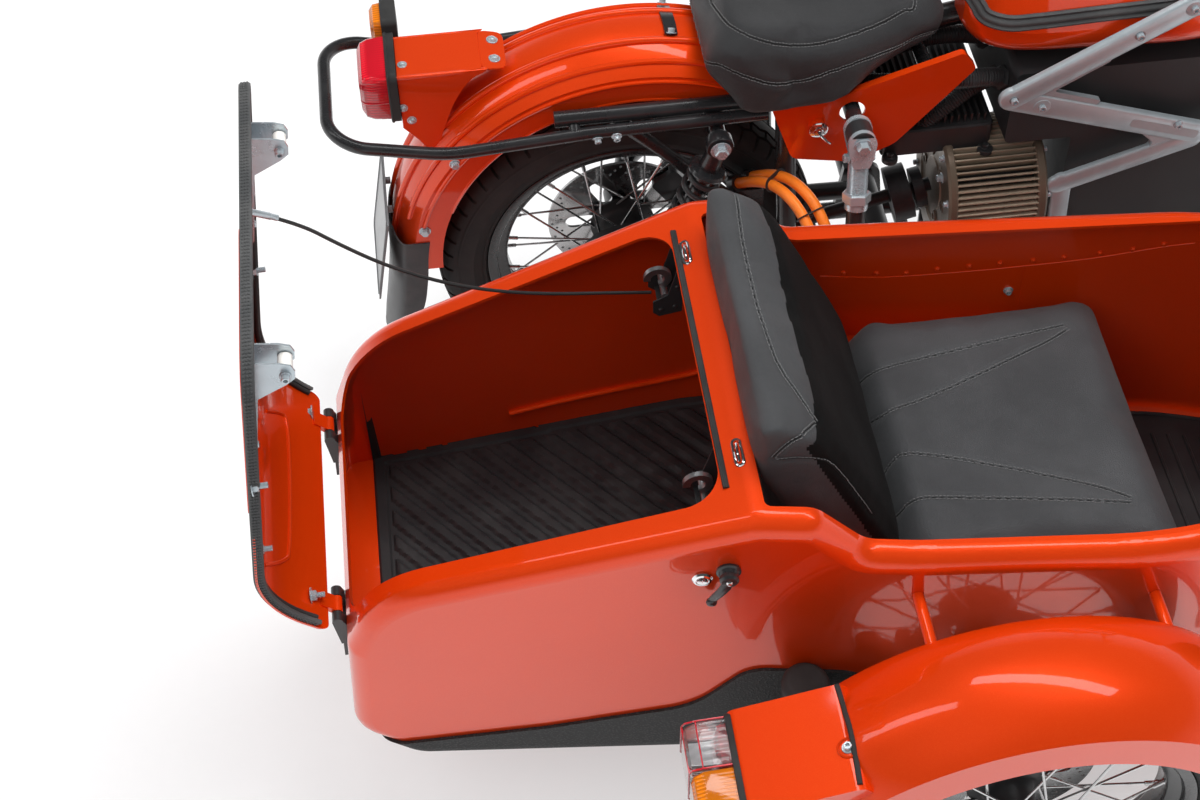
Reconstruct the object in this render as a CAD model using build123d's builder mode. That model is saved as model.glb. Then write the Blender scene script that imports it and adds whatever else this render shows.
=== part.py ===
from build123d import *

import math
import os

os.makedirs("parts", exist_ok=True)

# Millimetres. The row frame has +X forward, +Y to the rider's left and +Z up, with its origin on
# the ground under the middle of the whole vehicle. Every place below is given from the rear axle
# (x), the motorcycle's middle plane (y) and the ground (z), and at() turns it into the row frame.

# Where the rear axle and the motorcycle's middle plane lie in the row frame
REAR_AXLE_X = -636.5
BIKE_Y = 414.0

# Running gear
WHEELBASE = 1500.0
TRACK = 1140.0
SIDECAR_LEAD = 381.0
TYRE_R = 325.0
TYRE_W = 108.0
BEAD_R = 228.0
RIM_R = 240.0
RIM_W = 76.0
RIM_WELL_R = 205.0
RIM_WALL = 4.0
HUB_HALF = 48.0
HUB_R = 36.0
HUB_FLANGE_R = 56.0
HUB_FLANGE_Y = 36.0
HUB_FLANGE_T = 6.0
AXLE_R = 10.0
RUNNING_FIT = 0.05
SEAT_GAP = 0.3
SPOKE_W = 4.4
SPOKES_A_SET = 9
SPOKE_LACE = 40.0
DISC_T = 5.0
REAR_DISC_R = 128.0
FRONT_DISC_R = 147.0
SIDECAR_DISC_R = 128.0
DISC_RING = 30.0
DISC_WEB = 8.0
DISC_WINDOWS = 6
DISC_WINDOW_W = 26.0
CALIPER_GAP = 5.0
CALIPER_CHEEK = 10.0
FRONT_CALIPER_AT = 122.0

# Steering: a raked head with a leading-link fork
RAKE = 27.0
TRAIL = 50.0
STEM_R = 15.0
HEAD_R = 28.0
HEAD_LOW = 822.0
HEAD_HIGH = 1024.0
CLAMP_T = 24.0
LEG_R = 19.0
LEG_Y = 95.0
LEG_AHEAD = 22.0
FORK_EYE_AHEAD = 52.0
FORK_EYE_H = 652.0
LINK_PIVOT_BACK = 12.0
LINK_PIVOT_H = 262.0
LINK_Y = 67.0
LINK_T = 14.0
FRONT_FENDER_R = 385.0
FRONT_FENDER_HALF = 66.0
BAR_R = 11.0
GRIP_R = 17.0
GRIP_L = 120.0
BAR_HALF = 405.0
BAR_Z = 1045.0
HEADLAMP_R = 85.0
HEADLAMP_Z = 830.0
MIRROR_Z = 1225.0
MIRROR_R = 52.0

# Frame of the motorcycle
FRAME_R = 16.0
BACKBONE_R = 19.0
DOWN_TUBE_X = 1070.0
FRAME_HALF = 118.0
RAIL_Z = 215.0
SEAT_TUBE_X = 240.0
SUBFRAME_Z = 698.0
SUBFRAME_HALF = 100.0
SUBFRAME_R = 13.0
PIVOT_X = 440.0
PIVOT_Z = 300.0
PEG_X = 432.0
PEG_Z = 248.0
PEG_R = 14.0

# Drive and battery
MOTOR_Y = -80.0
MOTOR_Z = 462.0
MOTOR_R = 108.0
MOTOR_BACK = 505.0
MOTOR_FRONT = 668.0
MOTOR_FINS = 36
FINAL_DRIVE_Y = -98.0
FINAL_DRIVE_R = 98.0
PACK_HALF = 138.0
PACK_TOP = 735.0
PACK_LOW = RAIL_Z + FRAME_R + SEAT_GAP
TRUSS_Y = 165.0
TRUSS_T = 10.0
TRUSS_W = 24.0

# Tank, saddle, side covers, rear fender and rail
TANK_REAR = 512.0
TANK_FRONT = 1035.0
TANK_LOW = 765.0
TANK_HIGH = 958.0
TANK_HALF = 152.0
TANK_TUNNEL_HALF = 32.0
SADDLE_REAR = 84.0
SADDLE_FRONT = 532.0
SADDLE_HALF = 160.0
COVER_Y = 132.0
COVER_T = 4.0
KEY_X = 286.0
KEY_Z = 668.0
KEY_R = 13.0
FENDER_X = 10.0
FENDER_Z = 385.0
FENDER_R = 405.0
FENDER_HALF = 85.0
FENDER_SKIRT_R = 325.0
SHEET = 4.0
RAIL_R = 10.0
RAIL_Y = 124.0
SHOCK_R = 30.0
SHOCK_PIN_R = 12.0
SHOCK_Y = 150.0
SHOCK_TOP_X = 130.0
SHOCK_TOP_Z = 664.0

# Sidecar
BODY_SKIN = 5.0
BODY_LOW = 232.0
BODY_SHOULDER = 28.0
RIM_REAR_X = -492.0
RIM_REAR_Z = 507.0
BACK_X = -448.0
BACK_Z = 626.0
BACK_R = 150.0
DECK_X = 45.0
DECK_Z = 778.0
COCKPIT_Z = 712.0
TRUNK_FLOOR_Z = 322.0
BENCH_Z = 450.0
FAR_WALL_SLOPE = 40.0 / 550.0
CHASSIS_R = 21.0
CHASSIS_Z = 205.0
CHASSIS_NEAR_Y = -350.0
CHASSIS_FAR_Y = -880.0
CHASSIS_REAR = -250.0
CHASSIS_FRONT = 1130.0
STRUT_X = 340.0
STRUT_Y = -190.0
STRUT_Z = 688.0
STRUT_R = 15.0
PIVOT_ARM_X = 95.0
TOWER_X = 112.0
TOWER_Y = -1000.0
TOWER_Z = 455.0
SIDE_FENDER_R = 376.0
SIDE_FENDER_IN = -1060.0
SIDE_FENDER_OUT = -1238.0
SIDE_FENDER_CROWN = 30.0
SIDE_FENDER_LIP = 338.0
SIDE_FENDER_VALANCE = 290.0

# Tail lamp
LAMP_X = -352.0
LAMP_Z = 732.0

# Trunk lid: open in the rest pose
TRUNK_MOUTH = 572.0
LID_START = 13.0
LID_LIFT = 11.0
SEAL_T = 5.0
RECESS_DEPTH = 8.0
ROLLER_V = -30.0
CABLE_R = 9.0
STAY_R = 2.5
HINGE_X = -503.0
HINGE_Z = 513.0
HINGE_PIN_R = 4.0
HINGE_PLACES = (-815.0, -500.0)
KNUCKLE_R = 7.5
LID_LENGTH = 598.0
LID_OPEN = 92.4
LID_SKIN = 3.0


def at(x, y, z):
    """A place given from the rear axle, the motorcycle's middle plane and the ground."""
    return Vector(REAR_AXLE_X + x, BIKE_Y + y, z)


def upright(y):
    """Lengthwise upright plane: its own x runs forward, its own y up, its normal to the right."""
    return Plane(origin=at(0, y, 0), x_dir=(1, 0, 0), z_dir=(0, -1, 0))


def level(z):
    """Level plane: its own x runs forward, its own y to the left, its normal up."""
    return Plane(origin=at(0, 0, z), x_dir=(1, 0, 0), z_dir=(0, 0, 1))


def across(x):
    """Crosswise upright plane: its own x runs to the left, its own y up, its normal forward."""
    return Plane(origin=at(x, 0, 0), x_dir=(0, 1, 0), z_dir=(1, 0, 0))


def steered(forward, left, height):
    """A place given square to the steering axis, sideways, and along the axis from the ground."""
    return STEERING.from_local_coords(Vector(forward, left, height))


def rod(points, radius, bend=0.0, mode=Mode.ADD):
    """Adds a round bar or tube that runs straight between points and is bent at each corner."""
    with BuildLine() as path:
        if len(points) == 2:
            Line(*points)
        else:
            FilletPolyline(*points, radius=bend)
    with BuildSketch(Plane(origin=path.line @ 0, z_dir=path.line % 0)) as section:
        Circle(radius)
    sweep(sections=section.sketch, path=path.line, mode=mode)


def barrel(centre, radius, left, right, mode=Mode.ADD):
    """Adds a round boss on a crosswise axis through centre, from left to right along Y."""
    with BuildSketch(Plane(origin=centre, z_dir=(0, 1, 0)).offset(right)) as section:
        Circle(radius)
    extrude(to_extrude=section.sketch, amount=left - right, mode=mode)


STEERING = Plane(
    origin=at(WHEELBASE + TRAIL, 0, 0),
    x_dir=(math.cos(math.radians(RAKE)), 0, math.sin(math.radians(RAKE))),
    z_dir=(-math.sin(math.radians(RAKE)), 0, math.cos(math.radians(RAKE))),
)
MIDDLE = upright(0)

# Orange power cables: hand-chosen places along the front one, and how far each is set from it
CABLE_ROUTE = (
    (200, -86, 524),
    (220, -114, 555),
    (248, -148, 572),
    (272, -190, 568),
    (288, -229, 547),
    (298, -260, 511),
    (306, -289, 473),
    (312, -324, 449),
    (319, -364, 442),
)
CABLE_SHIFTS = ((0, 0, 0), (-24, -6, -6))

# Wheels: name, axle x, middle plane y, disc radius
WHEELS = (
    ("rear", 0.0, 0.0, REAR_DISC_R),
    ("front", WHEELBASE, 0.0, FRONT_DISC_R),
    ("sidecar", SIDECAR_LEAD, -TRACK, SIDECAR_DISC_R),
)

for place, axle_x, wheel_y, disc_r in WHEELS:
    centre = at(axle_x, wheel_y, TYRE_R)
    radial = Plane(origin=centre, x_dir=(0, 1, 0), z_dir=(1, 0, 0))
    axle_line = Axis(centre, (0, 1, 0))

    # Tyre: bead, side wall, shoulder and a rounded crown
    with BuildPart() as tyre:
        with BuildSketch(radial) as section:
            with BuildLine():
                bead = RIM_W / 2 - RIM_WALL - SEAT_GAP - 0.5
                Line((-bead, BEAD_R), (bead, BEAD_R))
                Line((bead, BEAD_R), (bead, RIM_R + 2))
                wall = ThreePointArc((bead, RIM_R + 2), (TYRE_W / 2, 277), (TYRE_W / 2 - 10, 311))
                ThreePointArc(wall @ 1, (0, TYRE_R), (10 - TYRE_W / 2, 311))
                ThreePointArc((10 - TYRE_W / 2, 311), (-TYRE_W / 2, 277), (-bead, RIM_R + 2))
                Line((-bead, RIM_R + 2), (-bead, BEAD_R))
            make_face()
        revolve(axis=axle_line)
    tyre.part.label = f"{place}_tyre"
    export_step(tyre.part, f"parts/{place}_tyre.step")

    # Laced wire wheel: rolled rim, flanged hub and crossed spokes in four sets
    with BuildPart() as wheel:
        half = RIM_W / 2
        seat = BEAD_R - SEAT_GAP
        with BuildSketch(radial) as rim_section:
            with BuildLine():
                Polyline(
                    (-half, RIM_R),
                    (-half + RIM_WALL, RIM_R),
                    (-half + RIM_WALL, seat),
                    (-22, seat),
                    (-15, RIM_WELL_R + RIM_WALL),
                    (15, RIM_WELL_R + RIM_WALL),
                    (22, seat),
                    (half - RIM_WALL, seat),
                    (half - RIM_WALL, RIM_R),
                    (half, RIM_R),
                    (half, seat - RIM_WALL),
                    (25, seat - RIM_WALL),
                    (18, RIM_WELL_R),
                    (-18, RIM_WELL_R),
                    (-25, seat - RIM_WALL),
                    (-half, seat - RIM_WALL),
                    close=True,
                )
            make_face()
        revolve(axis=axle_line)
        with BuildSketch(radial) as hub_section:
            with BuildLine():
                bore = AXLE_R + RUNNING_FIT
                in_y = HUB_FLANGE_Y - HUB_FLANGE_T / 2
                out_y = HUB_FLANGE_Y + HUB_FLANGE_T / 2
                Polyline(
                    (-HUB_HALF, bore),
                    (-HUB_HALF, HUB_R),
                    (-out_y, HUB_R),
                    (-out_y, HUB_FLANGE_R),
                    (-in_y, HUB_FLANGE_R),
                    (-in_y, HUB_R),
                    (in_y, HUB_R),
                    (in_y, HUB_FLANGE_R),
                    (out_y, HUB_FLANGE_R),
                    (out_y, HUB_R),
                    (HUB_HALF, HUB_R),
                    (HUB_HALF, bore),
                    close=True,
                )
            make_face()
        revolve(axis=axle_line)
        spoke_planes = []
        for flange in (1, -1):
            for lean in (1, -1):
                for spoke in range(SPOKES_A_SET):
                    pitch = 360 / SPOKES_A_SET
                    turn = spoke * pitch + (0 if lean > 0 else pitch / 2) + (0 if flange > 0 else pitch / 4)
                    foot = math.radians(turn)
                    nipple = math.radians(turn + lean * SPOKE_LACE)
                    start = centre + Vector(
                        (HUB_FLANGE_R - 6) * math.cos(foot),
                        flange * HUB_FLANGE_Y,
                        (HUB_FLANGE_R - 6) * math.sin(foot),
                    )
                    end = centre + Vector(
                        (RIM_WELL_R + 2) * math.cos(nipple),
                        flange * 8,
                        (RIM_WELL_R + 2) * math.sin(nipple),
                    )
                    spoke_planes.append(Plane(origin=start, z_dir=end - start))
        with BuildSketch(*spoke_planes):
            Rectangle(SPOKE_W, SPOKE_W)
        extrude(amount=(end - start).length)
        # Brake disc on the hub's left end, with open windows between hub and friction ring
        with BuildSketch(Plane(origin=centre, z_dir=(0, 1, 0)).offset(HUB_HALF)):
            Circle(disc_r)
            Circle(AXLE_R + 14, mode=Mode.SUBTRACT)
            window_in = HUB_R + DISC_WEB
            window_out = disc_r - DISC_RING
            with PolarLocations((window_in + window_out) / 2, DISC_WINDOWS):
                SlotOverall(window_out - window_in, DISC_WINDOW_W, mode=Mode.SUBTRACT)
        extrude(amount=DISC_T)
    wheel.part.label = f"{place}_wheel"
    export_step(wheel.part, f"parts/{place}_wheel.step")

# Where the backbone's cross pins carry the tank: x and z
TANK_SEATS = ((600, 767), (950, 787))

# Frame: raked head, backbone, twin cradle loops, saddle rails and their cross bars
backbone = [steered(0, 0, HEAD_LOW + 70), at(640, 0, 775), at(SEAT_TUBE_X, 0, SUBFRAME_Z)]
with BuildPart() as bike_frame:
    rod([steered(0, 0, HEAD_LOW), steered(0, 0, HEAD_HIGH)], HEAD_R)
    rod(backbone, BACKBONE_R, 200)
    for side in (1, -1):
        rod(
            [
                steered(0, side * 12, HEAD_LOW + 70),
                at(DOWN_TUBE_X - 2, side * FRAME_HALF, 600),
                at(DOWN_TUBE_X, side * FRAME_HALF, RAIL_Z),
                at(345, side * FRAME_HALF, RAIL_Z),
                at(262, side * FRAME_HALF, 300),
                at(SEAT_TUBE_X, side * SUBFRAME_HALF, SUBFRAME_Z),
            ],
            FRAME_R,
            [80, 90, 70, 90],
        )
        rod([at(480, side * SUBFRAME_HALF, SUBFRAME_Z + 4), at(-120, side * SUBFRAME_HALF, SUBFRAME_Z + 4)], SUBFRAME_R)
        for boss_x in (300, 462):
            barrel(at(boss_x, 0, SUBFRAME_Z), 8, side * SUBFRAME_HALF, side * (COVER_Y - COVER_T - SEAT_GAP))
        rod([at(-30, side * SUBFRAME_HALF, SUBFRAME_Z), at(258, side * 112, 400)], 11)
        barrel(at(SHOCK_TOP_X, 0, SHOCK_TOP_Z), 14, side * (SHOCK_Y + 12), side * SUBFRAME_HALF)
        with BuildSketch(upright(side * FRAME_HALF + 6)):
            with BuildLine():
                FilletPolyline(
                    (395, RAIL_Z),
                    (485, RAIL_Z),
                    (472, PIVOT_Z + 24),
                    (408, PIVOT_Z + 24),
                    radius=[0, 20, 20, 0],
                    close=True,
                )
            make_face()
        extrude(amount=12)
        peg_root = at(PEG_X, side * FRAME_HALF, RAIL_Z - 16)
        peg_in = at(PEG_X, side * 170, PEG_Z)
        peg_out = at(PEG_X, side * 262, PEG_Z + 4)
        rod([peg_root, peg_in], 9)
        rod([peg_in, peg_out], PEG_R)
    rod([at(SEAT_TUBE_X, SUBFRAME_HALF, SUBFRAME_Z), at(SEAT_TUBE_X, -SUBFRAME_HALF, SUBFRAME_Z)], 14)
    rod([at(470, SUBFRAME_HALF, SUBFRAME_Z + 4), at(470, -SUBFRAME_HALF, SUBFRAME_Z + 4)], 12)
    barrel(at(STRUT_X, 0, STRUT_Z), 13, -SUBFRAME_HALF, STRUT_Y + 17 + SEAT_GAP)
    rod([at(345, FRAME_HALF, RAIL_Z), at(345, -FRAME_HALF, RAIL_Z)], 14)
    for seat_x, seat_z in TANK_SEATS:
        barrel(at(seat_x, 0, seat_z), 8, TANK_TUNNEL_HALF - SEAT_GAP, SEAT_GAP - TANK_TUNNEL_HALF)
    for foot_x in (MOTOR_BACK + 8, MOTOR_FRONT - 8):
        rod([at(foot_x, FRAME_HALF, RAIL_Z), at(foot_x, -FRAME_HALF, RAIL_Z)], 12)
        for foot_y in (MOTOR_Y - 38, MOTOR_Y + 38):
            foot_top = MOTOR_Z - math.sqrt(MOTOR_R**2 - 29**2) - SEAT_GAP
            rod([at(foot_x, foot_y, RAIL_Z), at(foot_x, foot_y, foot_top)], 9)
    with BuildSketch(upright(-62)) as cable_box:
        with BuildLine():
            FilletPolyline((170, 466), (216, 466), (216, 508), (160, 508), radius=6, close=True)
        make_face()
    extrude(to_extrude=cable_box.sketch, amount=38)
    for shift_x, shift_y, shift_z in CABLE_SHIFTS:
        gland = [Vector(*place) + Vector(shift_x, shift_y, shift_z) for place in CABLE_ROUTE[:2]]
        start = at(*gland[0])
        out = (at(*gland[1]) - start).normalized()
        rod([start - out * 16, start], CABLE_R + 5)
    rod([at(DOWN_TUBE_X - 60, FRAME_HALF, RAIL_Z), at(DOWN_TUBE_X - 60, -FRAME_HALF, RAIL_Z)], 14)
    rod([steered(0, 0, HEAD_LOW - 20), steered(0, 0, HEAD_HIGH + 20)], STEM_R + RUNNING_FIT, mode=Mode.SUBTRACT)
bike_frame.part.label = "bike_frame"
export_step(bike_frame.part, "parts/bike_frame.step")

# Steering: fork legs, clamps and stem turn together; links carry the axle ahead of the legs
axle_forward = STEERING.to_local_coords(at(WHEELBASE, 0, TYRE_R)).X
axle_height = STEERING.to_local_coords(at(WHEELBASE, 0, TYRE_R)).Z
with BuildPart() as fork:
    clamp_low = HEAD_LOW - 2 - CLAMP_T
    clamp_high = HEAD_HIGH + 2
    for height in (clamp_low, clamp_high):
        with BuildSketch(STEERING.offset(height)):
            with Locations((LEG_AHEAD, 0)):
                SlotCenterToCenter(2 * LEG_Y, 48, rotation=90)
            Circle(32)
        extrude(amount=CLAMP_T)
    rod([steered(0, 0, clamp_low + 2), steered(0, 0, clamp_high + 2)], STEM_R)
    for side in (1, -1):
        leg_y = side * LEG_Y
        rod([steered(LEG_AHEAD, leg_y, clamp_high + CLAMP_T + 6), steered(-LINK_PIVOT_BACK, leg_y, LINK_PIVOT_H)], LEG_R)
        inner = LINK_Y + LINK_T / 2 + SEAT_GAP
        barrel(steered(-LINK_PIVOT_BACK, 0, LINK_PIVOT_H), 21, max(side * inner, side * 116), min(side * inner, side * 116))
        rod([steered(5, side * (LEG_Y + 17), 664), steered(FORK_EYE_AHEAD, side * (LEG_Y + 23), FORK_EYE_H)], 6.5)
        barrel(steered(FORK_EYE_AHEAD, leg_y, FORK_EYE_H), 11, side * 28 if side > 0 else 14, -14 if side > 0 else -28)
        with BuildSketch(upright(leg_y + 3)):
            with BuildLine():
                ear = [steered(LEG_AHEAD, 0, height) for height in (885, 975)]
                low_x, low_z = ear[0].X - REAR_AXLE_X, ear[0].Z
                high_x, high_z = ear[1].X - REAR_AXLE_X, ear[1].Z
                Polyline(
                    (low_x, low_z),
                    (low_x + 125, HEADLAMP_Z - 22),
                    (low_x + 125, HEADLAMP_Z + 22),
                    (high_x, high_z),
                    close=True,
                )
            make_face()
        extrude(amount=6)
        barrel(at(low_x + 115, 0, HEADLAMP_Z), 9, *sorted((side * 93, side * (HEADLAMP_R + SEAT_GAP)), reverse=True))
fork.part.label = "fork"
export_step(fork.part, "parts/fork.step")

# Leading links with the front axle across them
with BuildPart() as leading_links:
    axle_end = LINK_Y + LINK_T / 2 + 8
    barrel(at(WHEELBASE, 0, TYRE_R), AXLE_R, axle_end, -axle_end)
    for side in (1, -1):
        with BuildSketch(upright(side * LINK_Y + LINK_T / 2)):
            with BuildLine() as link_line:
                pivot = steered(-LINK_PIVOT_BACK, 0, LINK_PIVOT_H)
                Line((pivot.X - REAR_AXLE_X, pivot.Z), (WHEELBASE, TYRE_R))
            SlotCenterPoint(
                link_line.line @ 0.5, link_line.line @ 1, 42
            )
        extrude(amount=LINK_T)
        shock_eye = steered(axle_forward - 22, 0, axle_height + 12)
        outer = side * (LEG_Y + 15)
        inner = side * (LINK_Y + LINK_T / 2)
        barrel(shock_eye, 12, max(outer, inner), min(outer, inner))
    caliper_turn = math.radians(FRONT_CALIPER_AT)
    caliper_foot = Vector(math.cos(caliper_turn), 0, math.sin(caliper_turn)) * (FRONT_DISC_R - 40 - SEAT_GAP)
    rod([at(WHEELBASE, LINK_Y - 2, TYRE_R), at(WHEELBASE, LINK_Y - 2, TYRE_R) + caliper_foot], 5)
leading_links.part.label = "leading_links"
export_step(leading_links.part, "parts/leading_links.step")

# Coil-over dampers: name, lower eye, upper eye, body radius, coils
front_low = [steered(axle_forward - 22, side * LEG_Y, axle_height + 12) for side in (1, -1)]
front_high = [steered(FORK_EYE_AHEAD, side * LEG_Y, FORK_EYE_H) for side in (1, -1)]
rear_low = [at(22, side * SHOCK_Y, 352) for side in (1, -1)]
rear_high = [at(SHOCK_TOP_X, side * SHOCK_Y, SHOCK_TOP_Z) for side in (1, -1)]
DAMPERS = (
    ("front_shocks", front_low, front_high, 23, 12, 12.3, 11.3, 8),
    ("rear_shocks", rear_low, rear_high, SHOCK_R, 15, 12.3, 14.3, 8),
    ("sidecar_shock", [at(302, -1030, 312)], [at(200, -1030, 432)], 24, 12, 12.3, 12.3, 5),
)
for name, lows, highs, coil_r, rod_r, low_bore, high_bore, coils in DAMPERS:
    with BuildPart() as damper:
        for low, high in zip(lows, highs):
            length = (high - low).length
            stand = Plane(origin=low, x_dir=(0, 1, 0), z_dir=high - low)
            profile = Plane(origin=low, x_dir=stand.x_dir, z_dir=stand.y_dir)
            with BuildSketch(profile) as section:
                with BuildLine():
                    first, last = length * 0.2, length * 0.8
                    pitch = (last - first) / coils
                    edge = [(0, low_bore + 1), (rod_r, low_bore + 1), (rod_r, first)]
                    for coil in range(coils):
                        edge.append((coil_r, first + (coil + 0.25) * pitch))
                        edge.append((coil_r, first + (coil + 0.5) * pitch))
                        edge.append((coil_r - 7, first + (coil + 0.9) * pitch))
                    edge += [(rod_r, last), (rod_r, length - high_bore - 1), (0, length - high_bore - 1)]
                    Polyline([(x, -y) for x, y in edge], close=True)
                make_face()
            revolve(axis=Axis(low, high - low))
            for eye, bore_r in ((low, low_bore), (high, high_bore)):
                barrel(eye, bore_r + 7, 11, -11)
                barrel(eye, bore_r, 11, -11, mode=Mode.SUBTRACT)
    damper.part.label = name
    export_step(damper.part, f"parts/{name}.step")

# Front fender on the fork: crowned strip over the wheel with turned-down sides and side stays
with BuildPart() as front_fender:
    hub_centre = at(WHEELBASE, 0, TYRE_R)
    start = Plane(origin=hub_centre, x_dir=(0, 1, 0), z_dir=(1, 0, 0))
    with BuildSketch(start) as section:
        for inset in (0, SHEET):
            half, crown = FRONT_FENDER_HALF - inset, FRONT_FENDER_R - inset
            with BuildLine():
                Line((-half, crown - 62), (-half, crown - 22))
                ThreePointArc((-half, crown - 22), (0, crown), (half, crown - 22))
                Line((half, crown - 22), (half, crown - 62))
                Line((half, crown - 62), (-half, crown - 62))
            make_face(mode=Mode.ADD if inset == 0 else Mode.SUBTRACT)
    revolve(section.sketch.rotate(Axis(hub_centre, (0, 1, 0)), 74), Axis(hub_centre, (0, 1, 0)), -158)
    for side in (1, -1):
        stay_y = side * (FRONT_FENDER_HALF - 0.5)
        rod([steered(axle_forward + 6, stay_y, 645), steered(1, stay_y, 585)], 5)
        rod([steered(1, stay_y, 585), steered(1, side * LEG_Y, 585)], 5)
        leg_low = steered(-LINK_PIVOT_BACK, side * LEG_Y, LINK_PIVOT_H)
        rod([steered(LEG_AHEAD, side * LEG_Y, HEAD_HIGH + 2), leg_low], LEG_R + SEAT_GAP, mode=Mode.SUBTRACT)
front_fender.part.label = "front_fender"
export_step(front_fender.part, "parts/front_fender.step")

# Handlebar on two risers, grips, round headlamp shell, its lens, dial and mirrors
bar_centre = steered(4, 0, 1092)
bar_x, bar_z = bar_centre.X - REAR_AXLE_X, bar_centre.Z
with BuildPart() as handlebar:
    bar_points = [
        at(bar_x - 118, BAR_HALF - 6, BAR_Z - 12),
        at(bar_x - 40, 215, BAR_Z),
        at(bar_x, 92, bar_z),
        at(bar_x, -92, bar_z),
        at(bar_x - 40, -215, BAR_Z),
        at(bar_x - 118, 6 - BAR_HALF, BAR_Z - 12),
    ]
    rod(bar_points, BAR_R, [60, 60, 60, 60])
    for side in (1, -1):
        rod([steered(4, side * 48, HEAD_HIGH + 2 + CLAMP_T), steered(4, side * 48, 1086)], 15)
handlebar.part.label = "handlebar"
export_step(handlebar.part, "parts/handlebar.step")

# Grips, and ahead of each a lever on its clamped perch
with BuildPart() as bar_controls:
    for inner, outer in ((bar_points[1], bar_points[0]), (bar_points[4], bar_points[5])):
        run = (outer - inner).normalized()
        with BuildSketch(Plane(origin=outer + run * 4, z_dir=-run)) as section:
            Circle(GRIP_R)
        extrude(to_extrude=section.sketch, amount=GRIP_L)
        with BuildSketch(Plane(origin=outer, z_dir=-run)) as bore:
            Circle(BAR_R + SEAT_GAP)
        extrude(to_extrude=bore.sketch, amount=GRIP_L + 20, mode=Mode.SUBTRACT)
        root = outer - run * (GRIP_L + 22)
        with BuildSketch(Plane(origin=root, z_dir=run)) as section:
            Circle(BAR_R + 8)
            Circle(BAR_R + SEAT_GAP, mode=Mode.SUBTRACT)
        extrude(to_extrude=section.sketch, amount=18)
        tip = outer + Vector(30, 0, -8)
        rod([root + run * 9 + Vector(BAR_R + 5, 0, 0), root + run * 14 + Vector(62, 0, -3), tip], 5, 12)
bar_controls.part.label = "bar_controls"
export_step(bar_controls.part, "parts/bar_controls.step")

lamp_x = steered(LEG_AHEAD, 0, 930).X - REAR_AXLE_X + 120
with BuildPart() as headlamp:
    with BuildSketch(MIDDLE) as section:
        with BuildLine():
            Line((lamp_x - 78, HEADLAMP_Z), (lamp_x + 62, HEADLAMP_Z))
            Line((lamp_x + 62, HEADLAMP_Z), (lamp_x + 62, HEADLAMP_Z + HEADLAMP_R))
            Line((lamp_x + 62, HEADLAMP_Z + HEADLAMP_R), (lamp_x, HEADLAMP_Z + HEADLAMP_R))
            TangentArc((lamp_x - 78, HEADLAMP_Z), (lamp_x, HEADLAMP_Z + HEADLAMP_R), tangent=(0, 1))
        make_face()
    revolve(axis=Axis(at(0, 0, HEADLAMP_Z), (1, 0, 0)))
    fillet(headlamp.edges().sort_by(Axis.X)[-1], 8)
headlamp.part.label = "headlamp"
export_step(headlamp.part, "parts/headlamp.step")

with BuildPart() as headlamp_lens:
    with BuildSketch(MIDDLE) as section:
        with BuildLine():
            face_x = lamp_x + 62 + SEAT_GAP
            Line((face_x, HEADLAMP_Z), (face_x, HEADLAMP_Z + HEADLAMP_R - 9))
            TangentArc((face_x + 19, HEADLAMP_Z), (face_x, HEADLAMP_Z + HEADLAMP_R - 9), tangent=(0, 1))
            Line((face_x + 19, HEADLAMP_Z), (face_x, HEADLAMP_Z))
        make_face()
    revolve(axis=Axis(at(0, 0, HEADLAMP_Z), (1, 0, 0)))
headlamp_lens.part.label = "headlamp_lens"
export_step(headlamp_lens.part, "parts/headlamp_lens.step")

# Round dial in a cup on the upper clamp
with BuildPart() as dial:
    dial_plane = Plane(origin=steered(64, 0, 1062), x_dir=(0, 1, 0), z_dir=STEERING.z_dir)
    with BuildSketch(dial_plane):
        Circle(40)
    extrude(amount=44, taper=-4)
    fillet(dial.edges().sort_by(Axis.Z)[0], 12)
    with BuildSketch(STEERING.offset(HEAD_HIGH + 2 + CLAMP_T + SEAT_GAP)):
        with Locations((48, 0)):
            Rectangle(30, 34)
    extrude(amount=16)
dial.part.label = "dial"
export_step(dial.part, "parts/dial.step")

with BuildPart() as mirrors:
    for side in (1, -1):
        foot = bar_points[1] if side == 1 else bar_points[4]
        out = bar_points[0] if side == 1 else bar_points[5]
        perch = foot + (out - foot) * 0.18
        head = at(bar_x - 20, side * 330, MIRROR_Z)
        rod([perch + Vector(0, 0, BAR_R + 1), perch + Vector(6, side * 8, 60), head + Vector(4, side * -8, -40)], 5, 25)
        with BuildSketch(Plane(origin=head, x_dir=(0, 1, 0), z_dir=(1, 0, 0))) as section:
            Ellipse(MIRROR_R + 10, MIRROR_R - 8)
        extrude(to_extrude=section.sketch, amount=16)
mirrors.part.label = "mirrors"
export_step(mirrors.part, "parts/mirrors.step")

# Swinging arm with the rear axle: pivot tube, left arm to the axle, right arm to the final drive
with BuildPart() as swingarm:
    pivot_half = FRAME_HALF - 6 - SEAT_GAP
    rod([at(PIVOT_X, pivot_half, PIVOT_Z), at(PIVOT_X, -pivot_half, PIVOT_Z)], 22)
    rod([at(PIVOT_X, 82, PIVOT_Z), at(250, 82, PIVOT_Z + 6), at(0, 92, TYRE_R)], 16, 300)
    drive_end = FINAL_DRIVE_R + SEAT_GAP
    rod([at(PIVOT_X, -84, PIVOT_Z), at(250, -84, PIVOT_Z), at(drive_end, -96, PIVOT_Z + 8)], 15, 200)
    barrel(at(0, 0, TYRE_R), AXLE_R, 112, FINAL_DRIVE_Y - 40)
    barrel(at(0, 0, TYRE_R), 24, 112, 74)
    barrel(at(22, 0, 352), SHOCK_PIN_R, SHOCK_Y + 14, 90)
    rod([at(112, 84, 313), at(98, HUB_HALF + DISC_T / 2 + 17.8 + 7.5, 370)], 7.5)
swingarm.part.label = "swingarm"
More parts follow.
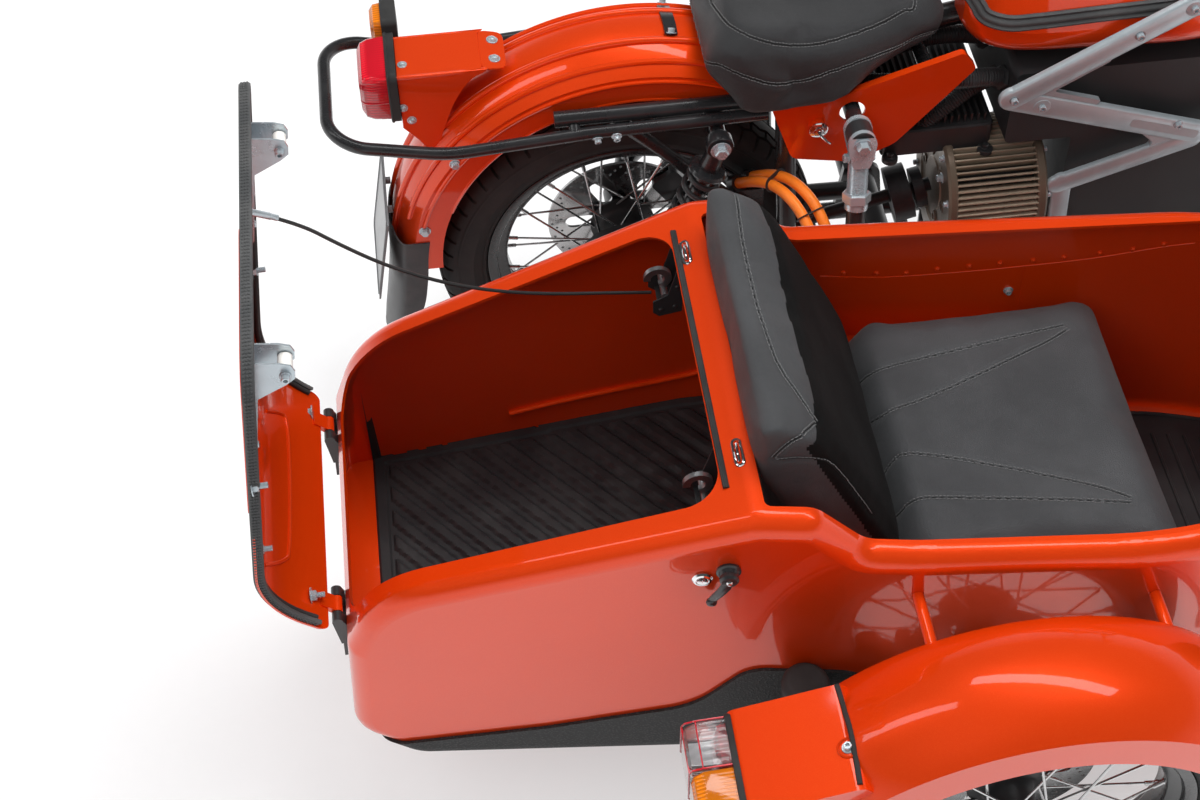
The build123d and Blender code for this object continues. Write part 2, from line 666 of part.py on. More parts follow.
export_step(swingarm.part, "parts/swingarm.step")

# Final drive on the right of the rear wheel: bevel housing, snout, shaft and rubber coupling
with BuildPart() as final_drive:
    drive_in = FINAL_DRIVE_Y + 34
    drive_out = FINAL_DRIVE_Y - 34
    with BuildSketch(Plane(origin=at(0, 0, TYRE_R), x_dir=(0, 1, 0), z_dir=(1, 0, 0))):
        with BuildLine():
            FilletPolyline(
                (drive_out, AXLE_R + RUNNING_FIT),
                (drive_out, 48),
                (drive_out + 22, FINAL_DRIVE_R - 14),
                (drive_in - 26, FINAL_DRIVE_R),
                (drive_in, FINAL_DRIVE_R),
                (drive_in, AXLE_R + RUNNING_FIT),
                radius=[0, 8, 12, 8, 0, 0],
                close=True,
            )
        make_face()
    revolve(axis=Axis(at(0, 0, TYRE_R), (0, 1, 0)))
    barrel(at(22, 0, 352), SHOCK_PIN_R, drive_out + 6, -SHOCK_Y - 14)
    shaft_low = at(132, FINAL_DRIVE_Y + 10, TYRE_R + 46)
    rod([at(40, FINAL_DRIVE_Y + 4, TYRE_R + 24), shaft_low], 33)
    shaft_high = at(MOTOR_BACK - SEAT_GAP, MOTOR_Y, MOTOR_Z)
    shaft_run = (shaft_high - shaft_low).normalized()
    shaft_length = (shaft_high - shaft_low).length
    rod([shaft_low, shaft_high - shaft_run * 4], 11)
    for along, coupling_r, thick in ((8, 26, 22), (shaft_length - 74, 47, 34), (shaft_length - 34, 34, 18)):
        with BuildSketch(Plane(origin=shaft_low + shaft_run * along, z_dir=shaft_run)) as section:
            Circle(coupling_r)
        extrude(to_extrude=section.sketch, amount=thick)
final_drive.part.label = "final_drive"
export_step(final_drive.part, "parts/final_drive.step")

# Motor: round body with fins along it between two end plates
with BuildPart() as motor:
    with BuildSketch(across(MOTOR_BACK + 16)):
        with Locations((MOTOR_Y, MOTOR_Z)):
            Circle(MOTOR_R - 16)
            with PolarLocations(MOTOR_R - 14, MOTOR_FINS):
                Rectangle(26, 4)
    extrude(amount=MOTOR_FRONT - MOTOR_BACK - 32)
    for plate_x in (MOTOR_BACK, MOTOR_FRONT - 16):
        with BuildSketch(across(plate_x)):
            with Locations((MOTOR_Y, MOTOR_Z)):
                Circle(MOTOR_R)
        extrude(amount=16)
motor.part.label = "motor"
export_step(motor.part, "parts/motor.step")

# Battery packs: one over the motor, one standing ahead of it
with BuildPart() as battery_pack:
    with BuildSketch(upright(PACK_HALF)):
        with BuildLine():
            FilletPolyline(
                (592, MOTOR_Z + MOTOR_R + 22),
                (MOTOR_FRONT + 34, MOTOR_Z + MOTOR_R + 22),
                (MOTOR_FRONT + 34, PACK_LOW),
                (1062, PACK_LOW),
                (1062, PACK_TOP),
                (592, PACK_TOP),
                radius=[10, 0, 12, 100, 12, 12],
                close=True,
            )
        make_face()
    extrude(amount=2 * PACK_HALF)
    for side in (1, -1):
        with BuildSketch(level(200)):
            with Locations((1105, side * 124)):
                Rectangle(130, 60)
        extrude(amount=600, mode=Mode.SUBTRACT)
battery_pack.part.label = "battery_pack"
export_step(battery_pack.part, "parts/battery_pack.step")

# Battery frame: one cut plate truss on each side, with a bolted tray edge
TRUSS_BARS = (
    # start x, start z, end x, end z, width
    (580, 712, 832, 862, 26),
    (832, 862, 1026, 870, 26),
    (580, 712, 890, 604, 26),
    (890, 604, 1024, 634, 24),
    (890, 590, 684, 516, 22),
    (690, 522, 706, 300, 24),
    (706, 300, 1020, 300, 24),
    (1020, 300, 1026, 870, 22),
)
# x and z of the standoffs between each truss and the packs
TRUSS_STANDOFFS = ((628, 695), (1000, 628), (720, 300), (1000, 300))
with BuildPart() as battery_frames:
    for side in (1, -1):
        with BuildSketch(upright(side * TRUSS_Y + TRUSS_T / 2)):
            for start_x, start_z, end_x, end_z, width in TRUSS_BARS:
                with BuildLine(mode=Mode.PRIVATE) as bar_line:
                    Line((start_x, start_z), (end_x, end_z))
                SlotCenterPoint(bar_line.line @ 0.5, bar_line.line @ 1, width)
        extrude(amount=TRUSS_T)
        for x, z in TRUSS_STANDOFFS:
            barrel(at(x, 0, z), 9, side * (TRUSS_Y - TRUSS_T / 2), side * (PACK_HALF + SEAT_GAP))
battery_frames.part.label = "battery_frames"
export_step(battery_frames.part, "parts/battery_frames.step")

# Tank: lofted through a few sections, with a tunnel for the backbone under it
TANK_SECTIONS = (
    # x, half width low, half width high, low z, high z, low corner, top corner
    (TANK_REAR, 78, 62, TANK_LOW + 30, 868, 14, 30),
    (TANK_REAR + 22, 104, 84, TANK_LOW + 8, 888, 22, 45),
    (690, TANK_HALF - 10, 112, TANK_LOW, 936, 30, 75),
    (840, TANK_HALF, 116, TANK_LOW, TANK_HIGH, 34, 85),
    (975, 112, 84, TANK_LOW + 6, 946, 30, 60),
    (TANK_FRONT, 60, 46, TANK_LOW + 26, 912, 20, 34),
)


def tank_form(grow):
    """The tank's outside, grown by an amount on every side but its two ends."""
    with BuildPart() as form:
        for x, low_half, high_half, low, high, low_corner, top_corner in TANK_SECTIONS:
            with BuildSketch(across(x)):
                with BuildLine():
                    FilletPolyline(
                        (-low_half - grow, low - grow),
                        (low_half + grow, low - grow),
                        (low_half + grow, low + 42),
                        (high_half + grow, high + grow),
                        (-high_half - grow, high + grow),
                        (-low_half - grow, low + 42),
                        radius=[low_corner, low_corner, 60, top_corner, top_corner, 60],
                        close=True,
                    )
                make_face()
        loft()
    return form.part


with BuildPart() as tank:
    add(tank_form(0))
    with BuildSketch(across(TANK_REAR - 20)):
        with Locations((0, TANK_LOW)):
            SlotOverall(120, 2 * TANK_TUNNEL_HALF, rotation=90)
    extrude(amount=620, mode=Mode.SUBTRACT)
    with BuildSketch(level(TANK_HIGH - 4)):
        with Locations((838, 0)):
            Circle(34)
    extrude(amount=14)
tank.part.label = "tank"
export_step(tank.part, "parts/tank.step")

# Knee rubbers that follow the tank's sides
with BuildPart() as knee_pads:
    with BuildSketch(upright(200)):
        with Locations((655, 862)):
            SlotOverall(240, 66)
    extrude(amount=400)
    add(tank_form(5), mode=Mode.INTERSECT)
    add(tank_form(SEAT_GAP), mode=Mode.SUBTRACT)
knee_pads.part.label = "knee_pads"
export_step(knee_pads.part, "parts/knee_pads.step")

# Saddle: broad behind, narrow at the tank, hollowed over the fender
saddle_seat = SUBFRAME_Z + 17 + SEAT_GAP
with BuildPart() as saddle:
    with BuildSketch(level(0)):
        with BuildLine():
            FilletPolyline(
                (SADDLE_REAR, 130),
                (150, SADDLE_HALF),
                (330, SADDLE_HALF - 4),
                (SADDLE_FRONT - 28, 96),
                (SADDLE_FRONT - 28, -96),
                (330, 4 - SADDLE_HALF),
                (150, -SADDLE_HALF),
                (SADDLE_REAR, -130),
                radius=[40, 60, 200, 50, 50, 200, 60, 40],
                close=True,
            )
        make_face()
    extrude(amount=900)
    with BuildSketch(upright(200)):
        with BuildLine():
            FilletPolyline(
                (SADDLE_REAR - 5, 796),
                (118, 854),
                (300, 822),
                (SADDLE_FRONT, 842),
                (SADDLE_FRONT, 794),
                (300, saddle_seat),
                (170, saddle_seat),
                radius=[20, 40, 300, 14, 14, 200, 60],
                close=True,
            )
        make_face()
    extrude(amount=400, mode=Mode.INTERSECT)
    barrel(at(FENDER_X, 0, FENDER_Z), FENDER_R + 3, FENDER_HALF + 2, -FENDER_HALF - 2, mode=Mode.SUBTRACT)
    rod(backbone, BACKBONE_R + 2, 200, mode=Mode.SUBTRACT)
saddle.part.label = "saddle"
export_step(saddle.part, "parts/saddle.step")

# Side covers under the saddle, with a turned-in edge; the right one is cut out for the strut's boss
with BuildPart() as side_covers:
    for side in (1, -1):
        with BuildSketch(upright(side * COVER_Y)) as cover_outline:
            with BuildLine():
                FilletPolyline(
                    (212, SUBFRAME_Z + 12),
                    (250, 600),
                    (352, 580),
                    (415, 612),
                    (528, 752),
                    (505, 784),
                    (300, SUBFRAME_Z + 16),
                    radius=[8, 22, 30, 40, 10, 10, 60],
                    close=True,
                )
            make_face()
        extrude(amount=side * 12)
        with BuildSketch(upright(side * (COVER_Y - COVER_T))):
            add(cover_outline.sketch_local)
            offset(amount=-COVER_T)
        extrude(amount=side * 20, mode=Mode.SUBTRACT)
    barrel(at(STRUT_X, 0, STRUT_Z), 20, -90, -200, mode=Mode.SUBTRACT)
    barrel(at(KEY_X, 0, KEY_Z), KEY_R, -COVER_Y + COVER_T / 2, -COVER_Y - 12)
side_covers.part.label = "side_covers"
export_step(side_covers.part, "parts/side_covers.step")

# Rear fender: crowned strip with turned-down sides, and its stays to the saddle rails
with BuildPart() as rear_fender:
    fender_centre = at(FENDER_X, 0, FENDER_Z)
    with BuildSketch(Plane(origin=fender_centre, x_dir=(0, 1, 0), z_dir=(1, 0, 0))) as section:
        for inset in (0, SHEET):
            half, crown = FENDER_HALF - inset, FENDER_R - inset
            skirt = FENDER_SKIRT_R if inset == 0 else FENDER_SKIRT_R - 1
            with BuildLine():
                Line((-half, skirt), (-half, crown - 34))
                ThreePointArc((-half, crown - 34), (0, crown), (half, crown - 34))
                Line((half, crown - 34), (half, skirt))
                Line((half, skirt), (-half, skirt))
            make_face(mode=Mode.ADD if inset == 0 else Mode.SUBTRACT)
        for rib_y in (-34, 34):
            with Locations((rib_y, FENDER_R - 4)):
                Circle(6)
    across_axle = Axis(fender_centre, (0, 1, 0))
    revolve(section.sketch.rotate(across_axle, 28), across_axle, -118)
rear_fender.part.label = "rear_fender"
export_step(rear_fender.part, "parts/rear_fender.step")

# Folded lamp bracket behind the fender's crown
with BuildPart() as lamp_bracket:
    with BuildSketch(upright(48)) as bracket_side:
        with BuildLine():
            FilletPolyline(
                (-196, 700),
                (-206, 771),
                (LAMP_X, 771),
                (LAMP_X, 668),
                (-300, 600),
                radius=[0, 8, 8, 8, 0],
                close=True,
            )
        make_face()
    extrude(amount=96)
    with BuildSketch(upright(48 - SHEET)):
        add(bracket_side.sketch_local)
        offset(amount=-SHEET)
    extrude(amount=96 - 2 * SHEET, mode=Mode.SUBTRACT)
    barrel(at(FENDER_X, 0, FENDER_Z), FENDER_R + 2 + SEAT_GAP, 60, -60, mode=Mode.SUBTRACT)
lamp_bracket.part.label = "lamp_bracket"
export_step(lamp_bracket.part, "parts/lamp_bracket.step")

# Tail lamp: rubber base and a raised lens; left indicator beside it
with BuildPart() as tail_lamp_base:
    with BuildSketch(across(LAMP_X - SEAT_GAP)):
        with Locations((0, LAMP_Z)):
            RectangleRounded(114, 96, 14)
    extrude(amount=-14)
    with BuildSketch(across(-345)):
        with Locations((96, 758)):
            RectangleRounded(62, 60, 10)
    extrude(amount=-24)
    rod([at(-352, 50, 745), at(-352, 80, 752)], 7)
tail_lamp_base.part.label = "tail_lamp_base"
export_step(tail_lamp_base.part, "parts/tail_lamp_base.step")

with BuildPart() as tail_lamp:
    with BuildSketch(across(LAMP_X - 14 - 2 * SEAT_GAP)):
        with Locations((0, LAMP_Z)):
            RectangleRounded(104, 88, 12)
    extrude(amount=-44, taper=7)
tail_lamp.part.label = "tail_lamp"
export_step(tail_lamp.part, "parts/tail_lamp.step")

with BuildPart() as rear_indicator:
    with BuildSketch(across(-369 - SEAT_GAP)):
        with Locations((96, 758)):
            RectangleRounded(54, 52, 9)
    extrude(amount=-18, taper=10)
rear_indicator.part.label = "rear_indicator"
export_step(rear_indicator.part, "parts/rear_indicator.step")

# Grab rail: one tube from under the saddle round behind the lamp, on four lugs
with BuildPart() as grab_rail:
    rail_right = [(208, 694), (-66, 690), (-285, 674), (-466, 716)]
    points = [at(x, -RAIL_Y, z) for x, z in rail_right] + [at(x, RAIL_Y, z) for x, z in reversed(rail_right)]
    rod(points, RAIL_R, [300, 200, 62, 62, 200, 300])
    for side in (1, -1):
        for lug_x, lug_z in ((-90, 689), (190, 693)):
            rail_place = at(lug_x, side * RAIL_Y, lug_z)
            toward = at(lug_x, side * SUBFRAME_HALF, SUBFRAME_Z + 4) - rail_place
            lug_length = toward.length - SUBFRAME_R - SEAT_GAP
            rod([rail_place, rail_place + toward.normalized() * lug_length], 9)
grab_rail.part.label = "grab_rail"
export_step(grab_rail.part, "parts/grab_rail.step")

# Mud flap under the fender's end, and the bare number plate on two spacers
with BuildPart() as mud_flap:
    with BuildSketch(upright(66)):
        with BuildLine():
            Polyline((-388, FENDER_Z - SEAT_GAP), (-393, FENDER_Z - SEAT_GAP), (-413, 181), (-408, 181), close=True)
        make_face()
    extrude(amount=132)
mud_flap.part.label = "mud_flap"
export_step(mud_flap.part, "parts/mud_flap.step")

with BuildPart() as number_plate:
    with BuildSketch(upright(92)):
        with BuildLine():
            Polyline((-394, 502), (-397, 502), (-428, 332), (-425, 332), close=True)
        make_face()
    extrude(amount=184)
    for spacer_y in (34, -34):
        rod([at(-398, spacer_y, 482), at(-387.0, spacer_y, 482)], 6)
number_plate.part.label = "number_plate"
export_step(number_plate.part, "parts/number_plate.step")

# Brake calipers straddle their discs: node, then axle x, wheel plane y, angle and disc radius of each
CALIPERS = (
    ("front_caliper", ((WHEELBASE, 0.0, FRONT_CALIPER_AT, FRONT_DISC_R),)),
    ("brake_calipers", ((0.0, 0.0, 35.0, REAR_DISC_R), (SIDECAR_LEAD, -TRACK, 180.0, SIDECAR_DISC_R))),
)
for name, wheels in CALIPERS:
    with BuildPart() as caliper:
        for axle_x, wheel_y, angle, disc_r in wheels:
            turn = math.radians(angle)
            outward = Vector(math.cos(turn), 0, math.sin(turn))
            middle = at(axle_x, wheel_y + HUB_HALF + DISC_T / 2, TYRE_R) + outward * (disc_r - 14)
            block = Plane(origin=middle, x_dir=outward, z_dir=(0, 1, 0))
            with BuildSketch(block.offset(-DISC_T / 2 - CALIPER_GAP - CALIPER_CHEEK)) as section:
                RectangleRounded(52, 82, 10)
            extrude(to_extrude=section.sketch, amount=DISC_T + 2 * (CALIPER_GAP + CALIPER_CHEEK))
            with BuildSketch(block.offset(-DISC_T / 2 - CALIPER_GAP)) as slot:
                with Locations((-12, 0)):
                    Rectangle(52, 100)
            extrude(to_extrude=slot.sketch, amount=DISC_T + 2 * CALIPER_GAP, mode=Mode.SUBTRACT)
    caliper.part.label = name
    export_step(caliper.part, f"parts/{name}.step")

# Sidecar chassis: tube loop, cross bars, damper tower, body seats and the links to the motorcycle
with BuildPart() as sidecar_frame:
    loop = [
        at(500, CHASSIS_NEAR_Y, CHASSIS_Z),
        at(CHASSIS_FRONT, CHASSIS_NEAR_Y, CHASSIS_Z),
        at(CHASSIS_FRONT, CHASSIS_FAR_Y + 60, CHASSIS_Z),
        at(CHASSIS_FRONT - 260, CHASSIS_FAR_Y, CHASSIS_Z),
        at(CHASSIS_REAR, CHASSIS_FAR_Y, CHASSIS_Z),
        at(CHASSIS_REAR, CHASSIS_NEAR_Y, CHASSIS_Z),
        at(500, CHASSIS_NEAR_Y, CHASSIS_Z),
    ]
    rod(loop[:4] + [at(500, CHASSIS_FAR_Y, CHASSIS_Z)], CHASSIS_R, [120, 90, 200])
    rod([at(500, CHASSIS_FAR_Y, CHASSIS_Z)] + loop[4:], CHASSIS_R, [120, 120])
    rod([at(760, CHASSIS_NEAR_Y, CHASSIS_Z), at(760, CHASSIS_FAR_Y, CHASSIS_Z)], 18)
    rod([at(PIVOT_ARM_X, CHASSIS_NEAR_Y, CHASSIS_Z), at(PIVOT_ARM_X, TOWER_Y - 18, CHASSIS_Z)], CHASSIS_R)
    rod([at(TOWER_X, TOWER_Y, CHASSIS_Z), at(TOWER_X, TOWER_Y, TOWER_Z)], 17)
    rod([at(TOWER_X, TOWER_Y, 432), at(200, TOWER_Y, 432)], 12)
    barrel(at(200, 0, 432), 12, TOWER_Y, TOWER_Y - 43)
    rod([at(STRUT_X, STRUT_Y, STRUT_Z), at(STRUT_X - 20, CHASSIS_NEAR_Y, CHASSIS_Z)], STRUT_R)
    barrel(at(STRUT_X, 0, STRUT_Z), 21, STRUT_Y + 17, STRUT_Y - 17)
    rod([at(DOWN_TUBE_X - 1, -FRAME_HALF, 500), at(1000, CHASSIS_NEAR_Y, CHASSIS_Z)], STRUT_R - 2)
    for link_x in (540, 940):
        rod([at(link_x, -FRAME_HALF, RAIL_Z), at(link_x, CHASSIS_NEAR_Y, CHASSIS_Z)], 15)
    for block_x in (PIVOT_ARM_X, 760):
        for block_y in (-500, -790):
            rod([at(block_x, block_y, CHASSIS_Z), at(block_x, block_y, BODY_LOW - SEAT_GAP)], 20)
    down_tube = [at(DOWN_TUBE_X - 2, -FRAME_HALF, 600), at(DOWN_TUBE_X, -FRAME_HALF, RAIL_Z)]
    rod(down_tube, FRAME_R + SEAT_GAP, mode=Mode.SUBTRACT)
    rod([at(300, -FRAME_HALF, RAIL_Z), at(1100, -FRAME_HALF, RAIL_Z)], FRAME_R + SEAT_GAP, mode=Mode.SUBTRACT)
    with BuildSketch(upright(60)) as bike_side:
        with Locations((700, 350)):
            Rectangle(1000, 400)
    extrude(to_extrude=bike_side.sketch, amount=60 + FRAME_HALF, mode=Mode.SUBTRACT)
sidecar_frame.part.label = "sidecar_frame"
export_step(sidecar_frame.part, "parts/sidecar_frame.step")

# Leading arm of the sidecar wheel with its axle and the damper's lower pin
with BuildPart() as sidecar_arm:
    barrel(at(PIVOT_ARM_X, 0, CHASSIS_Z), 25, TOWER_Y - 18 - SEAT_GAP, -1068)
    rod([at(PIVOT_ARM_X, -1050, CHASSIS_Z), at(240, -1052, 232), at(SIDECAR_LEAD, -1062, TYRE_R)], 15, 200)
    barrel(at(SIDECAR_LEAD, 0, TYRE_R), AXLE_R, -1058, -1204)
    barrel(at(SIDECAR_LEAD, 0, TYRE_R), 24, -1046, -1078)
    rod([at(302, -1056, 272), at(302, -1056, 314)], 10)
    barrel(at(302, 0, 312), 12, -1015, -1058)
sidecar_arm.part.label = "sidecar_arm"
export_step(sidecar_arm.part, "parts/sidecar_arm.step")

# Rubber boot over the damper tower
with BuildPart() as tower_boot:
    with BuildSketch(level(418)):
        with Locations((TOWER_X, TOWER_Y)):
            Circle(30)
    extrude(amount=66, taper=-3)
    fillet(tower_boot.edges().sort_by(Axis.Z)[-1], 12)
    with BuildSketch(level(410)):
        with Locations((TOWER_X, TOWER_Y)):
            Circle(17 + SEAT_GAP)
    extrude(amount=TOWER_Z - 410 + SEAT_GAP, mode=Mode.SUBTRACT)
    with BuildSketch(level(410)):
        with Locations((TOWER_X + 60, TOWER_Y)):
            Rectangle(120, 25)
    extrude(amount=36, mode=Mode.SUBTRACT)
tower_boot.part.label = "tower_boot"
export_step(tower_boot.part, "parts/tower_boot.step")

# Sidecar body: plan outline cut to the side profile, with rounded shoulders
def body_form(inset):
    """The body's outside drawn in by an inset, or grown where the inset is negative."""
    with BuildPart() as form:
        with BuildSketch(level(0)):
            with BuildLine():
                FilletPolyline(
                    (-560, -428),
                    (50, -362),
                    (250, -372),
                    (800, -412),
                    (1120, -520),
                    (1330, -640),
                    (1330, -760),
                    (1150, -870),
                    (900, -968),
                    (560, -1012),
                    (250, -985),
                    (40, -950),
                    (-560, -888),
                    radius=[0, 300, 600, 500, 500, 0, 0, 500, 500, 700, 500, 500, 0],
                    close=True,
                )
            make_face()
            if inset:
                offset(amount=-inset)
        extrude(amount=900)
        with BuildSketch(upright(-300)):
            with BuildLine():
                FilletPolyline(
                    (RIM_REAR_X, RIM_REAR_Z),
                    (BACK_X, BACK_Z),
                    (DECK_X, DECK_Z),
                    (DECK_X + 73, DECK_Z),
                    (DECK_X + 140, COCKPIT_Z),
                    (880, COCKPIT_Z - 12),
                    (965, 748),
                    (1120, 690),
                    (1300, 520),
                    (1310, 420),
                    (1180, 270),
                    (1000, BODY_LOW),
                    (-420, BODY_LOW),
                    (-506, 300),
                    radius=[32, BACK_R, 60, 34, 40, 60, 90, 200, 70, 60, 120, 150, 60, 60],
                    close=True,
                )
            make_face()
            if inset:
                offset(amount=-inset)
        extrude(amount=800, mode=Mode.INTERSECT)
        walls = form.faces().filter_by(lambda face: abs(face.normal_at().Z) < 0.01 and abs(face.normal_at().Y) > 0.3)
        wall_edges = [edge for edge in form.edges() if sum(edge in wall.edges() for wall in walls) == 1]
        fillet(wall_edges, BODY_SHOULDER - inset)
    return form.part


deck_slope = math.degrees(math.atan2(DECK_Z - RIM_REAR_Z, DECK_X - RIM_REAR_X))
body_inside = body_form(BODY_SKIN)
body_clear = body_form(-SEAT_GAP)
# Bulkhead behind the seat, bench under it and the trunk's raised floor, as one folded line
PANELS = (
    ((DECK_X + 4, DECK_Z - 2), (200, BENCH_Z - 5), (200, TRUNK_FLOOR_Z - 5)),
    ((198, BENCH_Z - BODY_SKIN / 2), (662, BENCH_Z - BODY_SKIN / 2), (668, 275)),
    ((-520, TRUNK_FLOOR_Z - BODY_SKIN / 2), (201, TRUNK_FLOOR_Z - BODY_SKIN / 2)),
)
with BuildPart() as body_panels:
    for line in PANELS:
        with BuildSketch(upright(-300)):
            with BuildLine() as fold:
                Polyline(*line)
            trace(line_width=BODY_SKIN)
        extrude(amount=800)
    add(body_inside, mode=Mode.INTERSECT)

with BuildPart() as sidecar_body:
    add(body_form(0))
    add(body_inside, mode=Mode.SUBTRACT)
    add(body_panels.part)
    deck = Plane(
        origin=at(HINGE_X, 0, HINGE_Z),
        x_dir=(math.cos(math.radians(deck_slope)), 0, math.sin(math.radians(deck_slope))),
        z_dir=(-math.sin(math.radians(deck_slope)), 0, math.cos(math.radians(deck_slope))),
    )
    with BuildSketch(deck.offset(-34)):
        with BuildLine():
            FilletPolyline(
                (24, -464), (TRUNK_MOUTH, -414), (TRUNK_MOUTH, -893), (24, -851), radius=46, close=True
            )
        make_face()
    extrude(amount=150, mode=Mode.SUBTRACT)
    with BuildSketch(level(640)):
        with BuildLine():
            FilletPolyline(
                (DECK_X + 12, -404),
                (800, -449),
                (900, -470),
                (900, -930),
                (560, -976),
                (250, -949),
                (DECK_X + 12, -918),
                radius=[10, 80, 110, 110, 600, 400, 10],
                close=True,
            )
        make_face()
    extrude(amount=160, mode=Mode.SUBTRACT)
    with BuildSketch(upright(-880)):
        with BuildLine():
            FilletPolyline((622, 800), (668, 586), (862, 586), (908, 800), radius=[0, 70, 70, 0], close=True)
        make_face()
    extrude(amount=200, mode=Mode.SUBTRACT)
sidecar_body.part.label = "sidecar_body"
export_step(sidecar_body.part, "parts/sidecar_body.step")

# Black guard along the outer lower wall, rising over the damper tower
with BuildPart() as sidecar_guard:
    add(body_form(-5))
    with BuildSketch(upright(-860)):
        with BuildLine():
            FilletPolyline(
                (-470, 236),
                (-478, 268),
                (-235, 308),
                (-30, 358),
                (45, 452),
                (190, 452),
                (262, 360),
                (262, 222),
                (-440, 222),
                radius=[8, 8, 200, 110, 56, 56, 20, 20, 20],
                close=True,
            )
        make_face()
    extrude(amount=200, mode=Mode.INTERSECT)
    add(body_clear, mode=Mode.SUBTRACT)
sidecar_guard.part.label = "sidecar_guard"
export_step(sidecar_guard.part, "parts/sidecar_guard.step")

# Trunk mat on the raised floor
with BuildPart() as trunk_mat:
    with BuildSketch(level(TRUNK_FLOOR_Z + SEAT_GAP)):
        with BuildLine():
            FilletPolyline((-470, -462), (150, -420), (150, -900), (-470, -852), radius=30, close=True)
        make_face()
    extrude(amount=5)
trunk_mat.part.label = "trunk_mat"
export_step(trunk_mat.part, "parts/trunk_mat.step")

# Seal strip in front of the trunk's mouth
with BuildPart() as trunk_seal:
    back_run = at(DECK_X, 0, DECK_Z) - at(BACK_X, 0, BACK_Z)
    back_top = Plane(origin=at(DECK_X, 0, DECK_Z), x_dir=back_run, z_dir=Vector(-back_run.Z, 0, back_run.X))
    with BuildSketch(back_top.offset(SEAT_GAP)):
        with Locations((-26, -652)):
            RectangleRounded(14, 436, 5)
    extrude(amount=4)
trunk_seal.part.label = "trunk_seal"
export_step(trunk_seal.part, "parts/trunk_seal.step")

# Latches under the mouth's front edge
with BuildPart() as trunk_hardware:
    for latch_y in (-470, -832):
        with BuildSketch(upright(latch_y + 20)) as latch_side:
            with BuildLine():
                Polyline((16, 763.2), (19, 764.1), (19, 674), (-22, 674), (-22, 704), (16, 712), close=True)
            make_face()
        extrude(to_extrude=latch_side.sketch, amount=40)
    # Handle and lock on the outer wall below the shoulder
    wall_run = Vector(600, -62, 0).normalized()
    near_wall = Plane(origin=at(40, -950, 0), x_dir=wall_run, z_dir=Vector(wall_run.Y, -wall_run.X, 0))
    with BuildSketch(near_wall.offset(SEAT_GAP)) as handle_base:
        with Locations((-34, 672)):
            RectangleRounded(26, 66, 8)
        with Locations((-62, 668)):
            Circle(12)
    extrude(to_extrude=handle_base.sketch, amount=8)
    with BuildSketch(near_wall.offset(SEAT_GAP + 8)) as lever:
        with Locations((-34, 672)):
            RectangleRounded(18, 54, 6)
    extrude(to_extrude=lever.sketch, amount=8)
trunk_hardware.part.label = "trunk_hardware"
export_step(trunk_hardware.part, "parts/trunk_hardware.step")

# Back cushion leaning on the bulkhead and seat cushion on the bench
with BuildPart() as back_cushion:
    with BuildSketch(upright(-416)):
        with BuildLine():
            FilletPolyline(
                (58.5, DECK_Z + SEAT_GAP),
                (51, 862),
                (72, 874),
                (138, 832),
                (276, 548),
                (262, 510),
                (179.3, 498),
                (65.2, 748),
                radius=[4, 8, 14, 34, 26, 20, 12, 6],
                close=True,
            )
        make_face()
    extrude(amount=466)
back_cushion.part.label = "back_cushion"
export_step(back_cushion.part, "parts/back_cushion.step")

with BuildPart() as seat_cushion:
    with BuildSketch(upright(-428)):
        with BuildLine():
            FilletPolyline(
                (206, BENCH_Z + SEAT_GAP),
                (204, 494),
                (264, 503),
                (292, 562),
                (640, 562),
                (676, 536),
                (676, 474),
                (658, BENCH_Z + SEAT_GAP),
                radius=[4, 4, 16, 26, 30, 20, 20, 6],
                close=True,
            )
        make_face()
    extrude(amount=476)
seat_cushion.part.label = "seat_cushion"
export_step(seat_cushion.part, "parts/seat_cushion.step")

# Sidecar fender: broad crowned arch with a deep outer valance, stays to the body and a lamp housing
side_half = (SIDE_FENDER_IN - SIDE_FENDER_OUT) / 2
side_mid = (SIDE_FENDER_IN + SIDE_FENDER_OUT) / 2
side_centre = at(SIDECAR_LEAD, side_mid, TYRE_R)
side_axle = Axis(side_centre, (0, 1, 0))


def side_fender_section(half, crown, edge_drop):
    """The fender's closed section standing over its wheel, with its edges let down by a drop."""
    shoulder = crown - SIDE_FENDER_CROWN
    with BuildSketch(Plane(origin=side_centre, x_dir=(0, 1, 0), z_dir=(1, 0, 0))) as section:
        with BuildLine():
            Line((half, shoulder), (half, SIDE_FENDER_LIP - edge_drop))
            Line((half, SIDE_FENDER_LIP - edge_drop), (-half, SIDE_FENDER_VALANCE - edge_drop))
            Line((-half, SIDE_FENDER_VALANCE - edge_drop), (-half, shoulder))
            ThreePointArc((-half, shoulder), (0, crown), (half, shoulder))
        make_face()
    return section.sketch


with BuildPart() as sidecar_fender:
    with BuildSketch(upright(-1078)) as housing_side:
        with BuildLine():
            FilletPolyline(
                (-12, 468),
                (-12, 566),
                (132, 602),
                (170, 560),
                (60, 440),
                radius=[6, 12, 16, 0, 0],
                close=True,
            )
        make_face()
    extrude(to_extrude=housing_side.sketch, amount=148)
    revolve(side_fender_section(side_half, SIDE_FENDER_R, 0).rotate(side_axle, 82), side_axle, -168)
    for stay_x, stay_z in ((250, 638), (560, 613)):
        rod([at(stay_x, SIDE_FENDER_IN - 2, stay_z), at(stay_x, -960, stay_z)], 8)
    revolve(
        side_fender_section(side_half - SHEET, SIDE_FENDER_R - SHEET, 100), side_axle, 360, mode=Mode.SUBTRACT
    )
    add(body_clear, mode=Mode.SUBTRACT)
sidecar_fender.part.label = "sidecar_fender"
export_step(sidecar_fender.part, "parts/sidecar_fender.step")

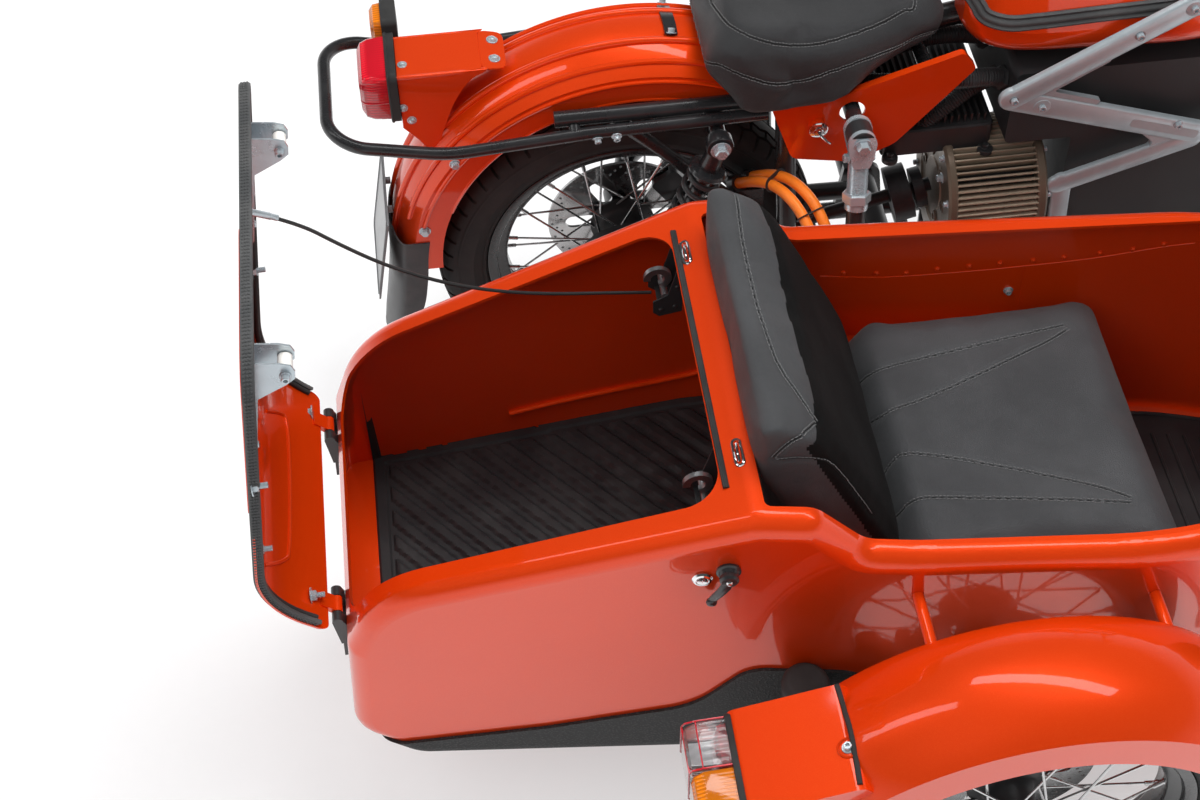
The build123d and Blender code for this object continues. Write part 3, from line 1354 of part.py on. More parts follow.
with BuildPart() as sidecar_lamp:
    with BuildSketch(across(-12 - SEAT_GAP)):
        with Locations((-1152, 517)):
            RectangleRounded(138, 92, 10)
    extrude(amount=-60, taper=4)
sidecar_lamp.part.label = "sidecar_lamp"
export_step(sidecar_lamp.part, "parts/sidecar_lamp.step")


def cord(points, radius):
    """Adds a cord's tube with the largest arc that fits at each corner; returns the arcs' radii."""
    places = [at(*point) for point in points]
    radii = []
    for before, corner, after in zip(places, places[1:], places[2:]):
        turn = (corner - before).get_angle(after - corner)
        run = min((corner - before).length, (after - corner).length)
        radii.append(0.45 * run / math.tan(math.radians(turn) / 2))
    rod(places, radius, radii)
    return radii


# Orange power cables from the motorcycle to the body, beside the rear strut
cable_routes = []
for place, (shift_x, shift_y, shift_z) in zip(("front", "rear"), CABLE_SHIFTS):
    route = [(x + shift_x, y + shift_y, z + shift_z) for x, y, z in CABLE_ROUTE]
    cable_routes.append(route)
    with BuildPart() as power_cable:
        radii = cord(route, CABLE_R)
    power_cable.part.label = f"power_cable_{place}"
    export_step(power_cable.part, f"parts/power_cable_{place}.step")
    print(place, "power cable radii", [round(radius) for radius in radii])

# Cable glands on the body's wall
with BuildPart() as cable_glands:
    for route in cable_routes:
        end = at(*route[-1])
        out = (end - at(*route[-2])).normalized()
        rod([end, end + out * 24], CABLE_R + 5)
        wall_y = -372 - (route[-1][0] - CABLE_R - 5 - 250) * FAR_WALL_SLOPE
        barrel(at(route[-1][0], 0, route[-1][2]), 30, wall_y + SEAT_GAP, wall_y - 40, mode=Mode.SUBTRACT)
cable_glands.part.label = "cable_glands"
export_step(cable_glands.part, "parts/cable_glands.step")

# Stay cord that hangs from the open lid to the mouth's front edge
STAY_ROUTE = (
    (-539, -563.5, 1026),
    (-485, -555, 991),
    (-436, -547, 934),
    (-390, -539, 885),
    (-338, -530, 840),
    (-281, -520, 801),
    (-220, -509, 769),
    (-156, -498, 744),
    (-89, -486, 723),
    (-23.2, -474, 701),
)
with BuildPart() as lid_stay:
    stay_radii = cord(STAY_ROUTE, STAY_R)
lid_stay.part.label = "lid_stay"
export_step(lid_stay.part, "parts/lid_stay.step")
print("lid stay radii", [round(radius) for radius in stay_radii])

# Trunk lid in its own plane: x along the lid from the hinge, y to the left, z out of its skin
lid_tilt = math.radians(LID_OPEN)
lid_run = (math.cos(lid_tilt), 0, math.sin(lid_tilt))
lid_side = Plane(origin=at(HINGE_X, -300, HINGE_Z), x_dir=lid_run, z_dir=(0, -1, 0))
lid_plan = Plane(origin=at(HINGE_X, 0, HINGE_Z), x_dir=lid_run, z_dir=(-lid_run[2], 0, lid_run[0]))
LID_OUTLINE = ((LID_START, -451), (LID_LENGTH, -402), (LID_LENGTH, -906), (LID_START, -863))
LID_CORNERS = [12, 40, 40, 12]
RECESS_OUTLINE = ((150, -545), (470, -520), (470, -790), (150, -770))

# The body's bent back as the closed lid sees it: foot, bend and top, along the lid and out of it
back_line = [
    deck.to_local_coords(at(x, 0, z)) for x, z in ((RIM_REAR_X, RIM_REAR_Z), (BACK_X, BACK_Z), (DECK_X, DECK_Z))
]
back_foot, back_bend, back_top_end = [Vector(place.X, place.Z) for place in back_line]
low_run = (back_bend - back_foot).normalized()
high_run = (back_top_end - back_bend).normalized()
low_out = Vector(-low_run.Y, low_run.X)
high_out = Vector(-high_run.Y, high_run.X)


def set_off(lift):
    """The back's foot, bend and top, set off outward by a lift."""
    bend_out = (low_out + high_out) * (lift / (1 + low_out.dot(high_out)))
    return [back_foot + low_out * lift - low_run * 30, back_bend + bend_out, back_top_end + high_out * lift + high_run * 30]


def under_lid(along):
    """Height of the lid's inner face above the hinge's level, ahead of its bend."""
    bend, top = set_off(LID_LIFT - SEAT_GAP)[1:]
    return bend.Y + (along - bend.X) * (top.Y - bend.Y) / (top.X - bend.X)


def lid_prism(outline, corner, inset, mode):
    """Adds, cuts or keeps what stands over an outline in the lid's plane."""
    with BuildSketch(lid_plan.offset(-80)) as block:
        with BuildLine():
            FilletPolyline(*outline, radius=corner, close=True)
        make_face()
        if inset:
            offset(amount=-inset)
    extrude(to_extrude=block.sketch, amount=240, mode=mode)


def lid_layer(low, high, outline, corner, inset):
    """A layer that follows the body's back from a low to a high lift, kept to an outline."""
    with BuildPart() as layer:
        with BuildSketch(lid_side):
            with BuildLine():
                FilletPolyline(
                    *set_off(low),
                    *reversed(set_off(high)),
                    radius=[0, BACK_R + low, 0, 0, BACK_R + high, 0],
                    close=True,
                )
            make_face()
        extrude(amount=700)
        lid_prism(outline, corner, inset, Mode.INTERSECT)
    return layer.part


lid_sheet = lid_layer(LID_LIFT, LID_LIFT + LID_SKIN, LID_OUTLINE, LID_CORNERS, 0)
lid_pan = lid_layer(LID_LIFT, LID_LIFT + RECESS_DEPTH + LID_SKIN, RECESS_OUTLINE, 40, 0)
lid_recess = lid_layer(LID_LIFT - 4, LID_LIFT + RECESS_DEPTH, RECESS_OUTLINE, 40, LID_SKIN)
with BuildPart() as trunk_lid:
    add(lid_sheet)
    add(lid_pan)
    add(lid_recess, mode=Mode.SUBTRACT)
    for hinge_y in HINGE_PLACES:
        barrel(at(HINGE_X, hinge_y, HINGE_Z), KNUCKLE_R, 12, -12)
        with BuildSketch(lid_side.offset(-300 - hinge_y - 12)) as arm:
            with BuildLine():
                tip = low_run * 30
                side_step = low_out * 4
                Polyline(side_step * -1, tip - side_step, tip + side_step, side_step, close=True)
            make_face()
        extrude(to_extrude=arm.sketch, amount=24)
        barrel(at(HINGE_X, hinge_y, HINGE_Z), HINGE_PIN_R + RUNNING_FIT, 12, -12, mode=Mode.SUBTRACT)
trunk_lid.part.label = "trunk_lid"
export_step(trunk_lid.part, "parts/trunk_lid.step")

# Hinge brackets on the body's rear wall, each with two ears and a pin
with BuildPart() as lid_hinges:
    for hinge_y in HINGE_PLACES:
        for ear_y in (hinge_y + 28, hinge_y - 13):
            with BuildSketch(upright(ear_y)) as ear:
                with BuildLine():
                    Polyline((-488, 496), (-488, 460), (-504, 460), (-510.5, 513), (-495.5, 513), close=True)
                make_face()
                with Locations((HINGE_X, HINGE_Z)):
                    Circle(KNUCKLE_R)
            extrude(to_extrude=ear.sketch, amount=15)
        with BuildSketch(upright(hinge_y + 28)) as foot:
            with BuildLine():
                Polyline((-485, 490), (-485, 430), (-503, 430), (-500, 490), close=True)
            make_face()
        extrude(to_extrude=foot.sketch, amount=56)
        barrel(at(HINGE_X, hinge_y, HINGE_Z), HINGE_PIN_R, 26, -26)
    add(body_clear, mode=Mode.SUBTRACT)
lid_hinges.part.label = "lid_hinges"
export_step(lid_hinges.part, "parts/lid_hinges.step")

# Rubber seal round the lid's sides and free edge
seal_high = LID_LIFT - SEAT_GAP
with BuildPart() as lid_seal:
    add(lid_layer(seal_high - SEAL_T, seal_high, LID_OUTLINE, LID_CORNERS, 1))
    lid_prism(LID_OUTLINE, LID_CORNERS, 13, Mode.SUBTRACT)
    lid_prism(((-40, -300), (44, -300), (44, -1000), (-40, -1000)), 1, 0, Mode.SUBTRACT)
lid_seal.part.label = "lid_seal"
export_step(lid_seal.part, "parts/lid_seal.step")

# Striker brackets on the lid's inner face, each with a roller for its latch
with BuildPart() as lid_strikers:
    for striker_y in (-840, -470):
        with BuildSketch(lid_side.offset(-300 - striker_y - 16)) as bracket:
            with BuildLine():
                Polyline(
                    (500, under_lid(500)),
                    (562, under_lid(562)),
                    (562, under_lid(562) - 4),
                    (539, under_lid(539) - 4),
                    (539, ROLLER_V),
                    (531, ROLLER_V),
                    (531, under_lid(531) - 4),
                    (500, under_lid(500) - 4),
                    close=True,
                )
            make_face()
        extrude(to_extrude=bracket.sketch, amount=32)
        barrel(lid_plan.from_local_coords(Vector(535, striker_y, ROLLER_V)), 8, 12, -12)
lid_strikers.part.label = "lid_strikers"
export_step(lid_strikers.part, "parts/lid_strikers.step")
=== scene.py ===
"""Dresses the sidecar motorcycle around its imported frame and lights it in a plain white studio."""

import logging
import math
import random
from collections.abc import Callable, Iterable, Sequence
from dataclasses import dataclass, field
from enum import Enum

import bmesh
import bpy
import numpy as np
from mathutils import Matrix, Vector, geometry
from mathutils.bvhtree import BVHTree
from mathutils.kdtree import KDTree


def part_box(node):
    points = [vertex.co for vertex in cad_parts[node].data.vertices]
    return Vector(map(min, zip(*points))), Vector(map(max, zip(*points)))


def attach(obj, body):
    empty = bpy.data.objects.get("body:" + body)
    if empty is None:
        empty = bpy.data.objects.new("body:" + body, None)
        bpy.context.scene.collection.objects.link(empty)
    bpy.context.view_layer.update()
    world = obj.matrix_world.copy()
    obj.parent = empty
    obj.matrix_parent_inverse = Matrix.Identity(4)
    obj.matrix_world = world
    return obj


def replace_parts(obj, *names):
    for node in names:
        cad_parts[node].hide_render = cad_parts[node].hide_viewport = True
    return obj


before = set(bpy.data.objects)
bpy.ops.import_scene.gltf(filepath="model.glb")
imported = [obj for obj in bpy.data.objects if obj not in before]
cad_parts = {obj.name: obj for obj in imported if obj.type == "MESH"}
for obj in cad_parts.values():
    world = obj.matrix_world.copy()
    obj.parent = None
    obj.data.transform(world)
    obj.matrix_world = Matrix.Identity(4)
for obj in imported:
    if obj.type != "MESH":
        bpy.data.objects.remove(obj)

LOG = logging.getLogger("sidecar_motorcycle")
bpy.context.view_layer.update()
MM = 0.001
REAR_AXLE_X = -0.6365
BIKE_Y = 0.414
AXLE_HIGH = 325.0
FORK_RAKE = math.radians(27.0)
STEERING_X = 1550.0
BODY_MIDDLE = -655.0
REAR_AXLE = (0.0, 0.0, AXLE_HIGH)
FRONT_AXLE = (1500.0, 0.0, AXLE_HIGH)
SIDECAR_AXLE = (381.0, -1140.0, AXLE_HIGH)
AHEAD, BACK = Vector((1, 0, 0)), Vector((-1, 0, 0))
LEFT, RIGHT = Vector((0, 1, 0)), Vector((0, -1, 0))
UP, DOWN = Vector((0, 0, 1)), Vector((0, 0, -1))
STUDIO_WHITE = (1.0, 1.0, 1.0, 1.0)

Place = tuple[float, float, float]
Colour = tuple[float, float, float]
Pair = tuple[float, float]
Pairs = tuple[Pair, ...]
Rows = tuple[tuple[float, float, float], ...]
Socket = bpy.types.NodeSocket
Thing = bpy.types.Object


def new_object(name: str, data: bpy.types.ID) -> Thing:
    """Makes an object of some data and links it to the scene."""
    thing = bpy.data.objects.new(name, data)
    bpy.context.scene.collection.objects.link(thing)
    return thing


def vectors(items: bpy.types.bpy_prop_collection, name: str) -> np.ndarray:
    """Reads a vector of each point or face of a mesh into rows."""
    flat = np.empty(len(items) * 3)
    items.foreach_get(name, flat)
    return flat.reshape(-1, 3)


def at(x: float, y: float, z: float) -> Vector:
    """Gives a place in the row frame in metres.

    Args:
        x: Millimetres ahead of the rear axle.
        y: Millimetres left of the motorcycle's middle plane.
        z: Millimetres above the ground.

    Returns:
        The place in the row frame.
    """
    return Vector((REAR_AXLE_X + x * MM, BIKE_Y + y * MM, z * MM))


class Body(Enum):
    """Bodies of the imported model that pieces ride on."""

    CHASSIS = "chassis"
    STEERING = "steering"
    FRONT_WHEEL = "front_wheel"
    REAR_WHEEL = "rear_wheel"
    SIDECAR_WHEEL = "sidecar_wheel"
    LID = "trunk_lid"


class Head(Enum):
    """Kinds of fastener heads."""

    HEX = "hex"
    SOCKET = "socket"
    DOME = "dome"


# Finishes of the vehicle and the floor.


class Nodes:
    """Node tree with short helpers for the nodes that every tree uses."""

    def __init__(self, tree: bpy.types.NodeTree) -> None:
        """Takes the tree to build in."""
        self.tree = tree

    def node(self, kind: str, **settings: object) -> bpy.types.Node:
        """Adds a node and sets its properties."""
        node = self.tree.nodes.new(kind)
        for name, value in settings.items():
            setattr(node, name, value)
        return node

    def link(self, source: Socket, target: Socket) -> None:
        """Links two sockets."""
        self.tree.links.new(source, target)

    def reckon(self, kind: str, first: Socket | float, second: Socket) -> Socket:
        """Adds a plain operation.

        Args:
            kind: The operation.
            first: Its first value, a socket or a number.
            second: Its second value.

        Returns:
            The result's socket.
        """
        node = self.node("ShaderNodeMath", operation=kind)
        if isinstance(first, float):
            node.inputs[0].default_value = first
        else:
            self.link(first, node.inputs[0])
        self.link(second, node.inputs[1])
        return node.outputs[0]

    def spread(self, value: Socket, source: Pair = (0.0, 1.0), target: Pair = (0.0, 1.0)) -> Socket:
        """Maps a value from one range to another.

        Args:
            value: The value's socket.
            source: The range that it comes from.
            target: The range that it goes to.

        Returns:
            The mapped value's socket.
        """
        node = self.node("ShaderNodeMapRange")
        for name, ends in (("From", source), ("To", target)):
            node.inputs[f"{name} Min"].default_value, node.inputs[f"{name} Max"].default_value = ends
        self.link(value, node.inputs["Value"])
        return node.outputs["Result"]


class Recipe(Nodes):
    """Node tree of one material, with short helpers for its texture nodes."""

    def __init__(self, name: str) -> None:
        """Starts a material with one Principled shader and object coordinates."""
        self.material = bpy.data.materials.new(name)
        self.material.use_nodes = True
        super().__init__(self.material.node_tree)
        self.shader = self.tree.nodes["Principled BSDF"]
        self.place = self.node("ShaderNodeTexCoord").outputs["Object"]

    def stretch(self, x: float, y: float, z: float) -> Socket:
        """Gives the object coordinates scaled along each axis."""
        mapping = self.node("ShaderNodeMapping")
        mapping.inputs["Scale"].default_value = (x, y, z)
        self.link(self.place, mapping.inputs["Vector"])
        return mapping.outputs["Vector"]

    def noise(
        self, scale: float, detail: float = 4.0, rough: float = 0.55, where: Socket | None = None
    ) -> Socket:
        """Adds a noise texture.

        Args:
            scale: Noise cells in a metre.
            detail: Octaves of finer noise.
            rough: Weight of the finer octaves.
            where: Coordinates, if not the plain object ones.

        Returns:
            The noise's factor socket.
        """
        node = self.node("ShaderNodeTexNoise")
        node.inputs["Scale"].default_value = scale
        node.inputs["Detail"].default_value = detail
        node.inputs["Roughness"].default_value = rough
        self.link(where or self.place, node.inputs["Vector"])
        return node.outputs["Fac"]

    def cells(
        self, scale: float, feature: str = "F1", output: str = "Distance", where: Socket | None = None
    ) -> Socket:
        """Adds a cell texture.

        Args:
            scale: Cells in a metre.
            feature: Which distance the texture measures.
            output: Name of the socket to give.
            where: Coordinates, if not the plain object ones.

        Returns:
            The chosen socket.
        """
        node = self.node("ShaderNodeTexVoronoi", feature=feature)
        node.inputs["Scale"].default_value = scale
        self.link(where or self.place, node.inputs["Vector"])
        return node.outputs[output]

    def lines(self, scale: float, direction: str, distort: float = 0.0) -> Socket:
        """Adds parallel lines.

        Args:
            scale: Lines' scale in a metre.
            direction: Axis that the lines follow each other on.
            distort: How far the lines waver.

        Returns:
            The lines' factor socket.
        """
        node = self.node("ShaderNodeTexWave", bands_direction=direction)
        node.inputs["Scale"].default_value = scale
        node.inputs["Distortion"].default_value = distort
        self.link(self.place, node.inputs["Vector"])
        return node.outputs["Fac"]

    def ramp(self, factor: Socket, low: float, high: float) -> Socket:
        """Spreads a factor between two of its values to the whole of 0 to 1."""
        return self.spread(factor, source=(low, high))

    def span(self, factor: Socket, low: float, high: float) -> Socket:
        """Gives a factor's values between two new ends."""
        return self.spread(factor, target=(low, high))

    def mix(self, factor: Socket, first: Colour | Socket, second: Colour | Socket) -> Socket:
        """Mixes two colours by a factor.

        Args:
            factor: Share of the second colour.
            first: Colour at factor 0.
            second: Colour at factor 1.

        Returns:
            The mixed colour's socket.
        """
        node = self.node("ShaderNodeMix", data_type="RGBA")
        self.link(factor, node.inputs["Factor"])
        for socket, colour in ((node.inputs["A"], first), (node.inputs["B"], second)):
            target = next(item for item in node.inputs if item.name == socket.name and item.type == "RGBA")
            if isinstance(colour, tuple):
                target.default_value = (*colour, 1.0)
            else:
                self.link(colour, target)
        return next(item for item in node.outputs if item.type == "RGBA")

    def bump(
        self, height: Socket, depth: float, strength: float = 1.0, over: Socket | None = None
    ) -> Socket:
        """Adds a bump of a height texture.

        Args:
            height: Texture that gives the relief.
            depth: Relief's depth in metres.
            strength: Share of the relief that shows.
            over: Normal that the relief stands on.

        Returns:
            The bumped normal.
        """
        node = self.node("ShaderNodeBump")
        node.inputs["Strength"].default_value = strength
        node.inputs["Distance"].default_value = depth
        self.link(height, node.inputs["Height"])
        if over is not None:
            self.link(over, node.inputs["Normal"])
        return node.outputs["Normal"]

    def feed(self, **values: object) -> None:
        """Sets or links the shader's sockets, named with underscores for spaces."""
        for name, value in values.items():
            socket = self.shader.inputs[name.replace("_", " ")]
            if isinstance(value, Socket):
                self.link(value, socket)
            elif isinstance(value, tuple) and len(value) == 3:
                socket.default_value = (*value, 1.0)
            else:
                socket.default_value = value


@dataclass(frozen=True)
class Finish:
    """A surface finish; each kind writes its own nodes."""

    name: str
    colour: Colour
    roughness: float = 0.5
    made = {}

    def material(self) -> bpy.types.Material:
        """Gives the finish's material, made once."""
        if self.name not in Finish.made:
            recipe = Recipe(self.name)
            recipe.feed(Base_Color=self.colour, Roughness=self.roughness)
            self.write(recipe)
            Finish.made[self.name] = recipe.material
        return Finish.made[self.name]

    def shaded(self, recipe: Recipe, factor: Socket, gain: float, lift: float = 0.0) -> Socket:
        """Mixes the colour with a paler or darker one of itself.

        Args:
            recipe: The material's nodes.
            factor: Share of the other colour.
            gain: What the colour is multiplied by for it.
            lift: What is added to it.

        Returns:
            The mixed colour's socket.
        """
        return recipe.mix(factor, self.colour, tuple(c * gain + lift for c in self.colour))

    def write(self, recipe: Recipe) -> None:
        """Writes the nodes of this kind of finish."""


@dataclass(frozen=True)
class Paint(Finish):
    """Metallic lacquer under a clear coat: fine flakes, slight waves and dust."""

    deep: Colour = (0.42, 0.018, 0.002)
    flake: Colour = (1.0, 0.17, 0.03)

    def write(self, recipe: Recipe) -> None:
        """Writes the lacquer's nodes."""
        flakes = recipe.ramp(recipe.cells(2600, output="Color"), 0.62, 0.98)
        cloud = recipe.ramp(recipe.noise(3.0, 3), 0.32, 0.72)
        tint = recipe.mix(
            cloud, self.colour, tuple(0.86 * a + 0.14 * b for a, b in zip(self.colour, self.deep))
        )
        glitter = recipe.mix(recipe.span(flakes, 0.0, 0.30), tint, self.flake)
        dust = recipe.ramp(recipe.noise(900, 2), 0.70, 0.76)
        recipe.feed(
            Base_Color=recipe.mix(recipe.span(dust, 0.0, 0.05), glitter, (0.75, 0.62, 0.52)),
            Metallic=0.46,
            Roughness=recipe.span(recipe.noise(55, 4), 0.30, 0.38),
            Specular_IOR_Level=0.2,
            Normal=recipe.bump(recipe.cells(1900), 0.00002, 0.35),
            Coat_Weight=1.0,
            Coat_Roughness=0.04,
            Coat_Normal=recipe.bump(recipe.noise(320, 2), 0.00004, 0.2),
        )


@dataclass(frozen=True)
class Enamel(Finish):
    """Baked black enamel or powder coat with orange peel and rubbed patches."""

    peel: float = 700.0
    metallic: float = 0.0

    def write(self, recipe: Recipe) -> None:
        """Writes the enamel's nodes."""
        peel = recipe.noise(self.peel, 3)
        rub = recipe.ramp(recipe.noise(18, 6, 0.7), 0.45, 0.75)
        recipe.feed(
            Base_Color=self.shaded(recipe, recipe.span(rub, 0.0, 0.35), 1.9, 0.01),
            Metallic=self.metallic,
            Roughness=recipe.span(rub, self.roughness - 0.06, self.roughness + 0.10),
            Normal=recipe.bump(peel, 0.00012, 0.35),
            Coat_Weight=0.3,
            Coat_Roughness=0.12,
        )


@dataclass(frozen=True)
class Rubber(Finish):
    """Moulded rubber with a dusty bloom."""

    grain: float = 1400.0
    bloom: float = 0.25

    def write(self, recipe: Recipe) -> None:
        """Writes the rubber's nodes."""
        bloom = recipe.ramp(recipe.noise(9, 6, 0.65), 0.42, 0.72)
        grain = recipe.noise(self.grain, 3)
        recipe.feed(
            Base_Color=recipe.mix(recipe.span(bloom, 0.0, self.bloom), self.colour, (0.16, 0.155, 0.15)),
            Roughness=recipe.span(bloom, self.roughness - 0.1, self.roughness + 0.08),
            Normal=recipe.bump(grain, 0.00015, 0.5),
            Specular_IOR_Level=0.35,
        )


@dataclass(frozen=True)
class Vinyl(Finish):
    """Upholstery leathercloth: fine pebble grain, pores and worn patches."""

    grain: float = 620.0
    gloss: float = 0.45

    def write(self, recipe: Recipe) -> None:
        """Writes the leathercloth's nodes."""
        warp = recipe.node("ShaderNodeVectorMath", operation="ADD")
        shift = recipe.node("ShaderNodeTexNoise")
        shift.inputs["Scale"].default_value = 120.0
        recipe.link(recipe.place, shift.inputs["Vector"])
        scaled = recipe.node("ShaderNodeVectorMath", operation="SCALE")
        scaled.inputs["Scale"].default_value = 0.004
        recipe.link(shift.outputs["Color"], scaled.inputs[0])
        recipe.link(recipe.place, warp.inputs[0])
        recipe.link(scaled.outputs["Vector"], warp.inputs[1])
        pebbles = recipe.ramp(
            recipe.cells(self.grain, "DISTANCE_TO_EDGE", "Distance", warp.outputs["Vector"]), 0.0, 0.22
        )
        pores = recipe.noise(2600, 2)
        worn = recipe.ramp(recipe.noise(7, 5, 0.6), 0.40, 0.75)
        dip = recipe.bump(pebbles, 0.00028, 0.75)
        recipe.feed(
            Base_Color=self.shaded(recipe, recipe.span(worn, 0.0, 0.5), 1.7, 0.006),
            Roughness=recipe.span(
                recipe.reckon("MULTIPLY", worn, pebbles), self.roughness + 0.10, self.roughness - 0.05
            ),
            Normal=recipe.bump(pores, 0.00006, 0.4, dip),
            Specular_IOR_Level=self.gloss,
            Sheen_Weight=self.gloss * 0.12,
            Sheen_Roughness=0.5,
        )


@dataclass(frozen=True)
class Casting(Finish):
    """Cast or anodised alloy with sand texture and patches of grime."""

    metallic: float = 0.75
    sand: float = 420.0
    soil: float = 0.55

    def write(self, recipe: Recipe) -> None:
        """Writes the casting's nodes."""
        grime = recipe.ramp(recipe.noise(26, 7, 0.7), 0.42, 0.70)
        sand = recipe.noise(self.sand, 5, 0.7)
        recipe.feed(
            Base_Color=self.shaded(recipe, recipe.span(grime, 0.0, self.soil), 0.45),
            Metallic=self.metallic,
            Roughness=recipe.span(grime, self.roughness - 0.05, self.roughness + 0.22 * self.soil),
            Normal=recipe.bump(sand, 0.00025, 0.4),
        )


@dataclass(frozen=True)
class Metal(Finish):
    """Bare or plated metal, brushed along one axis."""

    brush: tuple[float, float, float] = (40.0, 1500.0, 1500.0)
    depth: float = 0.00002
    stain: float = 0.25

    def write(self, recipe: Recipe) -> None:
        """Writes the metal's nodes."""
        strokes = recipe.noise(1.0, 4, 0.6, recipe.stretch(*self.brush))
        stain = recipe.ramp(recipe.noise(22, 6, 0.65), 0.48, 0.78)
        recipe.feed(
            Base_Color=self.shaded(recipe, recipe.span(stain, 0.0, self.stain), 0.5),
            Metallic=1.0,
            Roughness=recipe.span(
                recipe.reckon("MULTIPLY", strokes, stain), self.roughness - 0.05, self.roughness + 0.22
            ),
            Normal=recipe.bump(strokes, self.depth, 0.5),
        )


@dataclass(frozen=True)
class Plastic(Finish):
    """Moulded plastic with a fine spark texture."""

    grain: float = 1500.0

    def write(self, recipe: Recipe) -> None:
        """Writes the plastic's nodes."""
        grain = recipe.cells(self.grain)
        scuff = recipe.ramp(recipe.noise(34, 6, 0.7), 0.5, 0.8)
        recipe.feed(
            Base_Color=self.shaded(recipe, recipe.span(scuff, 0.0, 0.3), 1.35, 0.01),
            Roughness=recipe.span(scuff, self.roughness, self.roughness + 0.12),
            Normal=recipe.bump(grain, 0.00010, 0.4),
        )


@dataclass(frozen=True)
class Coating(Finish):
    """Sprayed stone guard: coarse pimples in black, lighter on their tops as a painted highlight."""

    grain: float = 260.0

    def write(self, recipe: Recipe) -> None:
        """Writes the coating's nodes."""
        pimples = recipe.ramp(recipe.cells(self.grain), 0.55, 0.05)
        fine = recipe.noise(1100, 4)
        recipe.feed(
            # Lighter pimple tops: painted highlight.
            Base_Color=self.shaded(recipe, pimples, 2.0, 0.012),
            Roughness=recipe.span(fine, self.roughness - 0.1, self.roughness + 0.1),
            Normal=recipe.bump(fine, 0.0002, 0.4, recipe.bump(pimples, 0.0007, 0.8)),
        )


@dataclass(frozen=True)
class Lens(Finish):
    """Clear moulded lens with inner flutes, darker in their valleys as painted shade."""

    clear: float = 0.45
    flutes: float = 60.0

    def write(self, recipe: Recipe) -> None:
        """Writes the lens's nodes."""
        flutes = recipe.lines(self.flutes, "Y")
        rows = recipe.lines(self.flutes, "Z")
        relief = recipe.reckon("MULTIPLY", flutes, rows)
        # Darker flute valleys: painted shade.
        shade = recipe.mix(relief, tuple(c * 0.55 for c in self.colour), self.colour)
        recipe.feed(
            Base_Color=shade,
            Transmission_Weight=self.clear,
            Normal=recipe.bump(relief, 0.0006, 0.6),
            Coat_Weight=1.0,
            Coat_Roughness=0.02,
            IOR=1.49,
        )


@dataclass(frozen=True)
class CableSkin(Finish):
    """Extruded cable jacket with fine draw lines and a slight waxy sheen."""

    def write(self, recipe: Recipe) -> None:
        """Writes the jacket's nodes."""
        drawn = recipe.noise(1.0, 3, 0.5, recipe.stretch(300, 300, 40))
        dirt = recipe.ramp(recipe.noise(60, 5, 0.65), 0.50, 0.80)
        recipe.feed(
            Base_Color=self.shaded(recipe, recipe.span(dirt, 0.0, 0.4), 0.55),
            Roughness=recipe.span(drawn, self.roughness - 0.06, self.roughness + 0.1),
            Normal=recipe.bump(drawn, 0.0001, 0.4),
            Coat_Weight=0.15,
            Coat_Roughness=0.3,
        )


ORANGE = Paint("orange_lacquer", (0.82, 0.050, 0.001), 0.34)
BLACK = Enamel("black_enamel", (0.014, 0.014, 0.015), 0.32)
SATIN_BLACK = Enamel("satin_black_coat", (0.020, 0.020, 0.021), 0.48, peel=1100)
TYRE = Rubber("tyre_rubber", (0.020, 0.020, 0.020), 0.78, bloom=0.22)
RUBBER = Rubber("black_rubber", (0.018, 0.018, 0.018), 0.62, bloom=0.15)
KNEE_RUBBER = Rubber("knee_rubber", (0.040, 0.041, 0.042), 0.6, bloom=0.35)
SADDLE_VINYL = Vinyl("saddle_leathercloth", (0.017, 0.017, 0.018), 0.38)
CUSHION_VINYL = Vinyl("cushion_leathercloth", (0.036, 0.037, 0.039), 0.42, grain=520)
# Front panel's cover: partly a darker leathercloth, partly painted shade.
INSERT_VINYL_AND_SHADE = Vinyl("insert_leathercloth_and_painted_shade", (0.004, 0.004, 0.004), 0.62, grain=760, gloss=0.10)
BRONZE = Casting("bronze_casting", (0.17, 0.13, 0.095), 0.36, metallic=0.5, soil=0.3)
# Fins' bronze, twice as light as the end plates' bronze: painted highlight.
FIN_BRONZE_PAINTED_HIGHLIGHT = Casting("fin_bronze_painted_highlight", (0.34, 0.27, 0.20), 0.36, metallic=0.35, sand=900, soil=0.25)
DARK_CAST = Casting("dark_casting", (0.050, 0.050, 0.052), 0.46)
ALLOY = Casting("plate_alloy", (0.46, 0.52, 0.55), 0.34, metallic=0.55, sand=700, soil=0.2)
CAST_ALLOY = Casting("cast_alloy", (0.42, 0.42, 0.43), 0.36, metallic=0.95)
ZINC = Casting("zinc_steel", (0.56, 0.63, 0.67), 0.28, metallic=0.65, sand=900, soil=0.12)
CHROME = Metal("bright_chrome", (0.86, 0.87, 0.88), 0.09, brush=(300.0, 300.0, 300.0), stain=0.05)
STEEL = Metal("disc_steel", (0.52, 0.52, 0.52), 0.28, brush=(900.0, 900.0, 900.0))
SPOKE_STEEL = Metal("spoke_steel", (0.60, 0.60, 0.60), 0.30, brush=(400.0, 400.0, 400.0))
RIM_BLACK = Enamel("rim_enamel", (0.016, 0.016, 0.017), 0.30)
HUB_BLACK = Casting("hub_casting", (0.030, 0.030, 0.031), 0.42, metallic=0.3)
PACK = Plastic("pack_plastic", (0.020, 0.020, 0.021), 0.5)
CONTROL = Plastic("control_plastic", (0.022, 0.022, 0.023), 0.42)
NYLON = Plastic("white_nylon", (0.78, 0.77, 0.73), 0.36, grain=900)
PLATE_GREY = Enamel("plate_grey", (0.17, 0.175, 0.18), 0.40, peel=500)
GUARD = Coating("stone_guard", (0.016, 0.016, 0.016), 0.66)
RED_LENS = Lens("red_lens", (0.95, 0.010, 0.030), 0.07, clear=0.20)
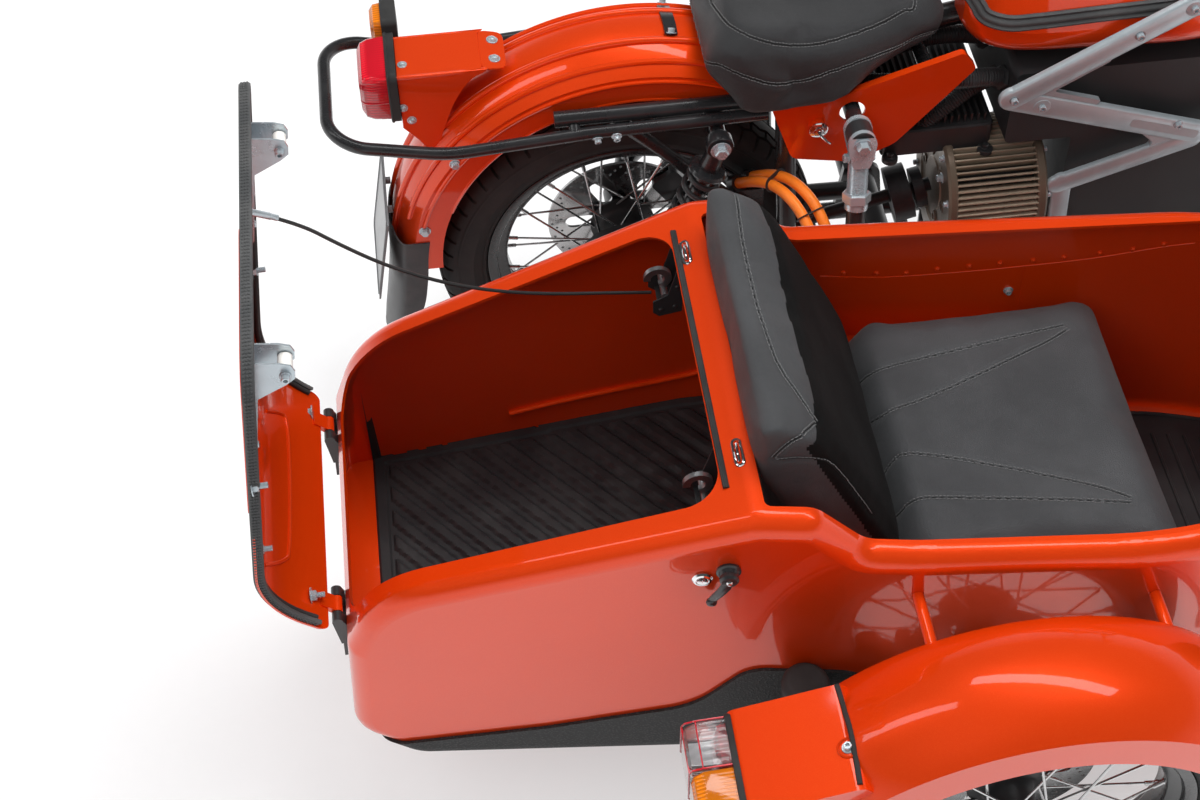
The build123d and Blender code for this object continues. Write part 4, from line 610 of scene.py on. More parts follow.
AMBER_LENS = Lens("amber_lens", (1.0, 0.26, 0.006), 0.08, clear=0.22)
CLEAR_LENS = Lens("clear_lens", (0.93, 0.95, 0.97), 0.03, clear=0.92, flutes=26)
CABLE = CableSkin("orange_cable", (0.86, 0.20, 0.015), 0.42)
STAY = CableSkin("black_stay", (0.018, 0.018, 0.018), 0.40)
STRIP_RUBBER = Rubber("strip_rubber", (0.055, 0.057, 0.058), 0.55, bloom=0.35)
MAT_RUBBER = Rubber("mat_rubber", (0.016, 0.016, 0.017), 0.46, bloom=0.10)
FLAP_RUBBER = Rubber("flap_rubber", (0.050, 0.052, 0.055), 0.45, bloom=0.4)
MIRROR_GLASS = Metal("mirror_glass", (0.90, 0.91, 0.92), 0.04, brush=(3.0, 3.0, 3.0), stain=0.02)
SEAM_FOLD = Rubber("seam_fold", (0.008, 0.008, 0.008), 0.8, bloom=0.05)
THREAD = CableSkin("upholstery_thread", (0.13, 0.13, 0.13), 0.7)

NODE_FINISHES: tuple[tuple[Finish, tuple[str, ...]], ...] = (
    (ORANGE, ("tank", "side_covers", "rear_fender", "lamp_bracket", "sidecar_body", "sidecar_fender")),
    (ORANGE, ("trunk_lid", "front_fender")),
    (BLACK, ("bike_frame", "fork", "leading_links", "grab_rail", "headlamp", "mirrors", "handlebar")),
    (
        SATIN_BLACK,
        ("swingarm", "sidecar_frame", "sidecar_arm", "lid_hinges", "brake_calipers", "front_caliper"),
    ),
    (SATIN_BLACK, ("rear_shocks", "front_shocks", "sidecar_shock")),
    (TYRE, ("rear_tyre", "front_tyre", "sidecar_tyre")),
    (CAST_ALLOY, ("rear_wheel", "front_wheel", "sidecar_wheel")),
    (
        RUBBER,
        ("tower_boot", "mud_flap", "trunk_seal", "lid_seal", "trunk_mat", "cable_glands", "tail_lamp_base"),
    ),
    (KNEE_RUBBER, ("knee_pads",)),
    (SADDLE_VINYL, ("saddle",)),
    (CUSHION_VINYL, ("back_cushion", "seat_cushion")),
    (BRONZE, ("motor",)),
    (DARK_CAST, ("final_drive",)),
    (ALLOY, ("battery_frames",)),
    (PACK, ("battery_pack",)),
    (GUARD, ("sidecar_guard",)),
    (RED_LENS, ("tail_lamp",)),
    (AMBER_LENS, ("rear_indicator", "sidecar_lamp")),
    (CLEAR_LENS, ("headlamp_lens",)),
    (CONTROL, ("bar_controls", "dial")),
    (CABLE, ("power_cable_front", "power_cable_rear")),
    (STAY, ("lid_stay",)),
    (ZINC, ("lid_strikers", "trunk_hardware")),
    (PLATE_GREY, ("number_plate",)),
)


# Tools that make meshes and read surfaces.


def square_to(direction: Vector, hint: Vector = UP) -> tuple[Vector, Vector]:
    """Gives two unit vectors square to a direction and to each other.

    Args:
        direction: The direction to stand square to.
        hint: Where the second vector should point as nearly as it can.

    Returns:
        The side vector and the lift vector.
    """
    along = direction.normalized()
    if abs(along.dot(hint)) > 0.98:
        hint = AHEAD if abs(along.x) < 0.9 else LEFT
    side = along.cross(hint).normalized()
    return side, side.cross(along).normalized()


def smooth_path(points: Sequence[Vector], steps: int = 6, closed: bool = False) -> list[Vector]:
    """Rounds a few chosen points into a smooth line through them.

    Args:
        points: The points to pass.
        steps: Pieces between two points.
        closed: Whether the line comes back to its start.

    Returns:
        The line's points.
    """
    count = len(points)
    line: list[Vector] = []
    for index in range(count if closed else count - 1):
        take = [
            (index + step) % count if closed else min(max(index + step, 0), count - 1)
            for step in (-1, 0, 1, 2)
        ]
        before, start, end, after = (points[number] for number in take)
        for step in range(steps):
            t = step / steps
            line.append(
                0.5
                * (
                    2 * start
                    + (end - before) * t
                    + (2 * before - 5 * start + 4 * end - after) * t**2
                    + (3 * start - before - 3 * end + after) * t**3
                )
            )
    if not closed:
        line.append(points[-1].copy())
    return line


def spaced(line: Sequence[Vector], gap: float) -> list[tuple[Vector, Vector]]:
    """Walks along a line in even steps.

    Args:
        line: The line's points.
        gap: Distance between two steps in metres.

    Returns:
        Each step's place and its direction.
    """
    found: list[tuple[Vector, Vector]] = []
    left = gap / 2
    for start, end in zip(line, line[1:]):
        run = (end - start).length
        if run < 1e-9:
            continue
        while left <= run:
            found.append((start.lerp(end, left / run), (end - start).normalized()))
            left += gap
        left -= run
    return found


def inside(point: Vector, loop: Sequence[Pair]) -> bool:
    """Tells whether a point of a plane lies inside a loop.

    Args:
        point: The point.
        loop: The loop's points.

    Returns:
        True inside the loop.
    """
    within = False
    for (x0, y0), (x1, y1) in zip(loop, [*loop[1:], loop[0]]):
        if (y0 > point.y) != (y1 > point.y) and point.x < x0 + (point.y - y0) * (x1 - x0) / (y1 - y0):
            within = not within
    return within


class Mould:
    """Builds one piece's mesh from lathed, swept and plated parts."""

    def __init__(self) -> None:
        """Starts with an empty mesh."""
        self.mesh = bmesh.new()

    def skin(self, rings: Sequence[Sequence[Vector]], closed: bool = False, capped: bool = True) -> None:
        """Skins rings of equal count, each a closed loop.

        Args:
            rings: The rings' points in order.
            closed: Whether the last ring joins the first.
            capped: Whether the open ends get faces.
        """
        made = [[self.mesh.verts.new(point) for point in ring] for ring in rings]
        pairs = list(zip(made, made[1:])) + ([(made[-1], made[0])] if closed else [])
        for first, second in pairs:
            for index in range(len(first)):
                after = (index + 1) % len(first)
                self.mesh.faces.new((first[index], first[after], second[after], second[index]))
        if capped and not closed:
            self.mesh.faces.new(list(reversed(made[0])))
            self.mesh.faces.new(made[-1])

    def lathe(
        self, centre: Vector, axis: Vector, profile: Sequence[Pair], sides: int = 28, turn: float = 0.0
    ) -> None:
        """Turns a profile round an axis.

        Args:
            centre: Where the profile's heights start.
            axis: The axis' direction.
            profile: Radius and height pairs in millimetres, closed by flat ends.
            sides: Steps round the axis.
            turn: Turn of the first step in degrees.
        """
        side, lift = square_to(axis)
        along = axis.normalized()
        rings = []
        for radius, height in profile:
            ring = []
            for step in range(sides):
                angle = math.tau * step / sides + math.radians(turn)
                out = side * math.cos(angle) + lift * math.sin(angle)
                ring.append(centre + along * height * MM + out * radius * MM)
            rings.append(ring)
        self.skin(rings)

    def hoop(self, centre: Vector, axis: Vector, section: Sequence[Pair], sides: int = 96) -> None:
        """Turns a closed section round an axis, leaving its middle open.

        Args:
            centre: Middle of the hoop.
            axis: The axis' direction.
            section: Radius and height pairs in millimetres.
            sides: Steps round the axis.
        """
        side, lift = square_to(axis)
        along = axis.normalized()
        rings = []
        for step in range(sides):
            angle = math.tau * step / sides
            out = side * math.cos(angle) + lift * math.sin(angle)
            rings.append([centre + along * height * MM + out * radius * MM for radius, height in section])
        self.skin(rings, closed=True)

    def sweep(
        self, path: Sequence[Vector], section: Sequence[Pair], closed: bool = False, up: Vector | None = None
    ) -> None:
        """Sweeps a closed section along a path.

        Args:
            path: The path's points.
            section: Side and lift pairs in millimetres.
            closed: Whether the path comes back to its start.
            up: Direction that the section's lift leans to; without it the section doesn't twist.
        """
        rings = []
        count = len(path)
        lift = None
        for index, point in enumerate(path):
            before = path[index - 1] if closed or index else point
            after = path[(index + 1) % count] if closed or index < count - 1 else point
            along = (after - before).normalized()
            if up is not None:
                side, lift = square_to(along, up)
            elif lift is None:
                side, lift = square_to(along)
            else:
                side = along.cross(lift).normalized()
                lift = side.cross(along).normalized()
            rings.append([point + side * across * MM + lift * high * MM for across, high in section])
        self.skin(rings, closed=closed)

    def rod(self, path: Sequence[Vector], radius: float, sides: int = 10, closed: bool = False) -> None:
        """Sweeps a round section of a radius in millimetres along a path."""
        turns = [math.tau * step / sides for step in range(sides)]
        self.sweep(path, [(radius * math.cos(turn), radius * math.sin(turn)) for turn in turns], closed)

    def slab(self, outline: Sequence[Vector], lift: Vector, bevel: float = 0.0) -> None:
        """Raises a flat outline into a plate.

        Args:
            outline: The outline's points in order.
            lift: Thickness and direction of the plate.
            bevel: Width in millimetres of its broken upper edge.
        """
        centre = sum(outline, Vector()) / len(outline)
        rings = [list(outline)]
        if bevel:
            short = lift * (1 - bevel * MM / lift.length)
            rings.append([point + short for point in outline])
            inner = [point + (centre - point).normalized() * bevel * MM for point in outline]
            rings.append([point + lift for point in inner])
        else:
            rings.append([point + lift for point in outline])
        self.skin(rings)

    def pierced(
        self,
        origin: Vector,
        right: Vector,
        up: Vector,
        outline: Sequence[Pair],
        holes: Sequence[Sequence[Pair]],
        lift: Vector,
    ) -> None:
        """Makes a flat plate with holes through it.

        Args:
            origin: Where the outline's zero lies.
            right: The outline's first direction.
            up: Its second direction.
            outline: Loop of points in millimetres.
            holes: Loops of points in millimetres.
            lift: Thickness and direction of the plate.
        """
        loops = [list(outline)] + [list(hole) for hole in holes]
        flat = [Vector(point) for loop in loops for point in loop]
        edges = []
        base = 0
        for loop in loops:
            edges += [(base + step, base + (step + 1) % len(loop)) for step in range(len(loop))]
            base += len(loop)
        found, _, faces, _, _, _ = geometry.delaunay_2d_cdt(flat, edges, [], 0, 1e-6)
        low = [self.mesh.verts.new(origin + right * point.x * MM + up * point.y * MM) for point in found]
        high = [self.mesh.verts.new(vertex.co + lift) for vertex in low]
        for face in faces:
            middle = sum((found[number] for number in face), Vector((0, 0))) / len(face)
            if inside(middle, loops[0]) and not any(inside(middle, hole) for hole in loops[1:]):
                self.mesh.faces.new([low[number] for number in face])
                self.mesh.faces.new([high[number] for number in reversed(face)])
        for first, second in edges:
            self.mesh.faces.new((low[first], low[second], high[second], high[first]))

    def bolt(
        self, place: Vector, normal: Vector, across: float, head: Head = Head.HEX, washer: float = 0.0
    ) -> None:
        """Adds a fastener's head on its washer.

        Args:
            place: Middle of the bearing face.
            normal: Direction out of the face.
            across: Width of the head in millimetres.
            head: Kind of head.
            washer: Width of the washer in millimetres, none if 0.
        """
        out = normal.normalized()
        base = place
        if washer:
            thick = 1.6
            self.lathe(base, out, [(washer / 2, 0), (washer / 2, thick * 0.8), (washer / 2 - 0.5, thick)], 24)
            base = base + out * thick * MM
        half = across / 2
        if head is Head.HEX:
            self.lathe(
                base, out, [(half * 1.12, 0), (half * 1.12, across * 0.42), (half * 0.92, across * 0.55)], 6
            )
            self.lathe(base, out, [(half * 0.98, 0), (half * 0.98, 0.8)], 24)
        elif head is Head.SOCKET:
            tall = across * 0.6
            rim = [(half, 0), (half, tall * 0.86), (half * 0.86, tall)]
            self.lathe(base, out, [*rim, (half * 0.52, tall), (half * 0.50, tall * 0.45)], 18)
        else:
            dome = [
                (half, 0),
                (half * 0.95, across * 0.14),
                (half * 0.7, across * 0.28),
                (half * 0.3, across * 0.35),
            ]
            self.lathe(base, out, dome, 20)

    def piece(self, name: str, finish: Finish, body: Body = Body.CHASSIS, crease: float = 32.0) -> Thing:
        """Turns the mesh into a dressed piece that rides on a body.

        Args:
            name: The piece's name.
            finish: Its finish.
            body: The body that it rides on.
            crease: Edges sharper than this many degrees stay sharp.

        Returns:
            The piece's object.
        """
        bmesh.ops.remove_doubles(self.mesh, verts=self.mesh.verts, dist=1e-6)
        bmesh.ops.recalc_face_normals(self.mesh, faces=self.mesh.faces)
        data = bpy.data.meshes.new(name)
        self.mesh.to_mesh(data)
        self.mesh.free()
        thing = new_object(name, data)
        data.materials.append(finish.material())
        data.shade_smooth()
        data.set_sharp_from_angle(angle=math.radians(crease))
        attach(thing, body.value)
        LOG.info("%s rides on %s", name, body.value)
        return thing


class Skin:
    """Surface of a dressed piece or CAD node, for laying trim on it."""

    def __init__(self, things: Iterable[Thing]) -> None:
        """Joins the surfaces of some objects into one search tree."""
        points: list[Vector] = []
        faces: list[tuple[int, ...]] = []
        for thing in things:
            base = len(points)
            points.extend(thing.matrix_world @ vertex.co for vertex in thing.data.vertices)
            faces.extend(
                tuple(base + number for number in polygon.vertices) for polygon in thing.data.polygons
            )
        self.tree = BVHTree.FromPolygons(points, faces)

    def drop(self, place: Vector, direction: Vector) -> tuple[Vector, Vector] | None:
        """Shoots from a place and gives the point hit and its normal.

        Args:
            place: Where the ray starts.
            direction: Where it goes.

        Returns:
            The point and the normal facing the ray, or nothing where it misses.
        """
        hit, normal, _, _ = self.tree.ray_cast(place, direction.normalized())
        if hit is None:
            return None
        return hit, normal if normal.dot(direction) < 0 else -normal

    def snap(self, places: Iterable[Vector]) -> list[Vector]:
        """Draws places to the nearest ones on the surface."""
        return [self.tree.find_nearest(place)[0] for place in places]

    def lay(self, places: Iterable[Vector], direction: Vector, lift: float = 0.0) -> list[Vector]:
        """Drops a line of places onto the surface.

        Args:
            places: The places above the surface.
            direction: Where they drop.
            lift: Millimetres that the line stands off the surface.

        Returns:
            The places that hit, on the surface.
        """
        found = []
        for place in places:
            hit = self.drop(place, direction)
            if hit is not None:
                found.append(hit[0] + hit[1] * lift * MM)
        return found


def node_object(name: str) -> Thing:
    """Gives a CAD node's object."""
    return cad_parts[name]


def dress_nodes() -> None:
    """Gives every CAD node its finish."""
    for finish, names in NODE_FINISHES:
        for name in names:
            thing = node_object(name)
            for slot in thing.material_slots:
                slot.link = "OBJECT"
                slot.material = finish.material()


# The white studio.


@dataclass
class Studio:
    """White sweep, soft lamps and the camera at the photograph's place."""

    camera_place: Place = (-0.9190, -1.8568, 2.6916)
    right: Place = (0.99212, -0.12389, -0.01866)
    up: Place = (0.10780, 0.76827, 0.63098)
    lens: float = 57.0
    sensor: float = 36.0
    floor_half: float = 12.0
    floor_drop: float = 0.001
    floor_reach: Pair = (1.6, 4.2)
    floor_glow: Pair = (0.45, 1.0)
    ceiling_rise: Pair = (0.02, 0.42)
    ceiling_dark: float = 0.93
    sky: Colour = (0.93, 0.95, 1.0)
    sky_strength: float = 0.27
    lamp_aim: Place = (0.0, 0.0, 0.5)
    lamps: tuple[tuple[str, Place, float, float, float, bool], ...] = (
        # name, place, width and depth in metres, power in watts, seen in gloss
        ("key_lamp", (-2.6, -2.4, 4.6), 3.2, 3.2, 112.0, False),
        ("top_lamp", (0.6, 0.4, 5.4), 3.0, 3.0, 235.0, False),
        ("fill_lamp", (2.8, -3.4, 2.8), 3.0, 3.0, 22.0, False),
        ("left_lamp", (-0.4, 4.4, 3.0), 3.4, 3.4, 45.0, False),
        ("strip_lamp", (0.6, 0.9, 5.6), 6.0, 0.8, 60.0, True),
        ("edge_lamp", (-3.4, 0.4, 3.6), 0.5, 3.2, 14.0, True),
    )

    def place_camera(self) -> None:
        """Puts the camera where the photograph was taken from."""
        data = bpy.data.cameras.new("camera")
        data.lens = self.lens
        data.sensor_width = self.sensor
        data.sensor_fit = "HORIZONTAL"
        camera = new_object("camera", data)
        right, up = Vector(self.right).normalized(), Vector(self.up).normalized()
        back = right.cross(up).normalized()
        turn = Matrix((right, back.cross(right), back)).transposed().to_4x4()
        camera.matrix_world = Matrix.Translation(Vector(self.camera_place)) @ turn
        bpy.context.scene.camera = camera

    def seen_white(self, nodes: Nodes) -> Socket:
        """Gives a factor that is 1 for the rays that see the backdrop itself."""
        rays = nodes.node("ShaderNodeLightPath").outputs
        first = nodes.reckon("MAXIMUM", rays["Is Camera Ray"], rays["Is Glossy Ray"])
        return nodes.reckon("MAXIMUM", first, rays["Is Transmission Ray"])

    def ceiling(self, nodes: Nodes) -> Socket:
        """Gives the backdrop's strength: 1 for the camera, and for gloss paler up to a dim ceiling."""
        rays = nodes.node("ShaderNodeLightPath").outputs
        parts = nodes.node("ShaderNodeSeparateXYZ")
        nodes.link(nodes.node("ShaderNodeTexCoord").outputs["Generated"], parts.inputs[0])
        fall = nodes.spread(parts.outputs["Z"], self.ceiling_rise, (0.0, self.ceiling_dark))
        dim = nodes.reckon("MULTIPLY", fall, rays["Is Glossy Ray"])
        return nodes.reckon("SUBTRACT", 1.0, dim)

    def paint_world(self) -> None:
        """Makes the surroundings a soft grey light that looks white itself."""
        world = bpy.data.worlds.new("studio_world")
        world.use_nodes = True
        world.node_tree.nodes.clear()
        nodes = Nodes(world.node_tree)
        soft = nodes.node("ShaderNodeBackground")
        soft.inputs["Color"].default_value = (*self.sky, 1.0)
        soft.inputs["Strength"].default_value = self.sky_strength
        white = nodes.node("ShaderNodeBackground")
        white.inputs["Color"].default_value = STUDIO_WHITE
        nodes.link(self.ceiling(nodes), white.inputs["Strength"])
        mix = nodes.node("ShaderNodeMixShader")
        nodes.link(self.seen_white(nodes), mix.inputs[0])
        nodes.link(soft.outputs[0], mix.inputs[1])
        nodes.link(white.outputs[0], mix.inputs[2])
        nodes.link(mix.outputs[0], nodes.node("ShaderNodeOutputWorld").inputs["Surface"])
        bpy.context.scene.world = world

    def lay_floor(self) -> None:
        """Lays the pale floor, which keeps the vehicle's shadow."""
        half, drop = self.floor_half, self.floor_drop
        data = bpy.data.meshes.new("studio_floor")
        corners = [(-half, -half, -drop), (half, -half, -drop), (half, half, -drop), (-half, half, -drop)]
        data.from_pydata(corners, [], [(0, 1, 2, 3)])
        floor = new_object("studio_floor", data)
        recipe = Recipe("studio_floor")
        speck = recipe.noise(40, 3)
        seen = recipe.mix(speck, (0.90, 0.90, 0.90), (0.93, 0.93, 0.93))
        recipe.feed(Base_Color=recipe.mix(self.seen_white(recipe), (0.42, 0.42, 0.42), seen), Roughness=0.7)
        recipe.feed(Specular_IOR_Level=0.1)
        white = recipe.node("ShaderNodeEmission")
        white.inputs["Color"].default_value = STUDIO_WHITE
        white.inputs["Strength"].default_value = 1.0
        mix = recipe.node("ShaderNodeMixShader")
        reach = recipe.node("ShaderNodeVectorMath", operation="LENGTH")
        recipe.link(recipe.place, reach.inputs[0])
        glow = recipe.spread(reach.outputs["Value"], self.floor_reach, self.floor_glow)
        share = recipe.reckon("MULTIPLY", self.seen_white(recipe), glow)
        recipe.link(share, mix.inputs[0])
        recipe.link(recipe.shader.outputs[0], mix.inputs[1])
        recipe.link(white.outputs[0], mix.inputs[2])
        recipe.link(mix.outputs[0], recipe.tree.nodes["Material Output"].inputs["Surface"])
        data.materials.append(recipe.material)

    def hang_lamps(self) -> None:
        """Hangs the soft lamps round the vehicle, each turned to its middle."""
        for name, place, wide, deep, power, in_gloss in self.lamps:
            data = bpy.data.lights.new(name, "AREA")
            data.shape = "RECTANGLE"
            data.size = wide
            data.size_y = deep
            data.energy = power
            lamp = new_object(name, data)
            lamp.location = place
            lamp.visible_glossy = in_gloss
            lamp.rotation_euler = (Vector(self.lamp_aim) - Vector(place)).to_track_quat("-Z", "Y").to_euler()

    def build(self) -> None:
        """Sets up the whole studio."""
        bpy.context.scene.view_settings.view_transform = "Standard"
        self.place_camera()
        self.paint_world()
        self.lay_floor()
        self.hang_lamps()


# The power cables and the lid's stay.


@dataclass
class FreeCord:
    """One free cord that follows listed places; its trim pieces are made elsewhere."""

    name: str
    node: str
    route: tuple[Place, ...]
    diameter: float
    length: float
    finish: Finish
    shift: Place = (0.0, 0.0, 0.0)
    stiffness: str = "stiff"
    lay: str = "hanging"

    def places(self) -> list[Vector]:
        """Gives the route's places in the row frame."""
        return [at(*(place + step for place, step in zip(point, self.shift))) for point in self.route]

    def build(self, with_pieces: Sequence[Thing] = ()) -> Thing:
        """Args:
            with_pieces: Pieces that sit on the cord; not used.

        Returns:
            The cord's object.
        """
        places = self.places()
        data = bpy.data.curves.new(self.name, "CURVE")
        data.dimensions = "3D"
        data.bevel_depth = self.diameter / 2
        data.bevel_resolution = 4
        data.resolution_u = 10
        data.use_fill_caps = True
        spline = data.splines.new("NURBS")
        spline.points.add(len(places) - 1)
        for point, place in zip(spline.points, places):
            point.co = (*place, 1.0)
        spline.order_u = 3
        spline.use_endpoint_u = True
        thing = new_object(self.name, data)
        data.materials.append(self.finish.material())
        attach(thing, Body.CHASSIS.value)
        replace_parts(thing, self.node)
        return thing


POWER_ROUTE: tuple[Place, ...] = (
    (200, -86, 524), (220, -114, 555), (248, -148, 572), (272, -190, 568), (288, -229, 547),
    (298, -260, 511), (306, -289, 473), (312, -324, 449), (319, -364, 442),
)
STAY_ROUTE: tuple[Place, ...] = (
    (-539, -563.5, 1026), (-485, -555, 991), (-436, -547, 934), (-390, -539, 885),
    (-338, -530, 840), (-281, -520, 801), (-220, -509, 769), (-156, -498, 744), (-89, -486, 723),
    (-23.2, -474, 701),
)
POWER_SHIFT: Place = (-24.0, -6.0, -6.0)
CORDS = (
    FreeCord("power_cable_front_skin", "power_cable_front", POWER_ROUTE, 0.018, 0.36, CABLE),
    FreeCord("power_cable_rear_skin", "power_cable_rear", POWER_ROUTE, 0.018, 0.36, CABLE, POWER_SHIFT),
    FreeCord("lid_stay_skin", "lid_stay", STAY_ROUTE, 0.005, 0.62, STAY),
)


# Rays through the photograph's pixels, then tyres and laced wheels.


@dataclass
class Aim:
    """Turns the photograph's pixels into rays, to place trim where the photograph shows it."""

    width: float = 1200.0
    height: float = 800.0
    nearest: float = 1.8
    stride: float = 0.02
    strides: int = 180

    def ray(self, across: float, down: float) -> tuple[Vector, Vector]:
        """Gives the ray through a pixel.

        Args:
            across: Pixels from the photograph's left edge.
            down: Pixels from its top edge.

        Returns:
            The camera's place and the ray's direction.
        """
        studio = Studio()
        right, up = Vector(studio.right).normalized(), Vector(studio.up).normalized()
        ahead = up.cross(right).normalized()
        reach = studio.sensor / 2 / studio.lens / (self.width / 2)
        turn = ahead + right * (across - self.width / 2) * reach + up * (self.height / 2 - down) * reach
        return Vector(studio.camera_place), turn.normalized()

    def spot(self, skin: "Skin", across: float, down: float) -> tuple[Vector, Vector]:
        """Gives the place and normal that a pixel's ray meets on a skin.

        Args:
            skin: The surfaces to meet.
            across: Pixels from the photograph's left edge.
            down: Pixels from its top edge.

        Returns:
            The place and the normal there.
        """
        start, turn = self.ray(across, down)
        hit = skin.drop(start, turn)
        if hit is not None:
            return hit
        reaches = (self.nearest + self.stride * step for step in range(self.strides))
        near = min(
            (skin.tree.find_nearest(start + turn * reach) for reach in reaches), key=lambda found: found[3]
        )
        LOG.info("pixel %s, %s lies %.0f mm beside the surface", across, down, near[3] / MM)
        return near[0], near[1]


def between(value: float, span: Pair) -> bool:
    """Tells whether a value lies inside a span."""
    return span[0] < value < span[1]


@dataclass
class Tyre:
    """Road tyre with zigzag ribs, cut shoulders, wall rings and beads."""

    node: str
    body: Body
    axle: Place
    pitches: int = 58
    crown: float = 325.0
    arc: float = 76.1
    groove: float = 6.0
    zigzag: float = 2.4
    shoulder_cut: Pair = (0.02, 0.16)
    middle_cut: Pair = (0.52, 0.66)
    shoulder_from: float = 31.0
    middle_span: Pair = (16.5, 27.0)
    shallow: float = 0.7
    stations: tuple[float, ...] = (0.0, 0.03, 0.15, 0.18, 0.5, 0.53, 0.65, 0.68)
    ribs: tuple[tuple[float, float, bool], ...] = (
        # distance from the middle, share of the zigzag, whether it lies in a groove
        (5.5, 0.4, False),
        (11.2, 1.0, False),
        (12.0, 1.0, True),
        (16.0, 1.0, True),
        (16.8, 1.0, False),
        (22.0, 0.8, False),
        (26.8, 0.8, False),
        (27.6, 0.8, True),
        (30.4, 0.8, True),
        (31.2, 0.8, False),
        (38.0, 0.0, False),
        (44.0, 0.0, False),
    )
    wall: Rows = (
        # distance from the middle, radius, share of the shoulder's cut
        (46.4, 308.6, 0.8),
        (49.2, 303.5, 0.45),
        (50.6, 300.0, 0.0),
        (52.2, 294.0, 0.0),
        (53.4, 293.2, 0.0),
        (53.6, 290.6, 0.0),
        (53.0, 289.8, 0.0),
        (54.0, 277.0, 0.0),
        (53.0, 267.6, 0.0),
        (53.3, 266.6, 0.0),
        (52.8, 264.6, 0.0),
        (51.8, 264.0, 0.0),
        (48.0, 255.5, 0.0),
        (43.6, 249.6, 0.0),
        (42.4, 248.6, 0.0),
        (41.4, 244.5, 0.0),
        (38.0, 242.0, 0.0),
        (33.2, 241.0, 0.0),
        (33.2, 228.6, 0.0),
    )

    def tread_point(self, side: float, middle: float, share: float, low: bool, turn: float) -> Pair:
        """Gives one point of the tread.

        Args:
            side: 1 on the left half, -1 on the right half, 0 in the middle.
            middle: Distance from the middle plane in millimetres.
            share: Share of the zigzag.
            low: Whether the point lies in a groove along the tyre.
            turn: Place within the pitch, from 0 to 1.

        Returns:
            The distance across and the radius in millimetres.
        """
        phase = (turn + (0.5 if side < 0 else 0.0)) % 1.0
        across = middle + share * self.zigzag * (4.0 * abs(phase - 0.5) - 1.0)
        depth = 0.0
        if low or (middle > self.shoulder_from and between(phase, self.shoulder_cut)):
            depth = self.groove
        elif between(middle, self.middle_span) and between(phase, self.middle_cut):
            depth = self.shallow * self.groove
        radius = self.crown - self.arc + math.sqrt(self.arc**2 - across**2)
        scale = (self.arc - depth) / self.arc
        return side * across * scale, self.crown - self.arc + (radius - self.crown + self.arc) * scale

    def section(self, turn: float) -> list[Pair]:
        """Gives the tyre's section at a place within the pitch.

        Args:
            turn: Place within the pitch, from 0 to 1.

        Returns:
            Distance across and radius of each point, from bead to bead.
        """
        halves = []
        for side in (-1.0, 1.0):
            phase = (turn + (0.5 if side < 0 else 0.0)) % 1.0
            cut = self.shallow * self.groove if between(phase, self.shoulder_cut) else 0.0
            half = [self.tread_point(side, middle, share, low, turn) for middle, share, low in self.ribs]
            half += [
                (side * (across - cut * part), radius - cut * part) for across, radius, part in self.wall
            ]
            halves.append(half)
        return list(reversed(halves[0])) + [(0.0, self.crown)] + halves[1]

    def build(self) -> Thing:
        """Makes the tyre and puts it in its CAD node's place."""
        centre = at(*self.axle)
        steps = self.pitches * len(self.stations)
        sections = [self.section(turn) for turn in self.stations]
        count = len(sections[0])
        points = []
        for step in range(steps):
            pitch, number = divmod(step, len(self.stations))
            angle = math.tau * (pitch + self.stations[number]) / self.pitches
            out = (math.cos(angle), math.sin(angle))
            for across, radius in sections[number]:
                x, z = centre.x + out[0] * radius * MM, centre.z + out[1] * radius * MM
                points.append((x, centre.y + across * MM, z))
        faces = []
        for step in range(steps):
            base, ahead = step * count, (step + 1) % steps * count
            for number in range(count):
                after = (number + 1) % count
                faces.append((base + number, base + after, ahead + after, ahead + number))
        mould = Mould()
        data = bpy.data.meshes.new(self.node)
        data.from_pydata(points, [], faces)
        mould.mesh.from_mesh(data)
        bpy.data.meshes.remove(data)
        thing = mould.piece(f"{self.node}_tread", TYRE, self.body, 28)
        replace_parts(thing, self.node)
        return thing


